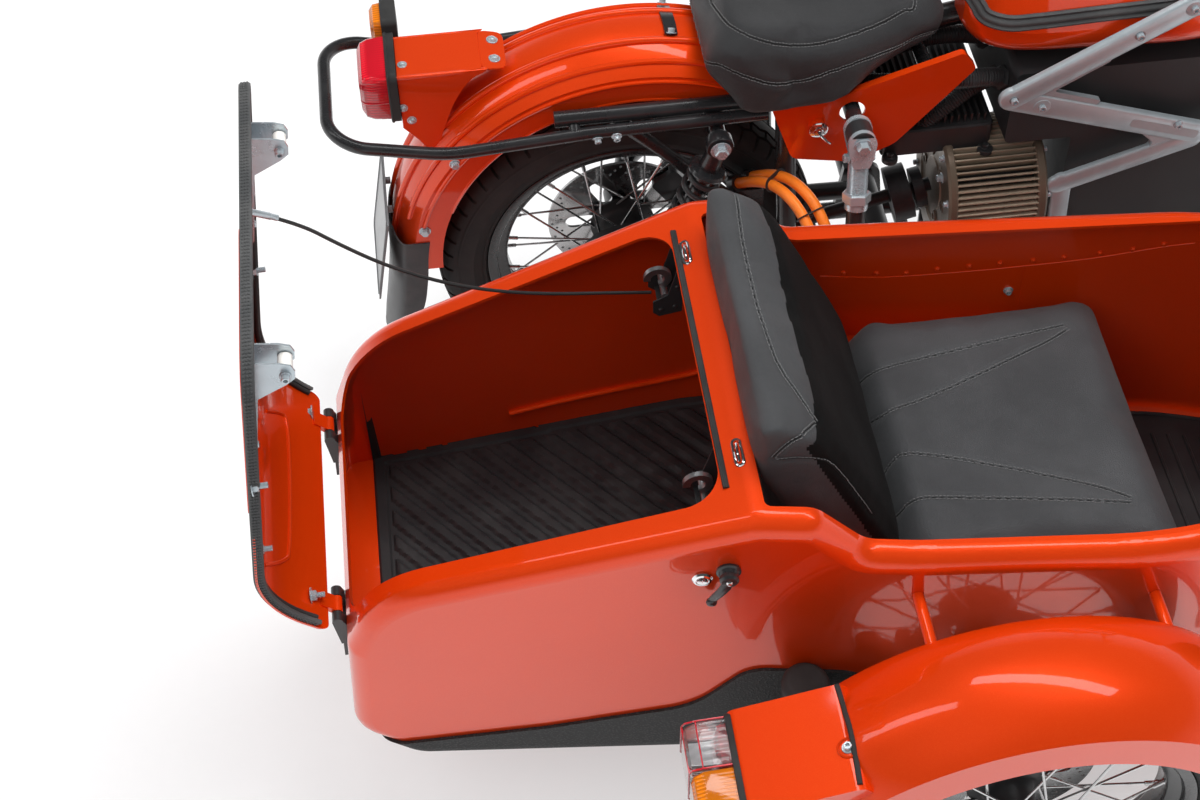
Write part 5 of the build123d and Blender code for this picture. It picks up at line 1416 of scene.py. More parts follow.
@dataclass
class LacedWheel:
    """Wire wheel: rolled rim, flanged hub, crossed spokes with nipples and a drilled brake disc."""

    node: str
    body: Body
    axle: Place
    disc_radius: float
    spokes_a_set: int = 9
    lace: float = 40.0
    flange_middle: float = 36.0
    flange_step: float = 3.6
    foot_radius: float = 50.0
    nipple_radius: float = 206.0
    nipple_side: float = 8.0
    spoke_radius: float = 1.9
    bead_seat: Pairs = (
        # radius, distance from the middle, on the left half
        (209.0, 15.0), (227.7, 22.0), (227.7, 34.0), (236.0, 34.0), (240.0, 34.4), (240.8, 36.2),
        (240.0, 38.0),
    )
    well: Pairs = (
        (236.5, 38.6), (232.0, 37.4), (226.0, 36.8), (223.7, 34.5), (222.4, 26.0), (216.0, 23.0),
        (207.0, 19.0), (204.8, 16.0),
    )
    well_middle: float = 204.4
    hub: Pairs = (
        (33.0, 14.0), (36.0, 26.0), (42.0, 31.0), (53.0, 33.0), (55.6, 34.0), (55.6, 38.0),
        (53.0, 39.2), (36.0, 41.0), (35.0, 46.0), (30.0, 48.0), (11.0, 48.0),
    )
    hub_middle: float = 32.0
    disc_face: float = 48.0
    disc_thick: float = 5.0
    disc_ring: float = 30.0
    disc_windows: int = 6
    window_from: float = 44.0
    window_half: float = 13.0
    bore: float = 24.0
    disc_holes: int = 24
    hole_radius: float = 2.6
    hole_rows: Pairs = ((7.0, 0.0), (14.5, 1 / 3), (22.0, 2 / 3))
    bolt_circle: float = 34.0

    def lacing(self) -> list[tuple[Vector, Vector, float]]:
        """Gives each spoke's foot at the hub, its nipple at the rim and its flange's side."""
        centre = at(*self.axle)
        found = []
        pitch = 360.0 / self.spokes_a_set
        for flange in (1.0, -1.0):
            for lean in (1.0, -1.0):
                for spoke in range(self.spokes_a_set):
                    shift = (0.0 if lean > 0 else pitch / 2) + (0.0 if flange > 0 else pitch / 4)
                    turn = spoke * pitch + shift
                    foot, end = math.radians(turn), math.radians(turn + lean * self.lace)
                    side = flange * (self.flange_middle + lean * self.flange_step)
                    low, high, out = self.foot_radius, self.nipple_radius, flange * self.nipple_side
                    start = centre + Vector((low * math.cos(foot), side, low * math.sin(foot))) * MM
                    stop = centre + Vector((high * math.cos(end), out, high * math.sin(end))) * MM
                    found.append((start, stop, flange * lean))
        return found

    def build_spokes(self) -> Thing:
        """Makes the spokes with their bent heads and their nipples."""
        mould = Mould()
        for start, stop, side in self.lacing():
            run = (stop - start).normalized()
            head = start - Vector((0, side * 6.4, 0)) * MM
            bend = start + Vector((0, side * 0.4, 0)) * MM
            mould.rod([head, bend, start + run * 5 * MM, stop - run * 16 * MM], self.spoke_radius, 7)
            mould.lathe(stop - run * 19 * MM, run, [(2.1, 0), (3.3, 1.5), (3.3, 15), (4.6, 17), (4.6, 20)], 8)
        return mould.piece(f"{self.node}_spokes", SPOKE_STEEL, self.body, 40)

    def build_disc(self) -> Thing:
        """Makes the drilled brake disc on its carrier."""
        centre = at(*self.axle)
        radius = self.disc_radius
        holes = [circle(0, 0, self.bore, 32)]
        for window in range(self.disc_windows):
            turn = math.radians(360 / self.disc_windows * window)
            holes.append(slot_loop(turn, self.window_from, radius - self.disc_ring, self.window_half))
        for inset, shift in self.hole_rows:
            row = radius - inset
            for hole in range(self.disc_holes):
                turn = math.tau * (hole + shift) / self.disc_holes
                holes.append(circle(row * math.cos(turn), row * math.sin(turn), self.hole_radius, 8))
        mould = Mould()
        face = centre + Vector((0, self.disc_face, 0)) * MM
        mould.pierced(face, AHEAD, UP, circle(0, 0, radius, 96), holes, Vector((0, self.disc_thick * MM, 0)))
        disc = mould.piece(f"{self.node}_disc", STEEL, self.body, 30)
        mould = Mould()
        for bolt in range(6):
            turn = math.tau * (bolt + 0.5) / 6
            out = (self.bolt_circle * math.cos(turn), self.disc_thick, self.bolt_circle * math.sin(turn))
            mould.bolt(face + Vector(out) * MM, LEFT, 10, Head.SOCKET)
        mould.piece(f"{self.node}_disc_bolts", ZINC, self.body)
        return disc

    def build(self) -> None:
        """Builds the whole wheel in its CAD node's place."""
        centre = at(*self.axle)
        mould = Mould()
        half = [*other_half(self.bead_seat), *self.bead_seat, *self.well, (self.well_middle, 0.0)]
        mould.hoop(centre, LEFT, half + other_half(self.well), 120)
        rim = mould.piece(f"{self.node}_rim", RIM_BLACK, self.body, 40)
        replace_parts(rim, self.node)
        mould = Mould()
        mould.hoop(centre, LEFT, [*other_half(self.hub), (self.hub_middle, 0.0), *self.hub], 48)
        mould.piece(f"{self.node}_hub", HUB_BLACK, self.body, 40)
        self.build_spokes()
        self.build_disc()


def other_half(half: Sequence[Pair]) -> list[Pair]:
    """Mirrors half a profile of radius and height pairs, in the order that leads to its middle."""
    return [(radius, -height) for radius, height in reversed(half)]


def circle(x: float, y: float, radius: float, sides: int) -> list[Pair]:
    """Gives a circle as a loop of points in a plane."""
    turns = [math.tau * step / sides for step in range(sides)]
    return [(x + radius * math.cos(turn), y + radius * math.sin(turn)) for turn in turns]


def oblong(reach: float, radius: float) -> list[Pair]:
    """Gives a loop with two round ends, whose middles lie a reach to each side."""
    loop = []
    for sign, first in ((1.0, -90), (-1.0, 90)):
        for step in range(9):
            turn = math.radians(first + 22.5 * step)
            loop.append((sign * reach + radius * math.cos(turn), radius * math.sin(turn)))
    return loop


def slot_loop(turn: float, near: float, far: float, half: float) -> list[Pair]:
    """Gives a slot that runs outward from a middle.

    Args:
        turn: The slot's direction in radians.
        near: Where it starts from the middle.
        far: Where it ends.
        half: Half its width.

    Returns:
        The slot's loop of points.
    """
    middle, reach = (far + near) / 2, (far - near) / 2 - half
    loop = [(middle + x, y) for x, y in oblong(reach, half)]
    return [
        (x * math.cos(turn) - y * math.sin(turn), x * math.sin(turn) + y * math.cos(turn)) for x, y in loop
    ]


# Saddle and passenger's cushions.


@dataclass
class Seam:
    """One sewn seam, given by the photograph's pixels that it passes."""

    pixels: Pairs
    mirror: float | None = None
    ring: bool = False
    rows: tuple[float, ...] = (-2.7, 2.7)

    def path(self, skin: Skin) -> list[list[Vector]]:
        """Lays the seam on a skin, and its mirror image where it has one.

        Args:
            skin: The padded form's surface.

        Returns:
            Each run's points, every one on the surface.
        """
        aim = Aim()
        found = [aim.spot(skin, *pixel)[0] for pixel in self.pixels]
        if self.mirror is None:
            return [skin.snap(smooth_path(found, 8))]
        middle = at(0, self.mirror, 0).y
        other = [Vector((point.x, 2 * middle - point.y, point.z)) for point in reversed(found)]
        if self.ring:
            return [skin.snap(smooth_path(found + other, 10, closed=True))]
        return [skin.snap(smooth_path(found, 8)), skin.snap(smooth_path(other, 8))]


@dataclass
class PaddedForm:
    """Upholstered form: its CAD solid remeshed, blown up as cloth, then sunk and sewn at its seams."""

    node: str
    finish: Finish
    seams: tuple[Seam, ...]
    voxel: float = 0.008
    smoothing: int = 10
    shrink: float = 5.0
    pressure: float = 4.0
    cap: float = 14.0
    fill: float = 0.8
    groove: float = 2.2
    groove_width: float = 5.0
    stitch: float = 3.4
    stitch_gap: float = 5.2
    frames: int = 20
    hold_high: float = 0.030

    def remeshed(self) -> Thing:
        """Copies the CAD solid into an evenly meshed object of its own."""
        source = node_object(self.node)
        rough = new_object(f"{self.node}_rough", source.data.copy())
        change = rough.modifiers.new("even", "REMESH")
        change.mode = "VOXEL"
        change.voxel_size = self.voxel
        return self.applied(rough, f"{self.node}_upholstery")

    def applied(self, thing: Thing, name: str) -> Thing:
        """Gives a new object with a thing's modifiers worked into its mesh, and removes the thing.

        Args:
            thing: The object with modifiers.
            name: The new object's name.

        Returns:
            The new object.
        """
        graph = bpy.context.evaluated_depsgraph_get()
        graph.update()
        data = bpy.data.meshes.new_from_object(thing.evaluated_get(graph))
        bpy.data.objects.remove(thing)
        return new_object(name, data)

    def points_of(self, thing: Thing) -> np.ndarray:
        """Reads a mesh's points."""
        return vectors(thing.data.vertices, "co")

    def normals_of(self, thing: Thing) -> np.ndarray:
        """Reads the normals at a mesh's points."""
        return vectors(thing.data.vertices, "normal")

    def move_to(self, thing: Thing, points: np.ndarray) -> None:
        """Writes a mesh's points."""
        thing.data.vertices.foreach_set("co", points.reshape(-1))
        thing.data.update()

    def smooth(self, thing: Thing, passes: int) -> None:
        """Rounds the form by drawing each point to the middle of its neighbours.

        Args:
            thing: The form.
            passes: How many times.
        """
        edges = np.empty(len(thing.data.edges) * 2, dtype=np.int64)
        thing.data.edges.foreach_get("vertices", edges)
        edges = edges.reshape(-1, 2)
        points = self.points_of(thing)
        count = np.bincount(edges.reshape(-1), minlength=len(points)).astype(float)[:, None]
        for _ in range(passes):
            total = np.zeros_like(points)
            np.add.at(total, edges[:, 0], points[edges[:, 1]])
            np.add.at(total, edges[:, 1], points[edges[:, 0]])
            points = 0.4 * points + 0.6 * total / count
        self.move_to(thing, points)

    def resting(self, points: np.ndarray, normals: np.ndarray) -> np.ndarray:
        """Tells how firmly each point is held by what the form rests on, from 0 to 1.

        Args:
            points: The form's points.
            normals: Their normals.

        Returns:
            The hold at each point.
        """
        low = points[:, 2].min()
        near = np.clip(1.0 - (points[:, 2] - low) / self.hold_high, 0.0, 1.0)
        return np.clip(near * 1.5, 0.0, 1.0) * (normals[:, 2] < 0.35)

    def blow(self, thing: Thing) -> None:
        """Blows the form up as cloth under pressure, with each point's way capped."""
        start = self.points_of(thing)
        normals = self.normals_of(thing)
        held = self.resting(start, normals)[:, None]
        self.move_to(thing, start - normals * self.shrink * MM)
        shrunk = self.points_of(thing)
        cloth = thing.modifiers.new("blown", "CLOTH")
        cloth.settings.use_pressure = True
        cloth.settings.uniform_pressure_force = self.pressure
        cloth.settings.effector_weights.gravity = 0.0
        cloth.settings.quality = 5
        cloth.settings.mass = 0.3
        cloth.settings.tension_stiffness = 12.0
        cloth.settings.compression_stiffness = 12.0
        cloth.settings.bending_stiffness = 0.6
        cloth.point_cache.frame_start = 1
        cloth.point_cache.frame_end = self.frames
        scene = bpy.context.scene
        for frame_number in range(1, self.frames + 1):
            scene.frame_set(frame_number)
        graph = bpy.context.evaluated_depsgraph_get()
        blown = bpy.data.meshes.new_from_object(thing.evaluated_get(graph))
        moved = vectors(blown.vertices, "co")
        bpy.data.meshes.remove(blown)
        thing.modifiers.remove(cloth)
        scene.frame_set(1)
        way = moved - shrunk
        way -= way.mean(axis=0)
        length = np.linalg.norm(way, axis=1, keepdims=True)
        way *= np.minimum(1.0, self.cap * MM / np.maximum(length, 1e-9))
        self.move_to(thing, start * held + (shrunk + way) * (1.0 - held))

    def sculpt(self, thing: Thing) -> None:
        """Shapes the form further; each kind of seat has its own way."""

    def keep_inside(self, thing: Thing, proud: float = 7.0) -> None:
        """Keeps the form within its CAD solid's box, apart from how far fabric stands proud.

        Args:
            thing: The form.
            proud: Millimetres that it may stand proud.
        """
        low, high = (np.array(corner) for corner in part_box(self.node))
        points = self.points_of(thing)
        spare = np.array((proud, proud, proud)) * MM
        points = np.minimum(np.maximum(points, low - spare * (1, 1, 0)), high + spare)
        self.move_to(thing, points)

    def sink_seams(self, thing: Thing, paths: Sequence[Sequence[Vector]]) -> None:
        """Draws the cover in along its seams.

        Args:
            thing: The form.
            paths: The seams' points.
        """
        tree = KDTree(sum(len(path) for path in paths))
        number = 0
        for path in paths:
            for point in path:
                tree.insert(point, number)
                number += 1
        tree.balance()
        points, normals = self.points_of(thing), self.normals_of(thing)
        for index, point in enumerate(points):
            gap = tree.find(Vector(point))[2] / MM
            if gap < 3 * self.groove_width:
                share = math.exp(-((gap / self.groove_width) ** 2))
                points[index] -= normals[index] * self.groove * MM * share
        self.move_to(thing, points)

    def sew(self, skin: Skin, paths: Sequence[Sequence[Vector]]) -> None:
        """Lays the seams' fold and their rows of stitches.

        Args:
            skin: The sunk surface.
            paths: The seams' points.
        """
        fold, thread = Mould(), Mould()
        for seam_path, rows in paths_with_rows(self.seams, paths):
            line = skin.snap(seam_path)
            fold.rod([point for point, _ in spaced(line, 0.006)], 0.8, 6)
            for place, run in spaced(line, self.stitch_gap * MM):
                _, normal, _, _ = skin.tree.find_nearest(place)
                side = run.cross(normal).normalized()
                for row in rows:
                    middle, out, _, _ = skin.tree.find_nearest(place + side * row * MM)
                    half = run * self.stitch * 0.5 * MM
                    lift = out * 0.7 * MM
                    inner = half * 0.6
                    stitch = [middle - half, middle - inner + lift, middle + inner + lift, middle + half]
                    thread.rod(stitch, 0.65, 5)
        fold.piece(f"{self.node}_seam_folds", SEAM_FOLD)
        thread.piece(f"{self.node}_stitches", THREAD, crease=60)

    def second_cover_and_shade(self, thing: Thing) -> None:
        """Dresses a panel in another cover, darker partly as painted shade; only some forms have one."""

    def build(self) -> Thing:
        """Makes the whole upholstered form in its CAD node's place."""
        thing = self.remeshed()
        self.smooth(thing, self.smoothing)
        self.blow(thing)
        self.smooth(thing, 2)
        self.sculpt(thing)
        change = thing.modifiers.new("fine", "SUBSURF")
        change.levels = change.render_levels = 1
        thing = self.applied(thing, thing.name)
        self.keep_inside(thing)
        paths = [path for seam in self.seams for path in seam.path(Skin([thing]))]
        self.sink_seams(thing, paths)
        thing.data.materials.clear()
        thing.data.materials.append(self.finish.material())
        self.second_cover_and_shade(thing)
        thing.data.shade_smooth()
        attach(thing, Body.CHASSIS.value)
        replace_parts(thing, self.node)
        self.sew(Skin([thing]), paths)
        return thing


def paths_with_rows(
    seams: Sequence[Seam], paths: Sequence[Sequence[Vector]]
) -> list[tuple[Sequence[Vector], tuple[float, ...]]]:
    """Pairs each laid path with its seam's rows of stitches.

    Args:
        seams: The seams.
        paths: Their paths, one or two a seam, in order.

    Returns:
        Path and rows pairs.
    """
    rows: list[tuple[float, ...]] = []
    for seam in seams:
        rows += [seam.rows] * (2 if seam.mirror is not None and not seam.ring else 1)
    return list(zip(paths, rows))


@dataclass
class Saddle(PaddedForm):
    """Rider's saddle: dished in the middle, raised behind, with a rolled skirt."""

    dish: float = 11.0
    roll: float = 9.0
    foot: float = 770.0
    deep: float = 45.0
    dish_x: float = 290.0
    dish_long: float = 115.0
    dish_wide: float = 80.0
    roll_from: float = 95.0
    roll_wide: float = 60.0

    def sculpt(self, thing: Thing) -> None:
        """Dishes the top and rolls its edges down."""
        points = self.points_of(thing)
        x = (points[:, 0] - REAR_AXLE_X) / MM
        y = (points[:, 1] - BIKE_Y) / MM
        z = points[:, 2] / MM
        top = np.clip((z - self.foot) / self.deep, 0.0, 1.0)
        hollow = np.exp(-(((x - self.dish_x) / self.dish_long) ** 2) - (y / self.dish_wide) ** 2)
        edge = np.clip((np.abs(y) - self.roll_from) / self.roll_wide, 0.0, 1.0) ** 2
        points[:, 2] -= top * (self.dish * hollow + self.roll * edge) * MM
        self.move_to(thing, points)


@dataclass
class SeatCushion(PaddedForm):
    """Passenger's seat cushion: crowned top, sides drawn in between the corners."""

    crown: float = 9.0
    crown_share: float = 0.4
    waist: float = 5.0

    def sculpt(self, thing: Thing) -> None:
        """Crowns the top and draws the sides in between the corners."""
        points = self.points_of(thing)
        low, high = points.min(axis=0), points.max(axis=0)
        part = (points - low) / (high - low)
        dome = np.clip(np.sin(math.pi * part[:, 0]), 0, 1) * np.clip(np.sin(math.pi * part[:, 1]), 0, 1)
        top = np.clip((part[:, 2] - (1.0 - self.crown_share)) / self.crown_share, 0.0, 1.0)
        points[:, 2] += top * (self.crown * dome - 0.5 * self.crown) * MM
        side = (part[:, 1] - 0.5) * 2.0
        points[:, 1] -= np.sign(side) * np.abs(side) ** 6 * self.waist * np.sin(math.pi * part[:, 0]) * MM
        self.move_to(thing, points)


@dataclass
class BackCushion(PaddedForm):
    """Passenger's back cushion: soft front panel in a darker cover inside a broad band; the cover is partly
    darker leathercloth and partly painted shade.
    """

    belly: float = 10.0
    top: Pair = (138.0, 832.0)
    slope: Pair = (138.0, 284.0)
    face: float = 315.8
    middle: float = -649.0
    half: float = 233.0
    border: float = 10.0
    panel: float = 290.0
    insert_and_shade_edge: float = -872.0

    def lean(self, points: np.ndarray) -> tuple[np.ndarray, np.ndarray]:
        """Gives each point's place down the front face and its distance ahead of the face's plane.

        Args:
            points: Points in metres.

        Returns:
            Millimetres down the face from its top, and ahead of it.
        """
        x = (points[:, 0] - REAR_AXLE_X) / MM - self.top[0]
        z = points[:, 2] / MM - self.top[1]
        forward, fall = self.slope
        return (x * forward - z * fall) / self.face, (x * fall + z * forward) / self.face

    def sculpt(self, thing: Thing) -> None:
        """Bulges the front face between its edges."""
        points = self.points_of(thing)
        down, ahead = self.lean(points)
        y = (points[:, 1] - BIKE_Y) / MM
        across = np.clip(np.cos((y - self.middle) / self.half * math.pi / 2), 0.0, 1.0)
        along = np.clip(np.sin(np.clip((down - self.border) / self.panel, 0.0, 1.0) * math.pi), 0.0, 1.0)
        front = np.clip((ahead + 18.0) / 18.0, 0.0, 1.0)
        push = front * (self.belly * np.sqrt(across * along) - 3.0) * MM
        forward, fall = self.slope
        points[:, 0] += push * fall / self.face
        points[:, 2] += push * forward / self.face
        self.move_to(thing, points)

    def second_cover_and_shade(self, thing: Thing) -> None:
        """Dresses the front panel in the darker cover, which is partly its own darker leathercloth and partly
        painted shade.
        """
        thing.data.materials.append(INSERT_VINYL_AND_SHADE.material())
        middles = vectors(thing.data.polygons, "center")
        down, ahead = self.lean(middles)
        y = (middles[:, 1] - BIKE_Y) / MM
        # The front panel's faces take the darker cover, partly as painted shade.
        chosen = (ahead > -26.0) & (down > 2.0) & (y > self.insert_and_shade_edge)
        thing.data.polygons.foreach_set("material_index", chosen.astype(np.int32))


UPHOLSTERY: tuple[PaddedForm, ...] = (
    Saddle(
        "saddle",
        SADDLE_VINYL,
        (
            Seam(
                (
                    (711, 2), (717, 11), (729, 24.5), (747, 34.6), (765, 41.3), (783, 44.6),
                    (801, 45.3), (825, 42.4), (852, 34.6), (881, 23.4), (903, 11), (915, 2),
                ),
                mirror=0.0,
                ring=True,
            ),
            Seam(
                (
                    (687, 50), (700, 59), (716, 64.7), (734, 72.5), (752, 79.2), (769, 84),
                    (783, 84.4), (801, 81.5), (830, 72.5), (863, 60.7), (897, 48), (930, 33.5),
                ),
                mirror=0.0,
                ring=True,
            ),
        ),
        smoothing=14,
    ),
    BackCushion(
        "back_cushion",
        CUSHION_VINYL,
        (
            Seam(((737, 192), (741, 229), (755, 296), (774, 354), (798, 393), (817, 421))),
            Seam(((816, 422), (793, 441), (772, 459)), rows=(-2.7, 2.7)),
            Seam(((776, 461), (802, 459), (828, 463), (850, 485), (872, 515)), rows=(-2.4,)),
        ),
        smoothing=8,
        cap=10.0,
    ),
    SeatCushion(
        "seat_cushion",
        CUSHION_VINYL,
        (
            Seam(
                ((840, 412), (847, 396), (860, 382), (883, 368), (943, 353), (1014, 336), (1066, 324)),
                mirror=-666.0,
            ),
            Seam(((846, 430), (886, 413), (943, 390), (1000, 364), (1043, 343), (1069, 328)), mirror=-666.0),
        ),
        smoothing=10,
        cap=12.0,
    ),
)


# The trunk and its lid.


@dataclass
class LidTrim:
    """The open lid's rubber edge, roller brackets and studs, placed along and across the lid."""

    hinge: Place = (-503.0, 0.0, 513.0)
    tilt: float = 92.4
    outline: Pairs = ((30.0, -449.7), (598.0, -402.0), (598.0, -906.0), (30.0, -864.3))
    corner: float = 40.0
    pip_gap: float = 5.5
    bracket_rows: tuple[float, ...] = (-840.0, -470.0)
    roller_along: float = 535.0
    roller_out: float = -30.0
    roller_wide: float = 18.0
    knee: Pair = (96.5, 87.9)
    foot_slope: float = 0.93
    top_slope: float = -0.17
    bend: tuple[float, float, float] = (147.9, -84.1, 161.0)
    bend_span: Pair = (38.3, 174.9)
    strip_shape: Pairs = (
        (2.4, 5.4), (3.4, 3.6), (3.4, -7.4), (2.0, -9.4), (-2.4, -9.4), (-4.0, -7.8), (-4.0, -0.4),
        (0.4, -0.4), (0.4, 3.4), (-5, 3.4), (-5, 5.4),
    )
    stud_pixels: Pairs = ((313, 413), (252, 487), (258, 550), (311, 596), (259, 271))
    eye_along: float = 513.0

    def __post_init__(self) -> None:
        """Reads the lid's surface from its CAD node."""
        angle = math.radians(self.tilt)
        self.run = Vector((math.cos(angle), 0, math.sin(angle)))
        self.out = Vector((-math.sin(angle), 0, math.cos(angle)))
        self.skin = Skin([node_object("trunk_lid")])

    def place(self, along: float, across: float, out: float) -> Vector:
        """Gives a place from its distances along, across and out of the lid's plane.

        Args:
            along: Millimetres from the hinge.
            across: Millimetres left of the motorcycle's middle plane.
            out: Millimetres out of the plane.

        Returns:
            The place.
        """
        return at(self.hinge[0], across, self.hinge[2]) + (self.run * along + self.out * out) * MM

    def inner(self, along: float, across: float) -> Vector:
        """Gives the lid's inner face at a place: straight foot, round bend and straight top."""
        knee_along, knee_out = self.knee
        bend_along, bend_out, bend_radius = self.bend
        if along < self.bend_span[0]:
            out = knee_out + self.foot_slope * (along - knee_along)
        elif along < self.bend_span[1]:
            out = bend_out + math.sqrt(bend_radius**2 - (along - bend_along) ** 2)
        else:
            out = knee_out + self.top_slope * (along - knee_along)
        return self.place(along, across, out)

    def edge(self, inset: float) -> list[tuple[Vector, Vector]]:
        """Walks round the lid's two sides and free edge.

        Args:
            inset: Millimetres inside the outline.

        Returns:
            Places on the inner face and the directions that point out of the outline there.
        """
        (start_u, left), (end_u, wide_left), (_, wide_right), _ = self.outline
        flat = [start_u + (end_u - self.corner - start_u) * step / 40 for step in range(41)]
        side = [Vector((x, left + (wide_left - left) * (x - start_u) / (end_u - start_u))) for x in flat]
        turn = []
        for angle in (math.radians(12 * step) for step in range(8)):
            along = end_u - self.corner + self.corner * math.sin(angle)
            turn.append(Vector((along, wide_left - self.corner * (1 - math.cos(angle)))))
        half = side + turn
        middle = (wide_left + wide_right) / 2
        other = [Vector((point.x, 2 * middle - point.y)) for point in reversed(half)]
        loop = half + other
        found = []
        for index, point in enumerate(loop):
            before, after = loop[max(index - 1, 0)], loop[min(index + 1, len(loop) - 1)]
            way = (after - before).normalized()
            outward = Vector((way.y, -way.x)) * -1
            spot = point - outward * inset
            face = self.inner(spot.x, spot.y)
            exact = at(0, spot.y, 0)
            way_out = self.run * outward.x + Vector((0, outward.y, 0))
            found.append((Vector((face.x, exact.y, face.z)), way_out))
        return found

    def build_edge(self) -> None:
        """Makes the knurled edge strip and the soft bulb inside it."""
        strip, bulb = Mould(), Mould()
        rings = []
        for face, outward in self.edge(0.0):
            rings.append(
                [face + (outward * across + self.out * high) * MM for across, high in self.strip_shape]
            )
        strip.skin(rings)
        line = [(face + (outward * 3.4 - self.out * 1.9) * MM, outward) for face, outward in self.edge(0.0)]
        for (start, outward), (end, _) in zip(line, line[1:]):
            count = max(1, round((end - start).length / MM / self.pip_gap))
            for step in range(count):
                for row in (-3.6, 0.0, 3.6):
                    foot = start.lerp(end, (step + 0.5) / count) + self.out * row * MM - outward * 0.3 * MM
                    strip.lathe(foot, outward, [(1.9, 0), (1.7, 1.0), (0.9, 1.7)], 6)
        edge = strip.piece("lid_edge_strip", STRIP_RUBBER, Body.LID)
        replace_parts(edge, "lid_seal")
        path = [face + (self.out * -3.6) * MM for face, _ in self.edge(8.2)]
        bulb.rod(path, 3.7, 10)
        bulb.piece("lid_seal_bulb", RUBBER, Body.LID)

    def build_bracket(self, number: int, row: float) -> None:
        """Makes one bent bracket with its cheeks, roller, pin and studs.

        Args:
            number: Which bracket.
            row: Its middle across the lid.
        """
        steel, nylon, pins = Mould(), Mould(), Mould()
        stations = [562 - step * 12 for step in range(17)]
        rings = []
        for along in stations:
            wide = 15.0 - max(0.0, 500 - along) * 0.02
            low = self.inner(along, row)
            corners = ((-wide, -0.3), (wide, -0.3), (wide, -3.0), (-wide, -3.0))
            rings.append([low + (Vector((0, across, 0)) + self.out * high) * MM for across, high in corners])
        steel.skin(rings)
        roller = self.place(self.roller_along, row, self.roller_out)
        for side in (-15.0, 15.0):
            outline = [
                self.inner(562, row) - self.out * 1.5 * MM,
                self.place(556, row, self.roller_out + 4),
                self.place(550, row, self.roller_out - 9),
                self.place(540, row, self.roller_out - 12),
                self.place(528, row, self.roller_out - 10),
                self.place(519, row, self.roller_out + 2),
                self.inner(500, row) - self.out * 11 * MM,
                self.inner(384, row) - self.out * 7 * MM,
                self.inner(376, row) - self.out * 1.5 * MM,
            ]
            shift = Vector((0, side - 1.2, 0)) * MM
            steel.slab([point + shift for point in outline], Vector((0, 2.4, 0)) * MM)
        bracket = steel.piece(f"lid_bracket_{number}", ZINC, Body.LID, 30)
        if number == 1:
            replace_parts(bracket, "lid_strikers")
        width = LEFT
        profile = [(4.2, -13), (8.0, -13), (8.8, -12.2), (8.8, 12.2), (8.0, 13), (4.2, 13)]
        nylon.lathe(roller, width, profile, 24)
        nylon.piece(f"lid_roller_{number}", NYLON, Body.LID)
        pins.lathe(roller - width * self.roller_wide * MM, width, [(3.0, 0), (3.0, 2 * self.roller_wide)], 12)
        pins.bolt(roller - width * (self.roller_wide - 1.6) * MM, -width, 11, Head.SOCKET, 14)
        pins.bolt(roller + width * (self.roller_wide - 1.6) * MM, width, 10, Head.HEX, 14)
        for along in (400, 455):
            pins.bolt(self.inner(along, row) - self.out * 3 * MM, -self.out, 9, Head.HEX, 14)
        pins.piece(f"lid_bracket_pins_{number}", ZINC, Body.LID)

    def build_studs(self) -> None:
        """Makes the studs with their nuts on the lid's inner face, and the stay's eye."""
        studs = Mould()
        aim = Aim()
        for pixel in self.stud_pixels:
            place, normal = aim.spot(self.skin, *pixel)
            stud(studs, place, -self.out if normal.dot(self.out) < 0 else self.out, 8.0, 19.0)
        eye = at(*STAY_ROUTE[0])
        face = self.inner(self.eye_along, STAY_ROUTE[0][1])
        studs.lathe(face, eye - face, [(8.0, 0), (8.0, 1.5), (5.0, 2.5), (3.0, (eye - face).length / MM)], 16)
        studs.lathe(eye + Vector((0, -5, 0)) * MM, LEFT, [(3, 0), (5.4, 2), (5.8, 5), (5.4, 8), (3, 10)], 16)
        studs.piece("lid_studs", ZINC, Body.LID)

    def build(self) -> None:
        """Builds all of the lid's trim."""
        self.build_edge()
        for number, row in enumerate(self.bracket_rows, 1):
            self.build_bracket(number, row)
        self.build_studs()


def stud(mould: Mould, place: Vector, normal: Vector, size: float, tall: float) -> None:
    """Adds a threaded stud with its washer and nut.

    Args:
        mould: The mould to add it to.
        place: Middle of the bearing face.
        normal: Direction out of the face.
        size: Thread size in millimetres.
        tall: How far the stud stands out.
    """
    mould.lathe(place, normal, [(size * 1.5, 0), (size * 1.5, 1.4), (size * 0.9, 1.6)], 20)
    nut = [(size * 0.98, 0), (size * 0.98, size * 0.7), (size * 0.8, size * 0.85)]
    mould.lathe(place + normal * 1.5 * MM, normal, nut, 6)
    thread = []
    high = size * 0.7
    while high < tall - 1.0:
        thread += [(size / 2 - 0.35, high), (size / 2, high + 0.4)]
        high += 0.8
    mould.lathe(place, normal, thread + [(size / 2 - 0.5, tall)], 10)


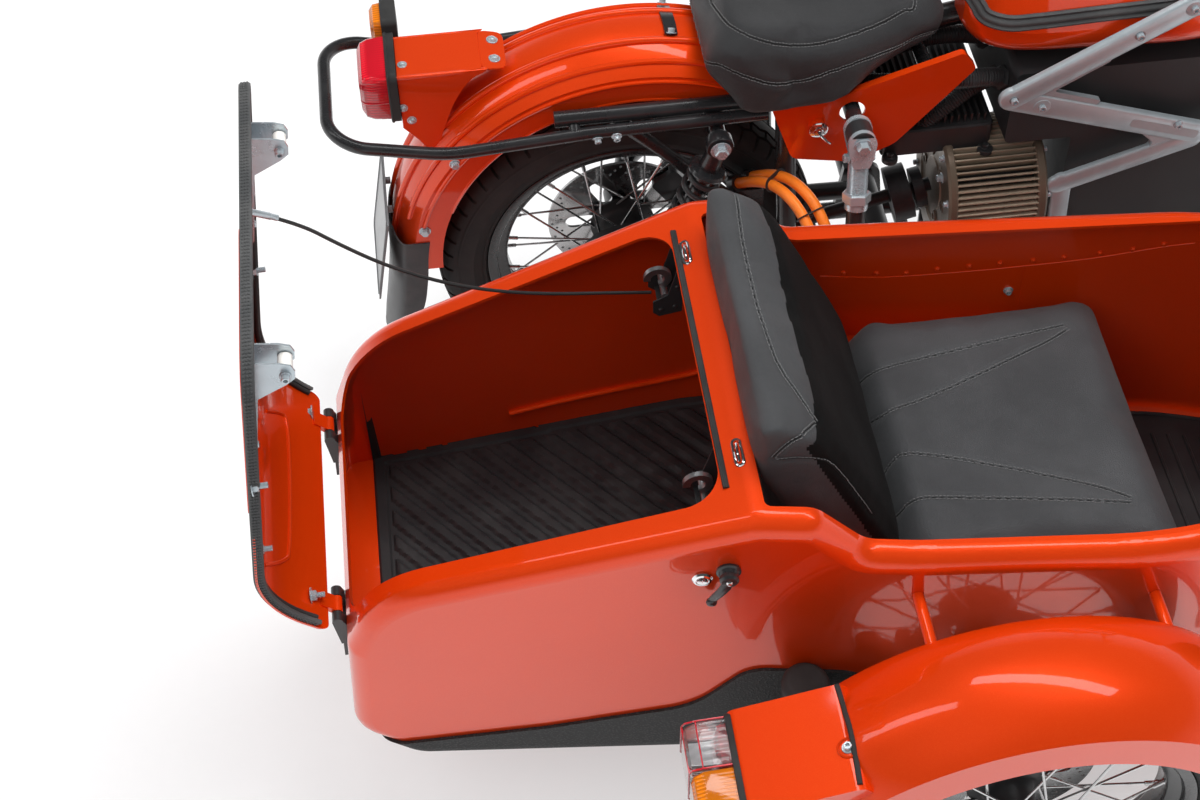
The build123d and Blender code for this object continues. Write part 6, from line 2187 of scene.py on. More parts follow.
@dataclass
class Trunk:
    """Inside of the trunk and its mouth: ribbed mat, rubber strip, latches, lock and handle."""

    span: Pair = (-456.0, 152.0)
    middle: float = BODY_MIDDLE
    floor: float = 322.3
    rise: float = 30.0
    rib_pitch: float = 40.0
    rib_share: float = 0.58
    rib_high: float = 5.5
    rib_slant: float = 0.87
    rib_flank: float = 0.10
    rib_fade: float = 4.0
    border: float = 24.0
    border_high: float = 3.4
    border_round: float = 3.0
    border_gap: float = 7.0
    sheet: float = 0.6
    under: float = 1.2
    cell: float = 3.4
    probe: float = 4.0
    over: float = 560.0
    latch_rows: tuple[float, ...] = (-470.0, -832.0)
    latch_place: Pair = (-6.0, 712.0)
    latch_half: float = 24.0
    latch_sheet: float = 2.4

    def wall(self, skin: Skin, x: float, way: float) -> float:
        """Gives how far the mat reaches to one side, up to where the wall has risen enough.

        Args:
            skin: The body's surface.
            x: Where along the vehicle, in millimetres.
            way: 1 for the left wall, -1 for the right one.

        Returns:
            The place across, in millimetres.
        """
        reach = self.middle
        for _ in range(80):
            found = skin.drop(at(x, reach + way * self.probe, self.over), DOWN)
            if found is None or found[0].z / MM > self.floor + self.rise:
                break
            reach += way * self.probe
        return reach

    def relief(self, along: float, across: float, edge: float) -> float:
        """Gives the mat's height over its own sheet.

        Args:
            along: Millimetres along the vehicle.
            across: Millimetres across it.
            edge: Millimetres to the mat's nearest edge.

        Returns:
            The height in millimetres.
        """
        if edge < self.border:
            raised = self.border_high * min(1.0, edge / self.border_round)
            return raised if edge < self.border - self.border_gap else self.sheet
        phase = ((along + across * self.rib_slant) / self.rib_pitch) % 1.0
        off = abs(phase - 0.5) - self.rib_share / 2
        slope = max(0.0, min(1.0, 0.5 - off / self.rib_flank))
        fade = min(1.0, (edge - self.border) / self.rib_fade)
        return self.sheet + self.rib_high * slope * slope * (3 - 2 * slope) * fade

    def build_mat(self) -> None:
        """Makes the mat as one sheet laid over the floor and up the walls' feet, with long slanting ribs."""
        skin = Skin([node_object("sidecar_body")])
        mould = Mould()
        first, last = self.span
        rows = round((last - first) / self.cell)
        stations = [first + (last - first) * row / rows for row in range(rows + 1)]
        limits = [(self.wall(skin, x, -1.0), self.wall(skin, x, 1.0)) for x in stations]
        windows = [limits[max(0, row - 6) : row + 7] for row in range(rows + 1)]
        near = [sum(pair[0] for pair in window) / len(window) for window in windows]
        far = [sum(pair[1] for pair in window) / len(window) for window in windows]
        columns = round((sorted(far)[rows // 2] - sorted(near)[rows // 2]) / self.cell)
        grid = []
        for row, x in enumerate(stations):
            line = []
            for column in range(columns + 1):
                y = near[row] + (far[row] - near[row]) * column / columns
                edge = min(x - first, last - x, y - near[row], far[row] - y)
                found = skin.drop(at(x, y, self.over), DOWN)
                ground, normal = found if found is not None else (at(x, y, self.floor), UP)
                high = self.under + self.relief(x, y, edge)
                line.append(mould.mesh.verts.new(ground + normal * high * MM))
            grid.append(line)
        for above, below in zip(grid, grid[1:]):
            for index in range(columns):
                mould.mesh.faces.new((above[index], below[index], below[index + 1], above[index + 1]))
        thing = mould.piece("trunk_mat_ribbed", MAT_RUBBER)
        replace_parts(thing, "trunk_mat")

    def build_seal(self) -> None:
        """Makes the lipped strip in front of the mouth."""
        mould = Mould()
        skin = Skin([node_object("sidecar_body")])
        start, end = at(15, -426, 830), at(15, -878, 830)
        line = skin.lay([start.lerp(end, step / 40) for step in range(41)], DOWN, 0.3)
        lip = [(-4, 0), (-4.2, 2.2), (-2, 3.8), (0.3, 3.2), (1.0, 4.0), (3.8, 3.4), (4.2, 0)]
        mould.sweep(line, lip, up=UP)
        thing = mould.piece("trunk_mouth_strip", RUBBER)
        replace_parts(thing, "trunk_seal")

    def build_latch(self, number: int, row: float) -> None:
        """Makes one rotary latch: two plates, a hooked claw between them, and rivets.

        Args:
            number: Which latch.
            row: Its middle across the mouth.
        """
        plates, claw = Mould(), Mould()
        middle = at(self.latch_place[0], row, self.latch_place[1])
        half, sheet = self.latch_half, self.latch_sheet
        ahead, up, side = AHEAD, UP, LEFT
        back = [
            (24.5, 52), (24.5, -32), (-8, -38), (-17, -30), (-17, -8), (-6, -2), (4, 4), (10, 26), (16, 50)
        ]
        for shift in (-half - sheet, half):
            plates.slab(
                [middle + (ahead * x + up * z + side * shift) * MM for x, z in back], side * sheet * MM, 0.6
            )
        foot = ((24, -26), (24, 26), (-8, 26), (-8, -26))
        plates.slab([middle + (ahead * x + side * y + up * -32) * MM for x, y in foot], up * 2.2 * MM)
        for x, z in ((14, -20), (-6, -24), (17, 20)):
            plates.bolt(middle + (ahead * x + up * z - side * (half + sheet)) * MM, -side, 7, Head.DOME)
        thing = plates.piece(f"latch_plates_{number}", SATIN_BLACK, crease=30)
        if number == 1:
            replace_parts(thing, "trunk_hardware")
        hook = arc_points(middle + (ahead * -8.2 + up * 20.6 - side * 6) * MM, ahead, up, 15.0, -80, 190, 16)
        claw.sweep(hook, [(-5, -3.5), (5, -3.5), (5, 3.5), (-5, 3.5)], up=side)
        claw.lathe(middle - side * half * MM, side, [(5, 0), (5, 2 * half)], 14)
        claw.piece(f"latch_claw_{number}", CAST_ALLOY, crease=40)

    def build_lock(self) -> None:
        """Makes the chrome lock and the curved black lever handle on the outer wall."""
        run = Vector((600, -62, 0)).normalized()
        out = Vector((run.y, -run.x, 0))
        up = UP
        base = at(40, -950, 0)
        chrome, handle, bolts = Mould(), Mould(), Mould()
        lock = base + (run * -64 + up * 672 + out * 0.3) * MM
        barrel = [
            (13.5, 0), (13.5, 1.8), (11.5, 4.2), (8.8, 5.0), (8.4, 3.8), (7.6, 3.8), (7.4, 5.2), (3.0, 5.4)
        ]
        chrome.lathe(lock, out, barrel, 32)
        keyway = ((-0.8, -4.5), (0.8, -4.5), (0.8, 4.5), (-0.8, 4.5))
        chrome.slab([lock + (run * x + up * z + out * 5.2) * MM for x, z in keyway], out * 0.5 * MM)
        chrome.piece("trunk_lock", CHROME)
        pivot = base + (run * -31 + up * 688 + out * 0.3) * MM
        boss = [(16, 0), (16, 3), (13, 4.5), (11, 9), (12.5, 11), (12.5, 16), (10, 19), (4, 20)]
        handle.lathe(pivot, out, boss, 28)
        path = [(-31, 688, 14), (-35, 676, 16.5), (-42, 660, 15.5), (-49, 645, 13), (-52, 636, 12)]
        places = smooth_path([base + (run * x + up * z + out * y) * MM for x, z, y in path], 5)
        rings = []
        for index, point in enumerate(places):
            share = index / (len(places) - 1)
            wide, thick = 8.5 - 3.0 * share, 4.6 - 1.2 * share
            along = (places[min(index + 1, len(places) - 1)] - places[max(index - 1, 0)]).normalized()
            side = along.cross(out).normalized()
            lift = side.cross(along).normalized()
            ring = []
            for turn in (math.tau * step / 12 for step in range(12)):
                ring.append(point + (side * wide * math.cos(turn) + lift * thick * math.sin(turn)) * MM)
            rings.append(ring)
        handle.skin(rings)
        tip = places[-1]
        handle.lathe(tip - out * 4 * MM, out, [(4, 0), (6.4, 2), (7.4, 5), (6.4, 8), (3, 10)], 18)
        handle.piece("trunk_handle", BLACK)
        bolts.bolt(pivot + out * 19 * MM, out, 9, Head.DOME)
        bolts.lathe(pivot + out * 21 * MM, out, [(3.2, 0), (2.6, 1.4), (1.0, 1.8)], 14)
        bolts.piece("trunk_handle_screw", CHROME)

    def build(self) -> None:
        """Builds the trunk's trim."""
        self.build_mat()
        self.build_seal()
        for number, row in enumerate(self.latch_rows, 1):
            self.build_latch(number, row)
        self.build_lock()


def arc_points(
    middle: Vector, right: Vector, up: Vector, radius: float, first: float, last: float, steps: int
) -> list[Vector]:
    """Gives points on an arc.

    Args:
        middle: The arc's middle.
        right: Direction of angle 0.
        up: Direction of angle 90.
        radius: Radius in millimetres.
        first: First angle in degrees.
        last: Last angle in degrees.
        steps: Pieces of the arc.

    Returns:
        The arc's points.
    """
    turns = [math.radians(first + (last - first) * step / steps) for step in range(steps + 1)]
    return [middle + (right * math.cos(turn) + up * math.sin(turn)) * radius * MM for turn in turns]


def rounded(corners: Sequence[Pair], radius: float, steps: int = 6) -> list[Pair]:
    """Rounds an outline's corners.

    Args:
        corners: The outline's corners in order.
        radius: Distance from each corner where its curve starts.
        steps: Pieces of each curve.

    Returns:
        The rounded outline.
    """
    loop: list[Pair] = []
    count = len(corners)
    for index in range(count):
        before, corner, after = (Vector(corners[(index + step) % count]) for step in (-1, 0, 1))
        start = corner + (before - corner).normalized() * radius
        end = corner + (after - corner).normalized() * radius
        for step in range(steps + 1):
            share = step / steps
            point = start * (1 - share) ** 2 + corner * 2 * share * (1 - share) + end * share**2
            loop.append((point.x, point.y))
    return loop


# Fenders, lamps, dampers, frame and motor.


@dataclass
class RearFenderTrim:
    """Pressed ribs and rolled edges of the rear fender, its rubber flap and the plate's rim."""

    middle: Pair = (10.0, 385.0)
    first: float = 27.0
    last: float = -89.0
    ribs: Rows = (
        # distance across, radius, size
        (-66.0, 386.5, 5.0),
        (-85.0, 362.0, 4.0),
        (66.0, 386.5, 5.0),
        (85.0, 362.0, 4.0),
    )
    lips: Pairs = ((-83.5, 326.0), (83.5, 326.0))
    strap: Pairs = ((662, 6), (666, 16), (669, 26), (671, 36))
    flap_high: float = 448.0
    flap_low: float = 178.0
    skin_radius: float = 411.0
    flap_half: float = 88.0
    flap_crown: float = 26.0
    flap_lean: float = 26.0
    flap_thick: float = 3.2
    plate_top: Pair = (-397.5, 500.0)
    plate_foot: Pair = (-427.6, 334.0)
    plate_half: float = 88.0

    def arc(self, across: float, radius: float) -> list[Vector]:
        """Gives a line round the fender at a distance across and a radius."""
        turns = [math.radians(self.first + (self.last - self.first) * step / 70) for step in range(71)]
        return [
            at(self.middle[0] + radius * math.sin(turn), across, self.middle[1] + radius * math.cos(turn))
            for turn in turns
        ]

    def build_flap(self) -> None:
        """Makes the rubber flap that carries on the fender's crowned section and narrows to a round end."""
        mould = Mould()
        rows, columns = 22, 28
        grid = []
        for row in range(rows + 1):
            share = row / rows
            height = self.flap_high - (self.flap_high - self.flap_low) * share
            wide = max(0.04, (1.0 - max(0.0, (share - 0.45) / 0.55) ** 2.2) ** 0.5) * (1.0 - 0.10 * share)
            if height > self.middle[1]:
                foot = self.middle[0] - math.sqrt(self.skin_radius**2 - (height - self.middle[1]) ** 2)
            else:
                drop = ((self.middle[1] - height) / 200.0) ** 1.3
                foot = self.middle[0] - self.skin_radius - self.flap_lean * drop
            line = []
            for column in range(columns + 1):
                part = (2.0 * column / columns - 1.0) * wide * 1.42
                turn = max(-1.0, min(1.0, part)) * math.pi / 2
                y = self.flap_half * math.sin(turn)
                x = foot + self.flap_crown * (1.0 - math.cos(turn)) + max(0.0, abs(part) - 1.0) * 90.0
                line.append(mould.mesh.verts.new(at(x, -y, height)))
            grid.append(line)
        faces = []
        for above, below in zip(grid, grid[1:]):
            for index in range(columns):
                faces.append(
                    mould.mesh.faces.new((above[index], above[index + 1], below[index + 1], below[index]))
                )
        bmesh.ops.recalc_face_normals(mould.mesh, faces=mould.mesh.faces)
        bmesh.ops.solidify(mould.mesh, geom=mould.mesh.faces[:], thickness=self.flap_thick * MM)
        thing = mould.piece("mud_flap_curved", FLAP_RUBBER, crease=50)
        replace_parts(thing, "mud_flap")

    def build_strap(self) -> None:
        """Lays the black strap over the fender in front of the saddle's tail, with its two screws."""
        skin = Skin([node_object("rear_fender")])
        aim = Aim()
        spots = [aim.spot(skin, *pixel) for pixel in self.strap]
        path = [place + normal * 1.2 * MM for place, normal in spots]
        strap, screws = Mould(), Mould()
        strap.sweep(smooth_path(path, 6), [(-10, 0), (10, 0), (10, 3), (-10, 3)], up=spots[1][1])
        strap.piece("fender_strap", BLACK)
        for place, normal in (spots[0], spots[-1]):
            screws.bolt(place + normal * 4.2 * MM, normal, 11, Head.SOCKET, 16)
        screws.piece("fender_strap_screws", ZINC)

    def build(self) -> None:
        """Builds the ribs, the edges, the flap and the plate's rim."""
        mould = Mould()
        for across, radius, size in self.ribs:
            mould.rod(self.arc(across, radius)[:62], size, 10)
        for across, radius in self.lips:
            mould.rod(self.arc(across, radius)[:58], 3.4, 8)
        mould.piece("rear_fender_ribs", ORANGE)
        self.build_flap()
        plate = Mould()
        half = self.plate_half
        edges = (
            (half, self.plate_top),
            (-half, self.plate_top),
            (-half, self.plate_foot),
            (half, self.plate_foot),
        )
        corners = [at(x, y, z) for y, (x, z) in edges]
        loop = []
        for corner, after in zip(corners, corners[1:] + corners[:1]):
            loop += [corner.lerp(after, share) for share in (0.04, 0.5, 0.96)]
        plate.rod(loop, 1.6, 8, closed=True)
        for y in (34, -34):
            plate.bolt(at(-397.2, y, 482), Vector((-1, 0, 0.18)), 9, Head.DOME)
        plate.piece("number_plate_rim", PLATE_GREY)
        self.build_strap()


@dataclass
class Lamps:
    """Faceted tail lamp and indicator, and the sidecar's split lamp with its gaskets."""

    tail: Place = (-366.6, 0.0, 732.0)
    blinker: Place = (-369.3, 96.0, 758.0)
    side: Place = (-12.3, -1152.0, 517.0)

    def block(
        self, mould: Mould, foot: Place, stages: Sequence[tuple[float, float, float, float, float]]
    ) -> None:
        """Builds a lens from cross sections set one behind the other.

        Args:
            mould: The mould to add it to.
            foot: Middle of the lens' foot.
            stages: Depth, width, height, corner and drop of each section.
        """
        rings = []
        for depth, wide, high, corner, drop in stages:
            flat = [
                (-wide / 2, -high / 2), (wide / 2, -high / 2), (wide / 2, high / 2), (-wide / 2, high / 2)
            ]
            rings.append(
                [at(foot[0] - depth, foot[1] + y, foot[2] + z + drop) for y, z in rounded(flat, corner, 4)]
            )
        mould.skin(rings)

    def build_tail(self) -> None:
        """Makes the red tail lamp with its dividing ridge and gasket."""
        lens = Mould()
        stages = ((0, 104, 88, 10, 0), (26, 102, 86, 12, 0), (38, 96, 78, 12, 0), (44, 82, 62, 12, 0))
        self.block(lens, self.tail, stages)
        thing = lens.piece("tail_lamp_lens", RED_LENS, crease=20)
        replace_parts(thing, "tail_lamp")
        ridge = Mould()
        x, y, z = self.tail
        path = [
            at(x, y - 52.4, z - 6),
            at(x - 27, y - 51.6, z - 6),
            at(x - 38.4, y - 48.5, z - 6),
            at(x - 43.6, y - 41, z - 6),
        ]
        path += [Vector((point.x, 2 * at(0, y, 0).y - point.y, point.z)) for point in reversed(path)]
        ridge.rod(path, 1.0, 6)
        ridge.piece("tail_lamp_ridge", RED_LENS)
        gasket = Mould()
        flat = rounded([(-55, -47), (55, -47), (55, 47), (-55, 47)], 12, 5)
        gasket.rod([at(x + 1.5, y + a, z + b) for a, b in flat], 2.6, 8, closed=True)
        gasket.piece("tail_lamp_gasket", RUBBER)

    def build_blinker(self) -> None:
        """Makes the amber indicator's lens."""
        lens = Mould()
        self.block(lens, self.blinker, ((0, 54, 52, 9, 0), (11, 52, 50, 10, 0), (17, 42, 40, 12, 0)))
        thing = lens.piece("rear_indicator_lens", AMBER_LENS, crease=25)
        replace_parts(thing, "rear_indicator")

    def build_side(self) -> None:
        """Makes the sidecar's lamp: clear and amber halves, red edges, gaskets and the box's bolt."""
        x, y, z = self.side
        for name, shift, wide, finish in (
            ("clear", 35.0, 68.0, CLEAR_LENS), ("amber", -35.0, 68.0, AMBER_LENS)
        ):
            lens = Mould()
            stages = (
                (0, wide, 90, 5, 0),
                (40, wide - 1, 86, 6, 0),
                (54, wide - 6, 78, 8, 0),
                (58, wide - 16, 66, 8, 0),
            )
            self.block(lens, (x, y + shift, z), stages)
            thing = lens.piece(f"sidecar_lamp_{name}", finish, crease=20)
            if name == "clear":
                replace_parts(thing, "sidecar_lamp")
        inner = Mould()
        self.block(inner, (x, y + 35.0, z), ((1, 58, 80, 5, 0), (14, 52, 72, 6, 0), (20, 30, 46, 8, 0)))
        inner.piece("sidecar_lamp_red_core", RED_LENS, crease=30)
        edges = Mould()
        brow = [(0, 45), (40, 43), (54, 39), (58, 32)]
        foot = [(depth, -high) for depth, high in reversed(brow)]
        for side in (1.2, 68.6):
            edges.rod([at(x - depth, y + side, z + high) for depth, high in brow + foot], 1.3, 6)
        edges.rod([at(x - 57.6, y + a, z + 32) for a in (2, 68)], 1.3, 6)
        edges.rod([at(x - 40.5, y + a, z + 43.2) for a in (2, 68)], 1.0, 6)
        edges.piece("sidecar_lamp_red_edges", RED_LENS)
        gasket = Mould()
        flat = rounded([(-71, -48), (71, -48), (71, 48), (-71, 48)], 8, 5)
        loop = [at(x + 0.5, y + a, z + b) for a, b in flat]
        gasket.sweep(loop, [(-2.4, -4), (2.4, -4), (3.2, 0), (2.4, 4), (-2.4, 4)], closed=True, up=AHEAD)
        gasket.piece("sidecar_lamp_gasket", RUBBER)
        skin = Skin([node_object("sidecar_fender")])
        seam = Mould()
        line = [at(128 + 3 * math.sin(step / 20 * math.pi), -1079 - 7.0 * step, 640) for step in range(21)]
        laid = skin.lay(line, DOWN, 0.6)
        seam.rod(laid, 3.6, 8)
        seam.piece("sidecar_lamp_box_welt", RUBBER)
        dimple = Mould()
        place, normal = Aim().spot(skin, 848, 748)
        dimple.hoop(place, normal, [(14.0, -0.5), (14.0, 1.6), (12.4, 2.6), (11.0, 1.2), (10.6, -0.5)], 32)
        dimple.piece("sidecar_lamp_dimple", ORANGE)
        screw = Mould()
        screw.bolt(place, normal, 11, Head.SOCKET, 16)
        screw.piece("sidecar_lamp_screw", ZINC)

    def build(self) -> None:
        """Builds all the lamps."""
        self.build_tail()
        self.build_blinker()
        self.build_side()


@dataclass
class CoilDamper:
    """Coil-over damper: piston rod, body, wound spring, cups and eyes."""

    node: str
    pairs: tuple[tuple[Vector, Vector], ...]
    coil_radius: float
    rod_radius: float
    low_bore: float
    high_bore: float
    turns: float
    body: Body = Body.CHASSIS
    wire: float = 4.0
    spring_span: Pair = (0.19, 0.83)
    steps_a_turn: int = 22
    flat_turns: float = 0.8

    def build(self) -> None:
        """Builds every damper of the node."""
        shell, spring, bright = Mould(), Mould(), Mould()
        for low, high in self.pairs:
            run = (high - low).normalized()
            length = (high - low).length / MM
            first, last = (length * share for share in self.spring_span)
            piston = self.rod_radius * 0.55
            bright.lathe(low, run, [(piston, self.low_bore + 2), (piston, length * 0.6)], 16)
            upper = [
                (self.rod_radius, length * 0.42),
                (self.rod_radius, last),
                (self.coil_radius + 1, last),
                (self.coil_radius + 1.5, last + 3),
                (self.coil_radius - 2, last + 7),
                (self.rod_radius + 2, last + 9),
                (self.rod_radius, length - self.high_bore - 2),
            ]
            shell.lathe(low, run, upper, 32)
            cup = [
                (self.rod_radius, self.low_bore + 2),
                (self.coil_radius, first - 5),
                (self.coil_radius + 1, first - 2),
                (self.coil_radius, first),
                (self.rod_radius * 0.8, first),
            ]
            shell.lathe(low, run, cup, 32)
            right, up = square_to(run)
            radius = self.coil_radius - self.wire
            path = []
            steps = int(self.turns * self.steps_a_turn)
            for step in range(steps + 1):
                share = step / steps
                flat = min(share * self.turns, (1 - share) * self.turns, self.flat_turns) / self.flat_turns
                turn = math.tau * self.turns * share
                wound = share * (0.7 + 0.3 * flat) + 0.3 * share * (1 - flat)
                along = first + self.wire + (last - first - 2 * self.wire) * wound
                path.append(
                    low + run * along * MM + (right * math.cos(turn) + up * math.sin(turn)) * radius * MM
                )
            spring.rod(path, self.wire, 10)
            for eye, bore in ((low, self.low_bore), (high, self.high_bore)):
                ring = [
                    (bore + 0.3, -11),
                    (bore + 6, -11),
                    (bore + 7, -9),
                    (bore + 7, 9),
                    (bore + 6, 11),
                    (bore + 0.3, 11),
                ]
                shell.hoop(eye, LEFT, ring, 28)
        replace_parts(shell.piece(f"{self.node}_bodies", BLACK, self.body), self.node)
        spring.piece(f"{self.node}_springs", SATIN_BLACK, self.body)
        bright.piece(f"{self.node}_rods", CHROME, self.body)


def steering_place(ahead: float, left: float, high: float) -> Vector:
    """Gives a place square to the steering axis, sideways and along the axis, in millimetres."""
    x = STEERING_X + ahead * math.cos(FORK_RAKE) - high * math.sin(FORK_RAKE)
    return at(x, left, ahead * math.sin(FORK_RAKE) + high * math.cos(FORK_RAKE))


def front_pairs() -> tuple[tuple[Vector, Vector], ...]:
    """Gives the ends of the front dampers, as the CAD source works them out."""
    behind = STEERING_X - FRONT_AXLE[0]
    ahead = -behind * math.cos(FORK_RAKE) + AXLE_HIGH * math.sin(FORK_RAKE)
    high = behind * math.sin(FORK_RAKE) + AXLE_HIGH * math.cos(FORK_RAKE)
    return tuple(
        (steering_place(ahead - 22, y, high + 12), steering_place(52.0, y, 652.0)) for y in (95.0, -95.0)
    )


@dataclass
class StrutAndSwitch:
    """Upper strut's clevis, threaded rod and nut, the key switch, the damper's top bolt and cable ties."""

    top: Place = (340.0, -190.0, 688.0)
    foot: Place = (320.0, -350.0, 205.0)
    switch: Place = (286.0, -143.9, 668.0)
    damper_bolt: Place = (130.0, 164.0, 664.0)
    tied_legs: tuple[int, ...] = (1, 3, 6)
    tie_radius: float = 10.0

    def build_strut(self) -> None:
        """Dresses the strut's upper end in plated fittings."""
        mould = Mould()
        start, end = at(*self.top), at(*self.foot)
        run = (end - start).normalized()
        thread = [(15.2, 30)]
        high = 31.0
        while high < 92:
            thread += [(15.3, high), (16.1, high + 1.2)]
            high += 2.6
        mould.lathe(start, run, thread + [(15.2, 93)], 24)
        mould.lathe(start, run, [(20.0, 92), (22.6, 94), (22.6, 108), (20.0, 110)], 6)
        mould.lathe(start, run, [(18.0, 110), (18.6, 112), (18.6, 120), (16.0, 122)], 28)
        side = LEFT
        ahead = run.cross(side).normalized()
        for shift in (-21.0, 13.0):
            outline = arc_points(start + side * shift * MM, ahead, -run, 22.5, -10, 190, 14)
            outline += [
                start + side * shift * MM + (ahead * x + run * z) * MM
                for x, z in ((-16, 30), (-12, 38), (12, 38), (16, 30))
            ]
            mould.slab(outline, side * 8 * MM, 1.2)
        mould.piece("strut_clevis", ZINC)
        bolts = Mould()
        for way in (-1.0, 1.0):
            bolts.bolt(start + side * way * 21 * MM, side * way, 19, Head.HEX, 28)
        for way in (-1.0, 1.0):
            bolts.bolt(start + run * 34 * MM + ahead * 16 * way * MM, ahead * way, 13, Head.HEX, 18)
        x, y, z = self.damper_bolt
        for way in (-1.0, 1.0):
            bolts.bolt(at(x, way * y, z), side * way, 20, Head.HEX, 32)
        bolts.piece("strut_bolts", ZINC)

    def build_switch(self) -> None:
        """Makes the key switch: ring, barrel and toggle, without any lettering."""
        mould = Mould()
        foot, out = at(*self.switch), RIGHT
        mould.lathe(
            foot, out, [(15, 0), (15, 1.6), (12, 3.4), (9.2, 4), (8.8, 3), (7.4, 3), (7.2, 6), (3, 6.4)], 28
        )
        handle = [
            foot + (Vector((x, 0, z)) + out * y) * MM
            for x, z, y in ((0, 0, 5), (3, -3, 12), (9, -7, 19), (15, -11, 22))
        ]
        mould.rod(smooth_path(handle, 4), 2.4, 10)
        mould.piece("key_switch", CHROME)

    def ties(self) -> list[Thing]:
        """Makes the black ties round the two power cables."""
        found = []
        shift = Vector(POWER_SHIFT) * MM
        for number, leg in enumerate(self.tied_legs, 1):
            start, end = at(*POWER_ROUTE[leg]), at(*POWER_ROUTE[leg + 1])
            middle, run = (start + end) / 2, (end - start).normalized()
            over = shift - run * shift.dot(run)
            way = over.normalized()
            up = run.cross(way).normalized()
            half = over.length / MM / 2
            centre = middle + over / 2
            loop = [centre + (way * x + up * y) * MM for x, y in oblong(half, self.tie_radius)]
            mould = Mould()
            mould.sweep(loop, [(-3.0, -0.8), (3.0, -0.8), (3.0, 0.8), (-3.0, 0.8)], closed=True, up=run)
            mould.lathe(centre + up * self.tie_radius * MM, up, [(3.6, 0), (3.6, 4), (2.6, 5)], 8)
            found.append(mould.piece(f"cable_tie_{number}", PACK))
        return found

    def build(self) -> None:
        """Builds the strut's fittings and the switch."""
        self.build_strut()
        self.build_switch()


@dataclass
class TankStrip:
    """Ribbed rubber strip round the tank's sides and rear, and its filler cap."""

    pixels: Pairs = (
        (978, 4), (983, 13), (992, 19), (1011, 23), (1037, 21), (1071, 17), (1103, 13), (1146, 8),
        (1190, 2),
    )

    def build(self) -> None:
        """Lays the strip on the tank, mirrored to the left side."""
        skin = Skin([node_object("tank")])
        aim = Aim()
        right = [aim.spot(skin, *pixel)[0] for pixel in self.pixels]
        right = [right[0] + Vector((-0.012, 0.018, 0.012))] + right
        middle = at(0, 0, 0).y
        left = [Vector((point.x, 2 * middle - point.y, point.z)) for point in right]
        path = smooth_path(
            list(reversed(right)) + [Vector((right[0].x - 0.012, middle, right[0].z + 0.004))] + left, 8
        )
        rings = []
        for index, point in enumerate(path):
            hit, normal, _, _ = skin.tree.find_nearest(point)
            along = (path[min(index + 1, len(path) - 1)] - path[max(index - 1, 0)]).normalized()
            out = normal if normal.dot(point - at(780, 0, 850)) > 0 else -normal
            side = along.cross(out).normalized()
            shape = (
                (-13, -1), (-13, 3), (-10, 5.5), (-6, 3.2), (-2, 6.2), (2, 6.2), (6, 3.2),
                (10, 5.5), (13, 3), (13, -1),
            )
            rings.append([hit + (side * across + out * high) * MM for across, high in shape])
        mould = Mould()
        mould.skin(rings)
        strip = mould.piece("tank_rubber_strip", STRIP_RUBBER, crease=50)
        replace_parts(strip, "knee_pads")
        cap = Mould()
        cap.lathe(at(838, 0, 963.5), UP, [(33, 0), (34, 2), (34, 6), (31, 9), (12, 10), (4, 10)], 40)
        cap.piece("tank_cap", CHROME)


@dataclass
class BodyTrim:
    """Rivets, seams and tie slots of the sidecar's body, and the fender's pressed edges."""

    rivets: Pairs = (
        (843, 273), (876, 273), (906, 273), (937, 269), (969, 266), (1000, 263), (1033, 260),
        (1064, 257), (1100, 253), (1133, 249), (1164, 244),
    )
    lap: Pairs = ((820, 276), (886, 277), (971, 271), (1023, 266), (1086, 259), (1143, 250), (1195, 243))
    upright: Pairs = ((1023, 266), (1021, 285), (1019, 303))
    slots: Pairs = ((686, 253), (738, 453))
    slot_reach: float = 15.0
    slot_radius: float = 5.5
    slot_lift: float = 1.2
    slot_bow: float = 4.0
    bolt_pixel: Pair = (1008, 290)
    fender_span: Pair = (-85, 81)
    fender_ribs: Rows = (
        # place across, radius, size
        (-1234.4, 340, 3.4),
        (-1235.2, 316, 2.6),
        (-1233.8, 291, 4.0),
        (-1060, 339, 3.4),
    )

    def build(self) -> None:
        """Builds the body's trim."""
        skin = Skin([node_object("sidecar_body")])
        aim = Aim()
        rows = Mould()
        for pixel in self.rivets:
            place, normal = aim.spot(skin, *pixel)
            rows.bolt(place, normal, 9, Head.DOME)
        for line in (self.lap, self.upright):
            path = smooth_path([aim.spot(skin, *pixel)[0] for pixel in line], 6)
            rows.rod(skin.snap(path), 0.9, 6)
        rows.piece("cockpit_rivets", ORANGE)
        bolts = Mould()
        bolts.bolt(*aim.spot(skin, *self.bolt_pixel), 10, Head.SOCKET, 15)
        bolts.piece("cockpit_bolt", ZINC)
        loops = Mould()
        for pixel in self.slots:
            place, normal = aim.spot(skin, *pixel)
            ahead = AHEAD - normal * normal.x
            side = normal.cross(ahead.normalized()).normalized()
            lifted = place + normal * self.slot_lift * MM
            ring = oblong(self.slot_reach, self.slot_radius)
            loops.rod([lifted + (side * x + ahead * y) * MM for x, y in ring], 2.2, 8, closed=True)
            bridge = [
                (step, 1.0 + self.slot_bow * math.cos(step / 14 * math.pi / 2))
                for step in range(-14, 15, 2)
            ]
            loops.rod([place + (side * x + normal * z) * MM for x, z in bridge], 2.0, 8)
        loops.piece("tie_slots", CHROME)
        fender = Mould()
        x, _, z = SIDECAR_AXLE
        for y, radius, size in self.fender_ribs:
            first, last = self.fender_span
            turns = [math.radians(first + (last - first) * step / 80) for step in range(81)]
            line = [at(x + radius * math.sin(turn), y, z + radius * math.cos(turn)) for turn in turns]
            fender.rod(line, size, 8)
        fender.piece("sidecar_fender_ribs", ORANGE)


TRUSS_STANDOFFS = ((628, 695), (1000, 628), (720, 300), (1000, 300))


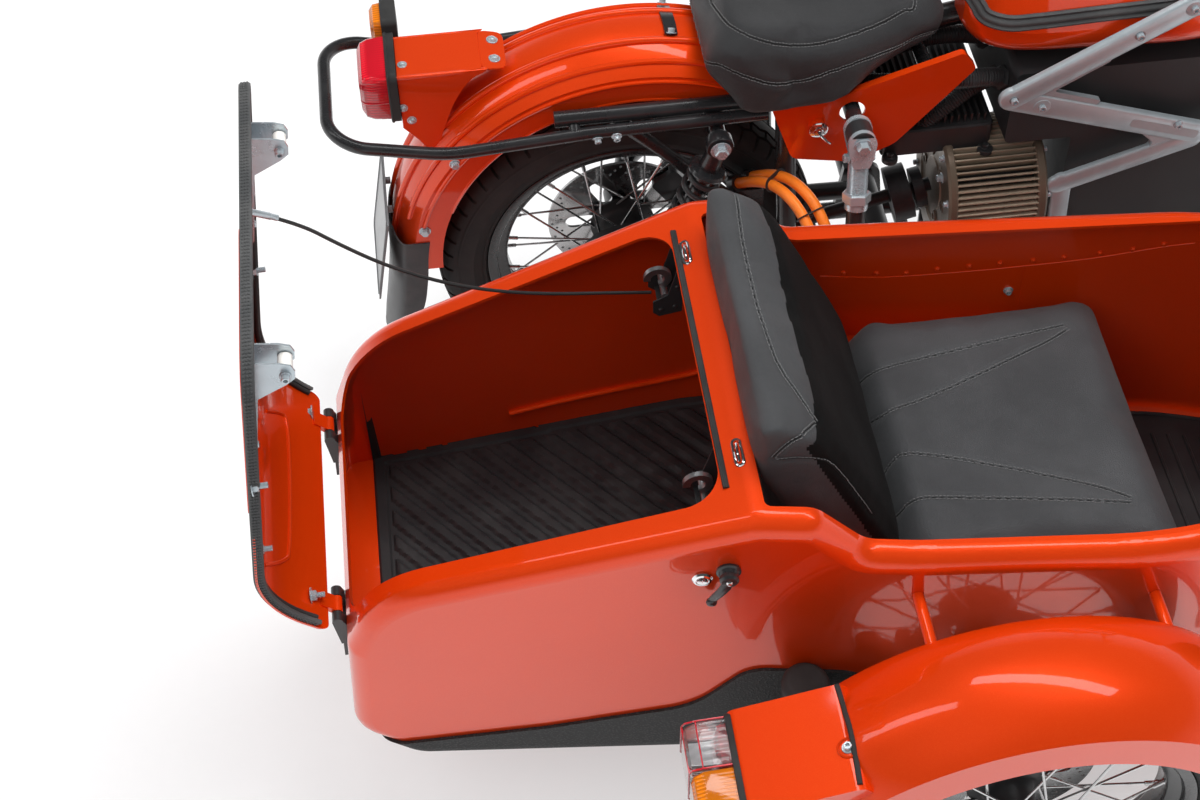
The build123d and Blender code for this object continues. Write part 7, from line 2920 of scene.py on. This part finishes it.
@dataclass
class Fasteners:
    """Bolts and nuts at the places where the photograph shows them, each on the surface that carries it."""

    rows: tuple[tuple[str, float, float, float, Head], ...] = (
        # node that carries it, pixel across, pixel down, width, head
        ("lamp_bracket", 402, 65, 10, Head.DOME),
        ("lamp_bracket", 403, 108, 10, Head.DOME),
        ("lamp_bracket", 412, 120, 10, Head.DOME),
        ("rear_fender", 428, 141, 12, Head.HEX),
        ("rear_fender", 488, 50, 13, Head.DOME),
        ("rear_fender", 491, 65, 13, Head.DOME),
        ("rear_fender", 455, 164, 12, Head.HEX),
        ("rear_fender", 425, 231, 13, Head.HEX),
        ("grab_rail", 598, 141, 11, Head.SOCKET),
        ("grab_rail", 617, 138, 11, Head.SOCKET),
        ("battery_frames", 1140, 35, 12, Head.SOCKET),
        ("battery_frames", 1178, 124, 11, Head.SOCKET),
        ("battery_frames", 1014, 100, 11, Head.SOCKET),
        ("motor", 942, 178, 12, Head.SOCKET),
        ("sidecar_guard", 733, 719, 10, Head.SOCKET),
    )

    def build(self) -> None:
        """Builds the fasteners."""
        mould = Mould()
        aim = Aim()
        skins: dict[str, Skin] = {}
        for node, across, down, width, head in self.rows:
            skin = skins.setdefault(node, Skin([node_object(node)]))
            place, normal = aim.spot(skin, across, down)
            mould.bolt(place, normal, width, head, width * 1.5)
        for side in (-1.0, 1.0):
            for x, z in (*TRUSS_STANDOFFS, (832, 862), (1026, 870)):
                mould.bolt(at(x, side * 170.0, z), Vector((0, side, 0)), 11, Head.SOCKET, 17)
        mould.piece("fasteners", ZINC)
        plate = Mould()
        centre = at(838, -170.3, 622)
        along = Vector((310, 0, -108)).normalized()
        up = RIGHT.cross(along).normalized()
        flat = rounded([(-62, -8), (62, -8), (62, 8), (-62, 8)], 5, 4)
        plate.slab([centre + (along * x + up * z) * MM for x, z in flat], Vector((0, -1.2, 0)) * MM, 0.4)
        plate.piece("frame_name_plate_bare", ALLOY)
        ring, motor = Mould(), FinnedMotor()
        for index in range(8):
            turn = math.tau * (index + 0.5) / 8
            y = motor.middle[0] + motor.bolt_circle * math.cos(turn)
            z = motor.middle[1] + motor.bolt_circle * math.sin(turn)
            ring.bolt(at(motor.back, y, z), BACK, 9, Head.SOCKET, 13)
            ring.bolt(at(motor.front, y, z), AHEAD, 9, Head.SOCKET, 13)
        ring.piece("motor_bolts", ZINC)


@dataclass
class FrontTrim:
    """Headlamp rim and mirror glass."""

    mirrors: Pair = (330.0, -330.0)
    glass_wide: float = 59.0
    glass_high: float = 41.0
    glass_z: float = 1225.0

    def build(self) -> None:
        """Builds the front's trim."""
        low, high = (Vector(corner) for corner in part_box("headlamp"))
        middle = (low + high) / 2
        rim = Mould()
        section = [(85.2, -14), (87.5, -12), (88.0, -3), (84, 3), (77, 4), (76.4, 0), (85.2, -2)]
        rim.hoop(Vector((high.x, middle.y, middle.z)), AHEAD, section, 72)
        rim.piece("headlamp_rim", CHROME, Body.STEERING)
        glass = Mould()
        skin = Skin([node_object("mirrors")])
        turns = [math.tau * step / 40 for step in range(40)]
        ring = [(self.glass_wide * math.cos(turn), self.glass_high * math.sin(turn)) for turn in turns]
        for side in self.mirrors:
            centre = Vector((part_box("mirrors")[0][0], at(0, side, 0).y, self.glass_z * MM))
            back = skin.drop(centre + BACK * 0.2, AHEAD)
            foot = back[0] if back else centre
            glass.slab([foot + Vector((0, y, z)) * MM for y, z in ring], BACK * 0.8 * MM, 0.3)
        glass.piece("mirror_glass", MIRROR_GLASS, Body.STEERING)


@dataclass
class CastTruss:
    """Battery frame's cast trusses: thick soft-edged bars with webs in their corners, on both sides."""

    near: float = 158.6
    thick: float = 13.0
    step: float = 0.22
    bars: tuple[tuple[float, float, float, float, float], ...] = (
        # start x and z, end x and z, width
        (580, 712, 832, 862, 38),
        (832, 862, 1026, 870, 34),
        (580, 712, 890, 604, 42),
        (890, 604, 1024, 634, 34),
        (890, 590, 684, 516, 36),
        (690, 522, 706, 300, 34),
        (706, 300, 1020, 300, 30),
        (1020, 300, 1026, 870, 32),
    )
    webs: tuple[Pairs, ...] = (
        ((578, 712), (690, 779), (728, 776), (640, 722), (726, 692), (700, 670)),
        ((896, 616), (896, 586), (800, 551), (826, 590), (790, 626), (800, 640)),
        ((676, 516), (722, 546), (760, 534), (708, 510), (706, 470), (676, 460)),
    )

    def bar(self, mould: Mould, side: float, start: Vector, end: Vector, width: float, sink: float) -> None:
        """Adds one bar with round ends and a rolled edge.

        Args:
            mould: The mould to add it to.
            side: 1 for the left truss, -1 for the right one.
            start: One end's middle, x and z in millimetres.
            end: The other end's middle.
            width: The bar's width.
            sink: How far its faces lie under the truss's own, so that no two bars share one.
        """
        along = (end - start).normalized()
        across = Vector((-along.y, along.x))
        high = self.thick - sink
        rings = []
        for inset, deep in (
            (1.6, sink), (0.0, sink + 1.6), (0.0, high - 4.5), (1.2, high - 1.6), (4.2, high)
        ):
            ring = []
            for middle, sign in ((end, 1.0), (start, -1.0)):
                for step in range(11):
                    turn = math.radians(-90 + 18 * step)
                    out = along * math.cos(turn) + across * math.sin(turn)
                    point = middle + out * sign * (width / 2 - inset)
                    ring.append(at(point.x, side * (self.near + deep), point.y))
            rings.append(ring)
        mould.skin(rings)

    def build(self) -> None:
        """Builds both trusses with their webs, standoffs and bosses."""
        mould = Mould()
        for side in (-1.0, 1.0):
            for number, (*ends, width) in enumerate(self.bars):
                self.bar(mould, side, Vector(ends[:2]), Vector(ends[2:]), width, self.step * number)
            for web in self.webs:
                outline = [at(x, side * self.near, z) for x, z in rounded(web, 9.0, 4)]
                mould.slab(outline, Vector((0, side * (self.thick - 2.6), 0)) * MM, 2.0)
            for x, z in TRUSS_STANDOFFS:
                mould.lathe(at(x, side * 138.5, z), Vector((0, side, 0)), [(12, 0), (9.5, 4), (9.5, 21)], 24)
            face = side * (self.near + self.thick - 1)
            for x, z in (*TRUSS_STANDOFFS, (832, 862)):
                mould.lathe(at(x, face, z), Vector((0, side, 0)), [(14, 0), (13.5, 1.6), (12, 2)], 28)
        truss = mould.piece("battery_frames_cast", ALLOY, crease=40)
        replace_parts(truss, "battery_frames")


@dataclass
class FinnedMotor:
    """Electric motor: drum with fine bronze fins between turned end plates with vents; the drum's dark
    casting is painted shade between the fins, and the fins' lighter bronze is a painted highlight.
    """

    middle: Pair = (-80.0, 462.0)
    back: float = 505.0
    front: float = 668.0
    fins: int = 64
    drum_radius: float = 84.0
    fin_foot: float = 82.0
    bolt_circle: float = 96.0
    vent_circle: float = 58.0

    def build(self) -> None:
        """Builds the drum, the fins and the end plates."""
        y, z = self.middle
        ahead = AHEAD
        drum = Mould()
        drum.lathe(
            at(self.back + 14, y, z),
            ahead,
            [(self.drum_radius, 0), (self.drum_radius, self.front - self.back - 28)],
            64,
        )
        # The drum's dark casting between the fins is painted shade.
        drum.piece("motor_drum_painted_shade", DARK_CAST)
        fins = Mould()
        for index in range(self.fins):
            turn = math.tau * index / self.fins
            out = Vector((0, math.cos(turn), math.sin(turn)))
            side = Vector((0, -math.sin(turn), math.cos(turn)))
            foot = at(self.back + 13, y, z) + out * self.fin_foot * MM
            shape = ((-2.6, 0), (2.6, 0), (1.8, 23.2), (1.0, 24.4), (-1.0, 24.4), (-1.8, 23.2))
            ring = [foot + (side * wide + out * high) * MM for wide, high in shape]
            reach = ahead * (self.front - self.back - 26) * MM
            fins.skin([ring, [point + reach for point in ring]])
        # The fins' lighter bronze is a painted highlight.
        fins.piece("motor_fins", FIN_BRONZE_PAINTED_HIGHLIGHT)
        plates = Mould()
        back_profile = [
            (30, 0.6), (44, 0.6), (46, 3), (70, 3), (73, 0), (104, 0), (108, 4), (108, 13), (105, 16)
        ]
        plates.lathe(at(self.back, y, z), ahead, back_profile, 72)
        front_profile = [
            (105, 0), (108, 3), (108, 12), (104, 16), (73, 16), (70, 13), (46, 13), (40, 16), (30, 16)
        ]
        plates.lathe(at(self.front - 16, y, z), ahead, front_profile, 72)
        for index in range(6):
            turn = math.tau * index / 6
            reach = (self.vent_circle * math.cos(turn), self.vent_circle * math.sin(turn))
            spot = at(self.back + 1.5, y + reach[0], z + reach[1])
            plates.lathe(spot, -ahead, [(11, -2), (10, 1.2), (6, 1.4), (5.6, -1)], 20)
        motor = plates.piece("motor_end_plates", BRONZE, crease=35)
        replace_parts(motor, "motor")


@dataclass
class LampBracket:
    """Bent sheet that carries the tail lamp: a rounded tab on the fender and hollowed cheeks."""

    half: float = 48.0
    sheet: float = 3.0

    def build(self) -> None:
        """Builds the top, both cheeks and the lamp's plate."""
        mould = Mould()
        shares = [step / 12 for step in range(13)]
        sweep = [(-214.0 - 92.0 * share, 765.0 - 165.0 * share**2.1) for share in shares]
        cheek = [(-214, 771), (-352, 771), (-352, 668), (-330, 640)] + list(reversed(sweep[1:]))
        for side in (-1.0, 1.0):
            outline = [at(x, side * (self.half - self.sheet), z) for x, z in cheek]
            mould.slab(outline, Vector((0, side * self.sheet, 0)) * MM, 0.8)
        top = [at(x, y, 768) for x, y in ((-352, -self.half), (-222, -46), (-222, 46), (-352, self.half))]
        mould.slab(top, Vector((0, 0, self.sheet)) * MM, 0.8)
        tab = rounded([(-223, -46), (-184, -42), (-184, 42), (-223, 46)], 14.0, 5)
        tilt = Vector((0.16, 0, 1))
        mould.slab([at(x, y, 768.2 - 0.16 * (x + 223)) for x, y in tab], tilt * self.sheet * MM, 0.8)
        for side in (-1.0, 1.0):
            edge = [
                at(-352, side * (self.half - 2.6), 768),
                at(-262, side * (self.half - 2.6), 768),
                at(-216, side * 43.5, 767.6),
            ]
            mould.rod(edge, 3.4, 12)
        face = [at(-351.8, y, z) for y, z in rounded([(-47, 666), (47, 666), (47, 770), (-47, 770)], 6.0, 3)]
        mould.slab(face, Vector((3, 0, 0)) * MM)
        bracket = mould.piece("lamp_bracket_sheet", ORANGE, crease=40)
        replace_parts(bracket, "lamp_bracket")
        bolts = Mould()
        for y in (-22, 22):
            bolts.bolt(at(-201, y, 767.8), tilt, 13, Head.DOME, 18)
        bolts.piece("lamp_bracket_bolts", ZINC)


@dataclass
class PressedRidges:
    """Pressed ridges of the sidecar's sheet metal, laid on the surfaces at the photograph's places."""

    lid: Pairs = (
        (266, 411), (279, 413), (286, 421), (289, 450), (290, 500), (289, 548), (284, 560),
        (264, 565),
    )
    trunk: Pairs = ((-236, 372), (-150, 378), (-60, 380), (40, 382), (74, 392), (96, 420), (110, 456))

    def build(self) -> None:
        """Builds the ridges."""
        aim = Aim()
        skin = Skin([node_object("trunk_lid")])
        mould = Mould()
        mould.rod(skin.snap(smooth_path([aim.spot(skin, *pixel)[0] for pixel in self.lid], 8)), 2.9, 12)
        mould.piece("lid_pressing", ORANGE, Body.LID)
        skin = Skin([node_object("sidecar_body")])
        mould = Mould()
        line = smooth_path([at(x, -660, z) for x, z in self.trunk], 8)
        mould.rod(skin.lay(line, LEFT, 2.0), 4.4, 12)
        mould.piece("trunk_pressings", ORANGE)


@dataclass
class Looms:
    """Black conduits of the electric drive, from the packs' rear face to under the saddle."""

    routes: tuple[tuple[tuple[Place, ...], float], ...] = (
        (((590, -92, 690), (556, -104, 706), (500, -110, 712), (430, -96, 704), (360, -70, 690)), 15.0),
        (((590, -60, 668), (548, -74, 660), (500, -84, 628), (470, -84, 600)), 13.0),
        (((590, 20, 680), (540, 10, 700), (470, 0, 706), (380, -20, 696)), 15.0),
        (((590, 70, 660), (530, 76, 668), (440, 70, 680), (360, 50, 686)), 17.0),
    )

    def build(self) -> None:
        """Builds the conduits with their corrugations and end nuts."""
        mould, nuts = Mould(), Mould()
        for route, radius in self.routes:
            path = smooth_path([at(*place) for place in route], 8)
            fold = [(radius - 1.2, 0), (radius, 1.2), (radius, 2.8), (radius - 1.2, 4.6)]
            for place, run in spaced(path, 0.0045):
                mould.lathe(place, run, fold, 18)
            start = path[0]
            run = (path[1] - path[0]).normalized()
            nut = [(radius + 5, -1), (radius + 5, 10), (radius + 2, 13), (radius + 1, 16)]
            nuts.lathe(start, run, nut, 6)
        mould.piece("drive_conduits", SATIN_BLACK, crease=30)
        nuts.piece("drive_conduit_nuts", PACK, crease=30)


@dataclass
class Controller:
    """Motor controller: finned black box between the saddle's rails, behind the packs, whose dark mass also
    stands in for painted shade in the gap there.
    """

    low: Place = (404.0, -104.0, 556.0)
    high: Place = (584.0, 104.0, 606.0)
    fins: int = 15

    def build(self) -> None:
        """Builds the box, its fins and its foot screws."""
        mould = Mould()
        (x0, y0, z0), (x1, y1, z1) = self.low, self.high
        outline = [at(x, y, z0) for x, y in rounded([(x0, y0), (x1, y0), (x1, y1), (x0, y1)], 12.0, 4)]
        mould.slab(outline, Vector((0, 0, z1 - z0)) * MM, 3.0)
        for index in range(self.fins):
            x = x0 + 14 + (x1 - x0 - 28) * index / (self.fins - 1)
            fin = [
                at(x + a, y, z1 - 0.5)
                for a, y in ((-1.6, y0 + 10), (1.6, y0 + 10), (1.6, y1 - 10), (-1.6, y1 - 10))
            ]
            mould.slab(fin, Vector((0, 0, 16)) * MM, 0.5)
        for x in (x0 + 12, x1 - 12):
            for y in (y0 - 9, y1 + 9):
                mould.lathe(at(x, y, z0), UP, [(13, 0), (13, 7), (12, 8)], 20)
                mould.bolt(at(x, y, z0 + 8), UP, 10, Head.HEX, 16)
        # The black box partly stands in for painted shade in the gap under the saddle.
        mould.piece("motor_controller_and_painted_shade", SATIN_BLACK, crease=35)


@dataclass
class FootMat:
    """Ribbed rubber mat on the cockpit's floor, with its rolled edge."""

    span: Pair = (600.0, 1250.0)
    middle: float = BODY_MIDDLE
    margin: float = 16.0
    thick: float = 4.0
    over: float = 620.0
    probe: float = 14.0

    def build(self) -> None:
        """Builds the mat on the floor that the body's surface gives."""
        skin = Skin([node_object("sidecar_body")])
        left, right, floor = [], [], []
        for step in range(27):
            x = self.span[0] + (self.span[1] - self.span[0]) * step / 26
            found = skin.drop(at(x, self.middle, self.over), DOWN)
            if found is None:
                continue
            low = found[0] + UP * self.probe * MM
            far, near = skin.drop(low, LEFT), skin.drop(low, RIGHT)
            if far is None or near is None:
                continue
            floor.append(found[0].z)
            left.append(Vector((found[0].x, far[0].y - self.margin * MM, found[0].z)))
            right.append(Vector((found[0].x, near[0].y + self.margin * MM, found[0].z)))
        flat = [
            (a, b) for a, b, z in zip(left, right, floor) if abs(z - sorted(floor)[len(floor) // 2]) < 0.03
        ]
        mould = Mould()
        rings = []
        foot, top = UP * 0.5 * MM, UP * self.thick * MM
        for a, b in flat:
            rings.append([a + foot, a + top, b + top, b + foot])
        mould.skin(rings)
        loop = [a for a, _ in flat] + [b for _, b in reversed(flat)]
        mould.rod([point + top for point in loop], 4.0, 8, closed=True)
        for a, b in flat[1:-1]:
            mould.rod([a.lerp(b, 0.08) + top, b.lerp(a, 0.08) + top], 3.2, 6)
        mould.piece("cockpit_mat", MAT_RUBBER, crease=35)


TYRES = (
    Tyre("rear_tyre", Body.REAR_WHEEL, REAR_AXLE),
    Tyre("front_tyre", Body.FRONT_WHEEL, FRONT_AXLE),
    Tyre("sidecar_tyre", Body.SIDECAR_WHEEL, SIDECAR_AXLE),
)
LACED_WHEELS = (
    LacedWheel("rear_wheel", Body.REAR_WHEEL, REAR_AXLE, 128.0),
    LacedWheel("front_wheel", Body.FRONT_WHEEL, FRONT_AXLE, 147.0),
    LacedWheel("sidecar_wheel", Body.SIDECAR_WHEEL, SIDECAR_AXLE, 128.0),
)


def stay_ferrule() -> Thing:
    """Makes the plated ferrule on the lid stay's upper end."""
    start, after = at(*STAY_ROUTE[0]), at(*STAY_ROUTE[1])
    run = (after - start).normalized()
    sleeve = Mould()
    sleeve.lathe(start, run, [(2.6, -3), (4.6, -2), (4.6, 30), (4.0, 32), (4.0, 40), (2.6, 41)], 18)
    return sleeve.piece("lid_stay_ferrule", ZINC)


def dampers() -> tuple[CoilDamper, ...]:
    """Gives the five dampers at the CAD's places."""
    rear = tuple((at(22, y, 352), at(130, y, 664)) for y in (150.0, -150.0))
    side = ((at(302, -1030, 312), at(200, -1030, 432)),)
    return (
        CoilDamper("front_shocks", front_pairs(), 23.0, 12.0, 12.3, 11.3, 8.5, Body.STEERING),
        CoilDamper("rear_shocks", rear, 30.0, 15.0, 12.3, 14.3, 8.5, wire=4.6),
        CoilDamper("sidecar_shock", side, 24.0, 12.0, 12.3, 12.3, 5.0),
    )


def main() -> None:
    """Builds the studio and every sub-assembly in order."""
    logging.basicConfig(level=logging.INFO, format="%(name)s: %(message)s")
    Studio().build()
    sitting = {"power_cable_front_skin": StrutAndSwitch().ties(), "lid_stay_skin": [stay_ferrule()]}
    for cord in CORDS:
        cord.build(sitting.get(cord.name, ()))
        LOG.info("cord %s laid", cord.name)
    dress_nodes()
    LOG.info("CAD nodes dressed")
    lid_and_trunk = (LidTrim(), Trunk())
    motorcycle = (RearFenderTrim(), Lamps(), *dampers(), StrutAndSwitch(), TankStrip())
    drive = (CastTruss(), FinnedMotor(), LampBracket(), PressedRidges(), Looms(), Controller())
    details = (FootMat(), Fasteners(), FrontTrim())
    groups = (TYRES, LACED_WHEELS, UPHOLSTERY, lid_and_trunk, motorcycle, (BodyTrim(),), drive, details)
    for part in (part for group in groups for part in group):
        part.build()
        LOG.info("%s is complete", type(part).__name__)


if __name__ == "__main__":
    main()
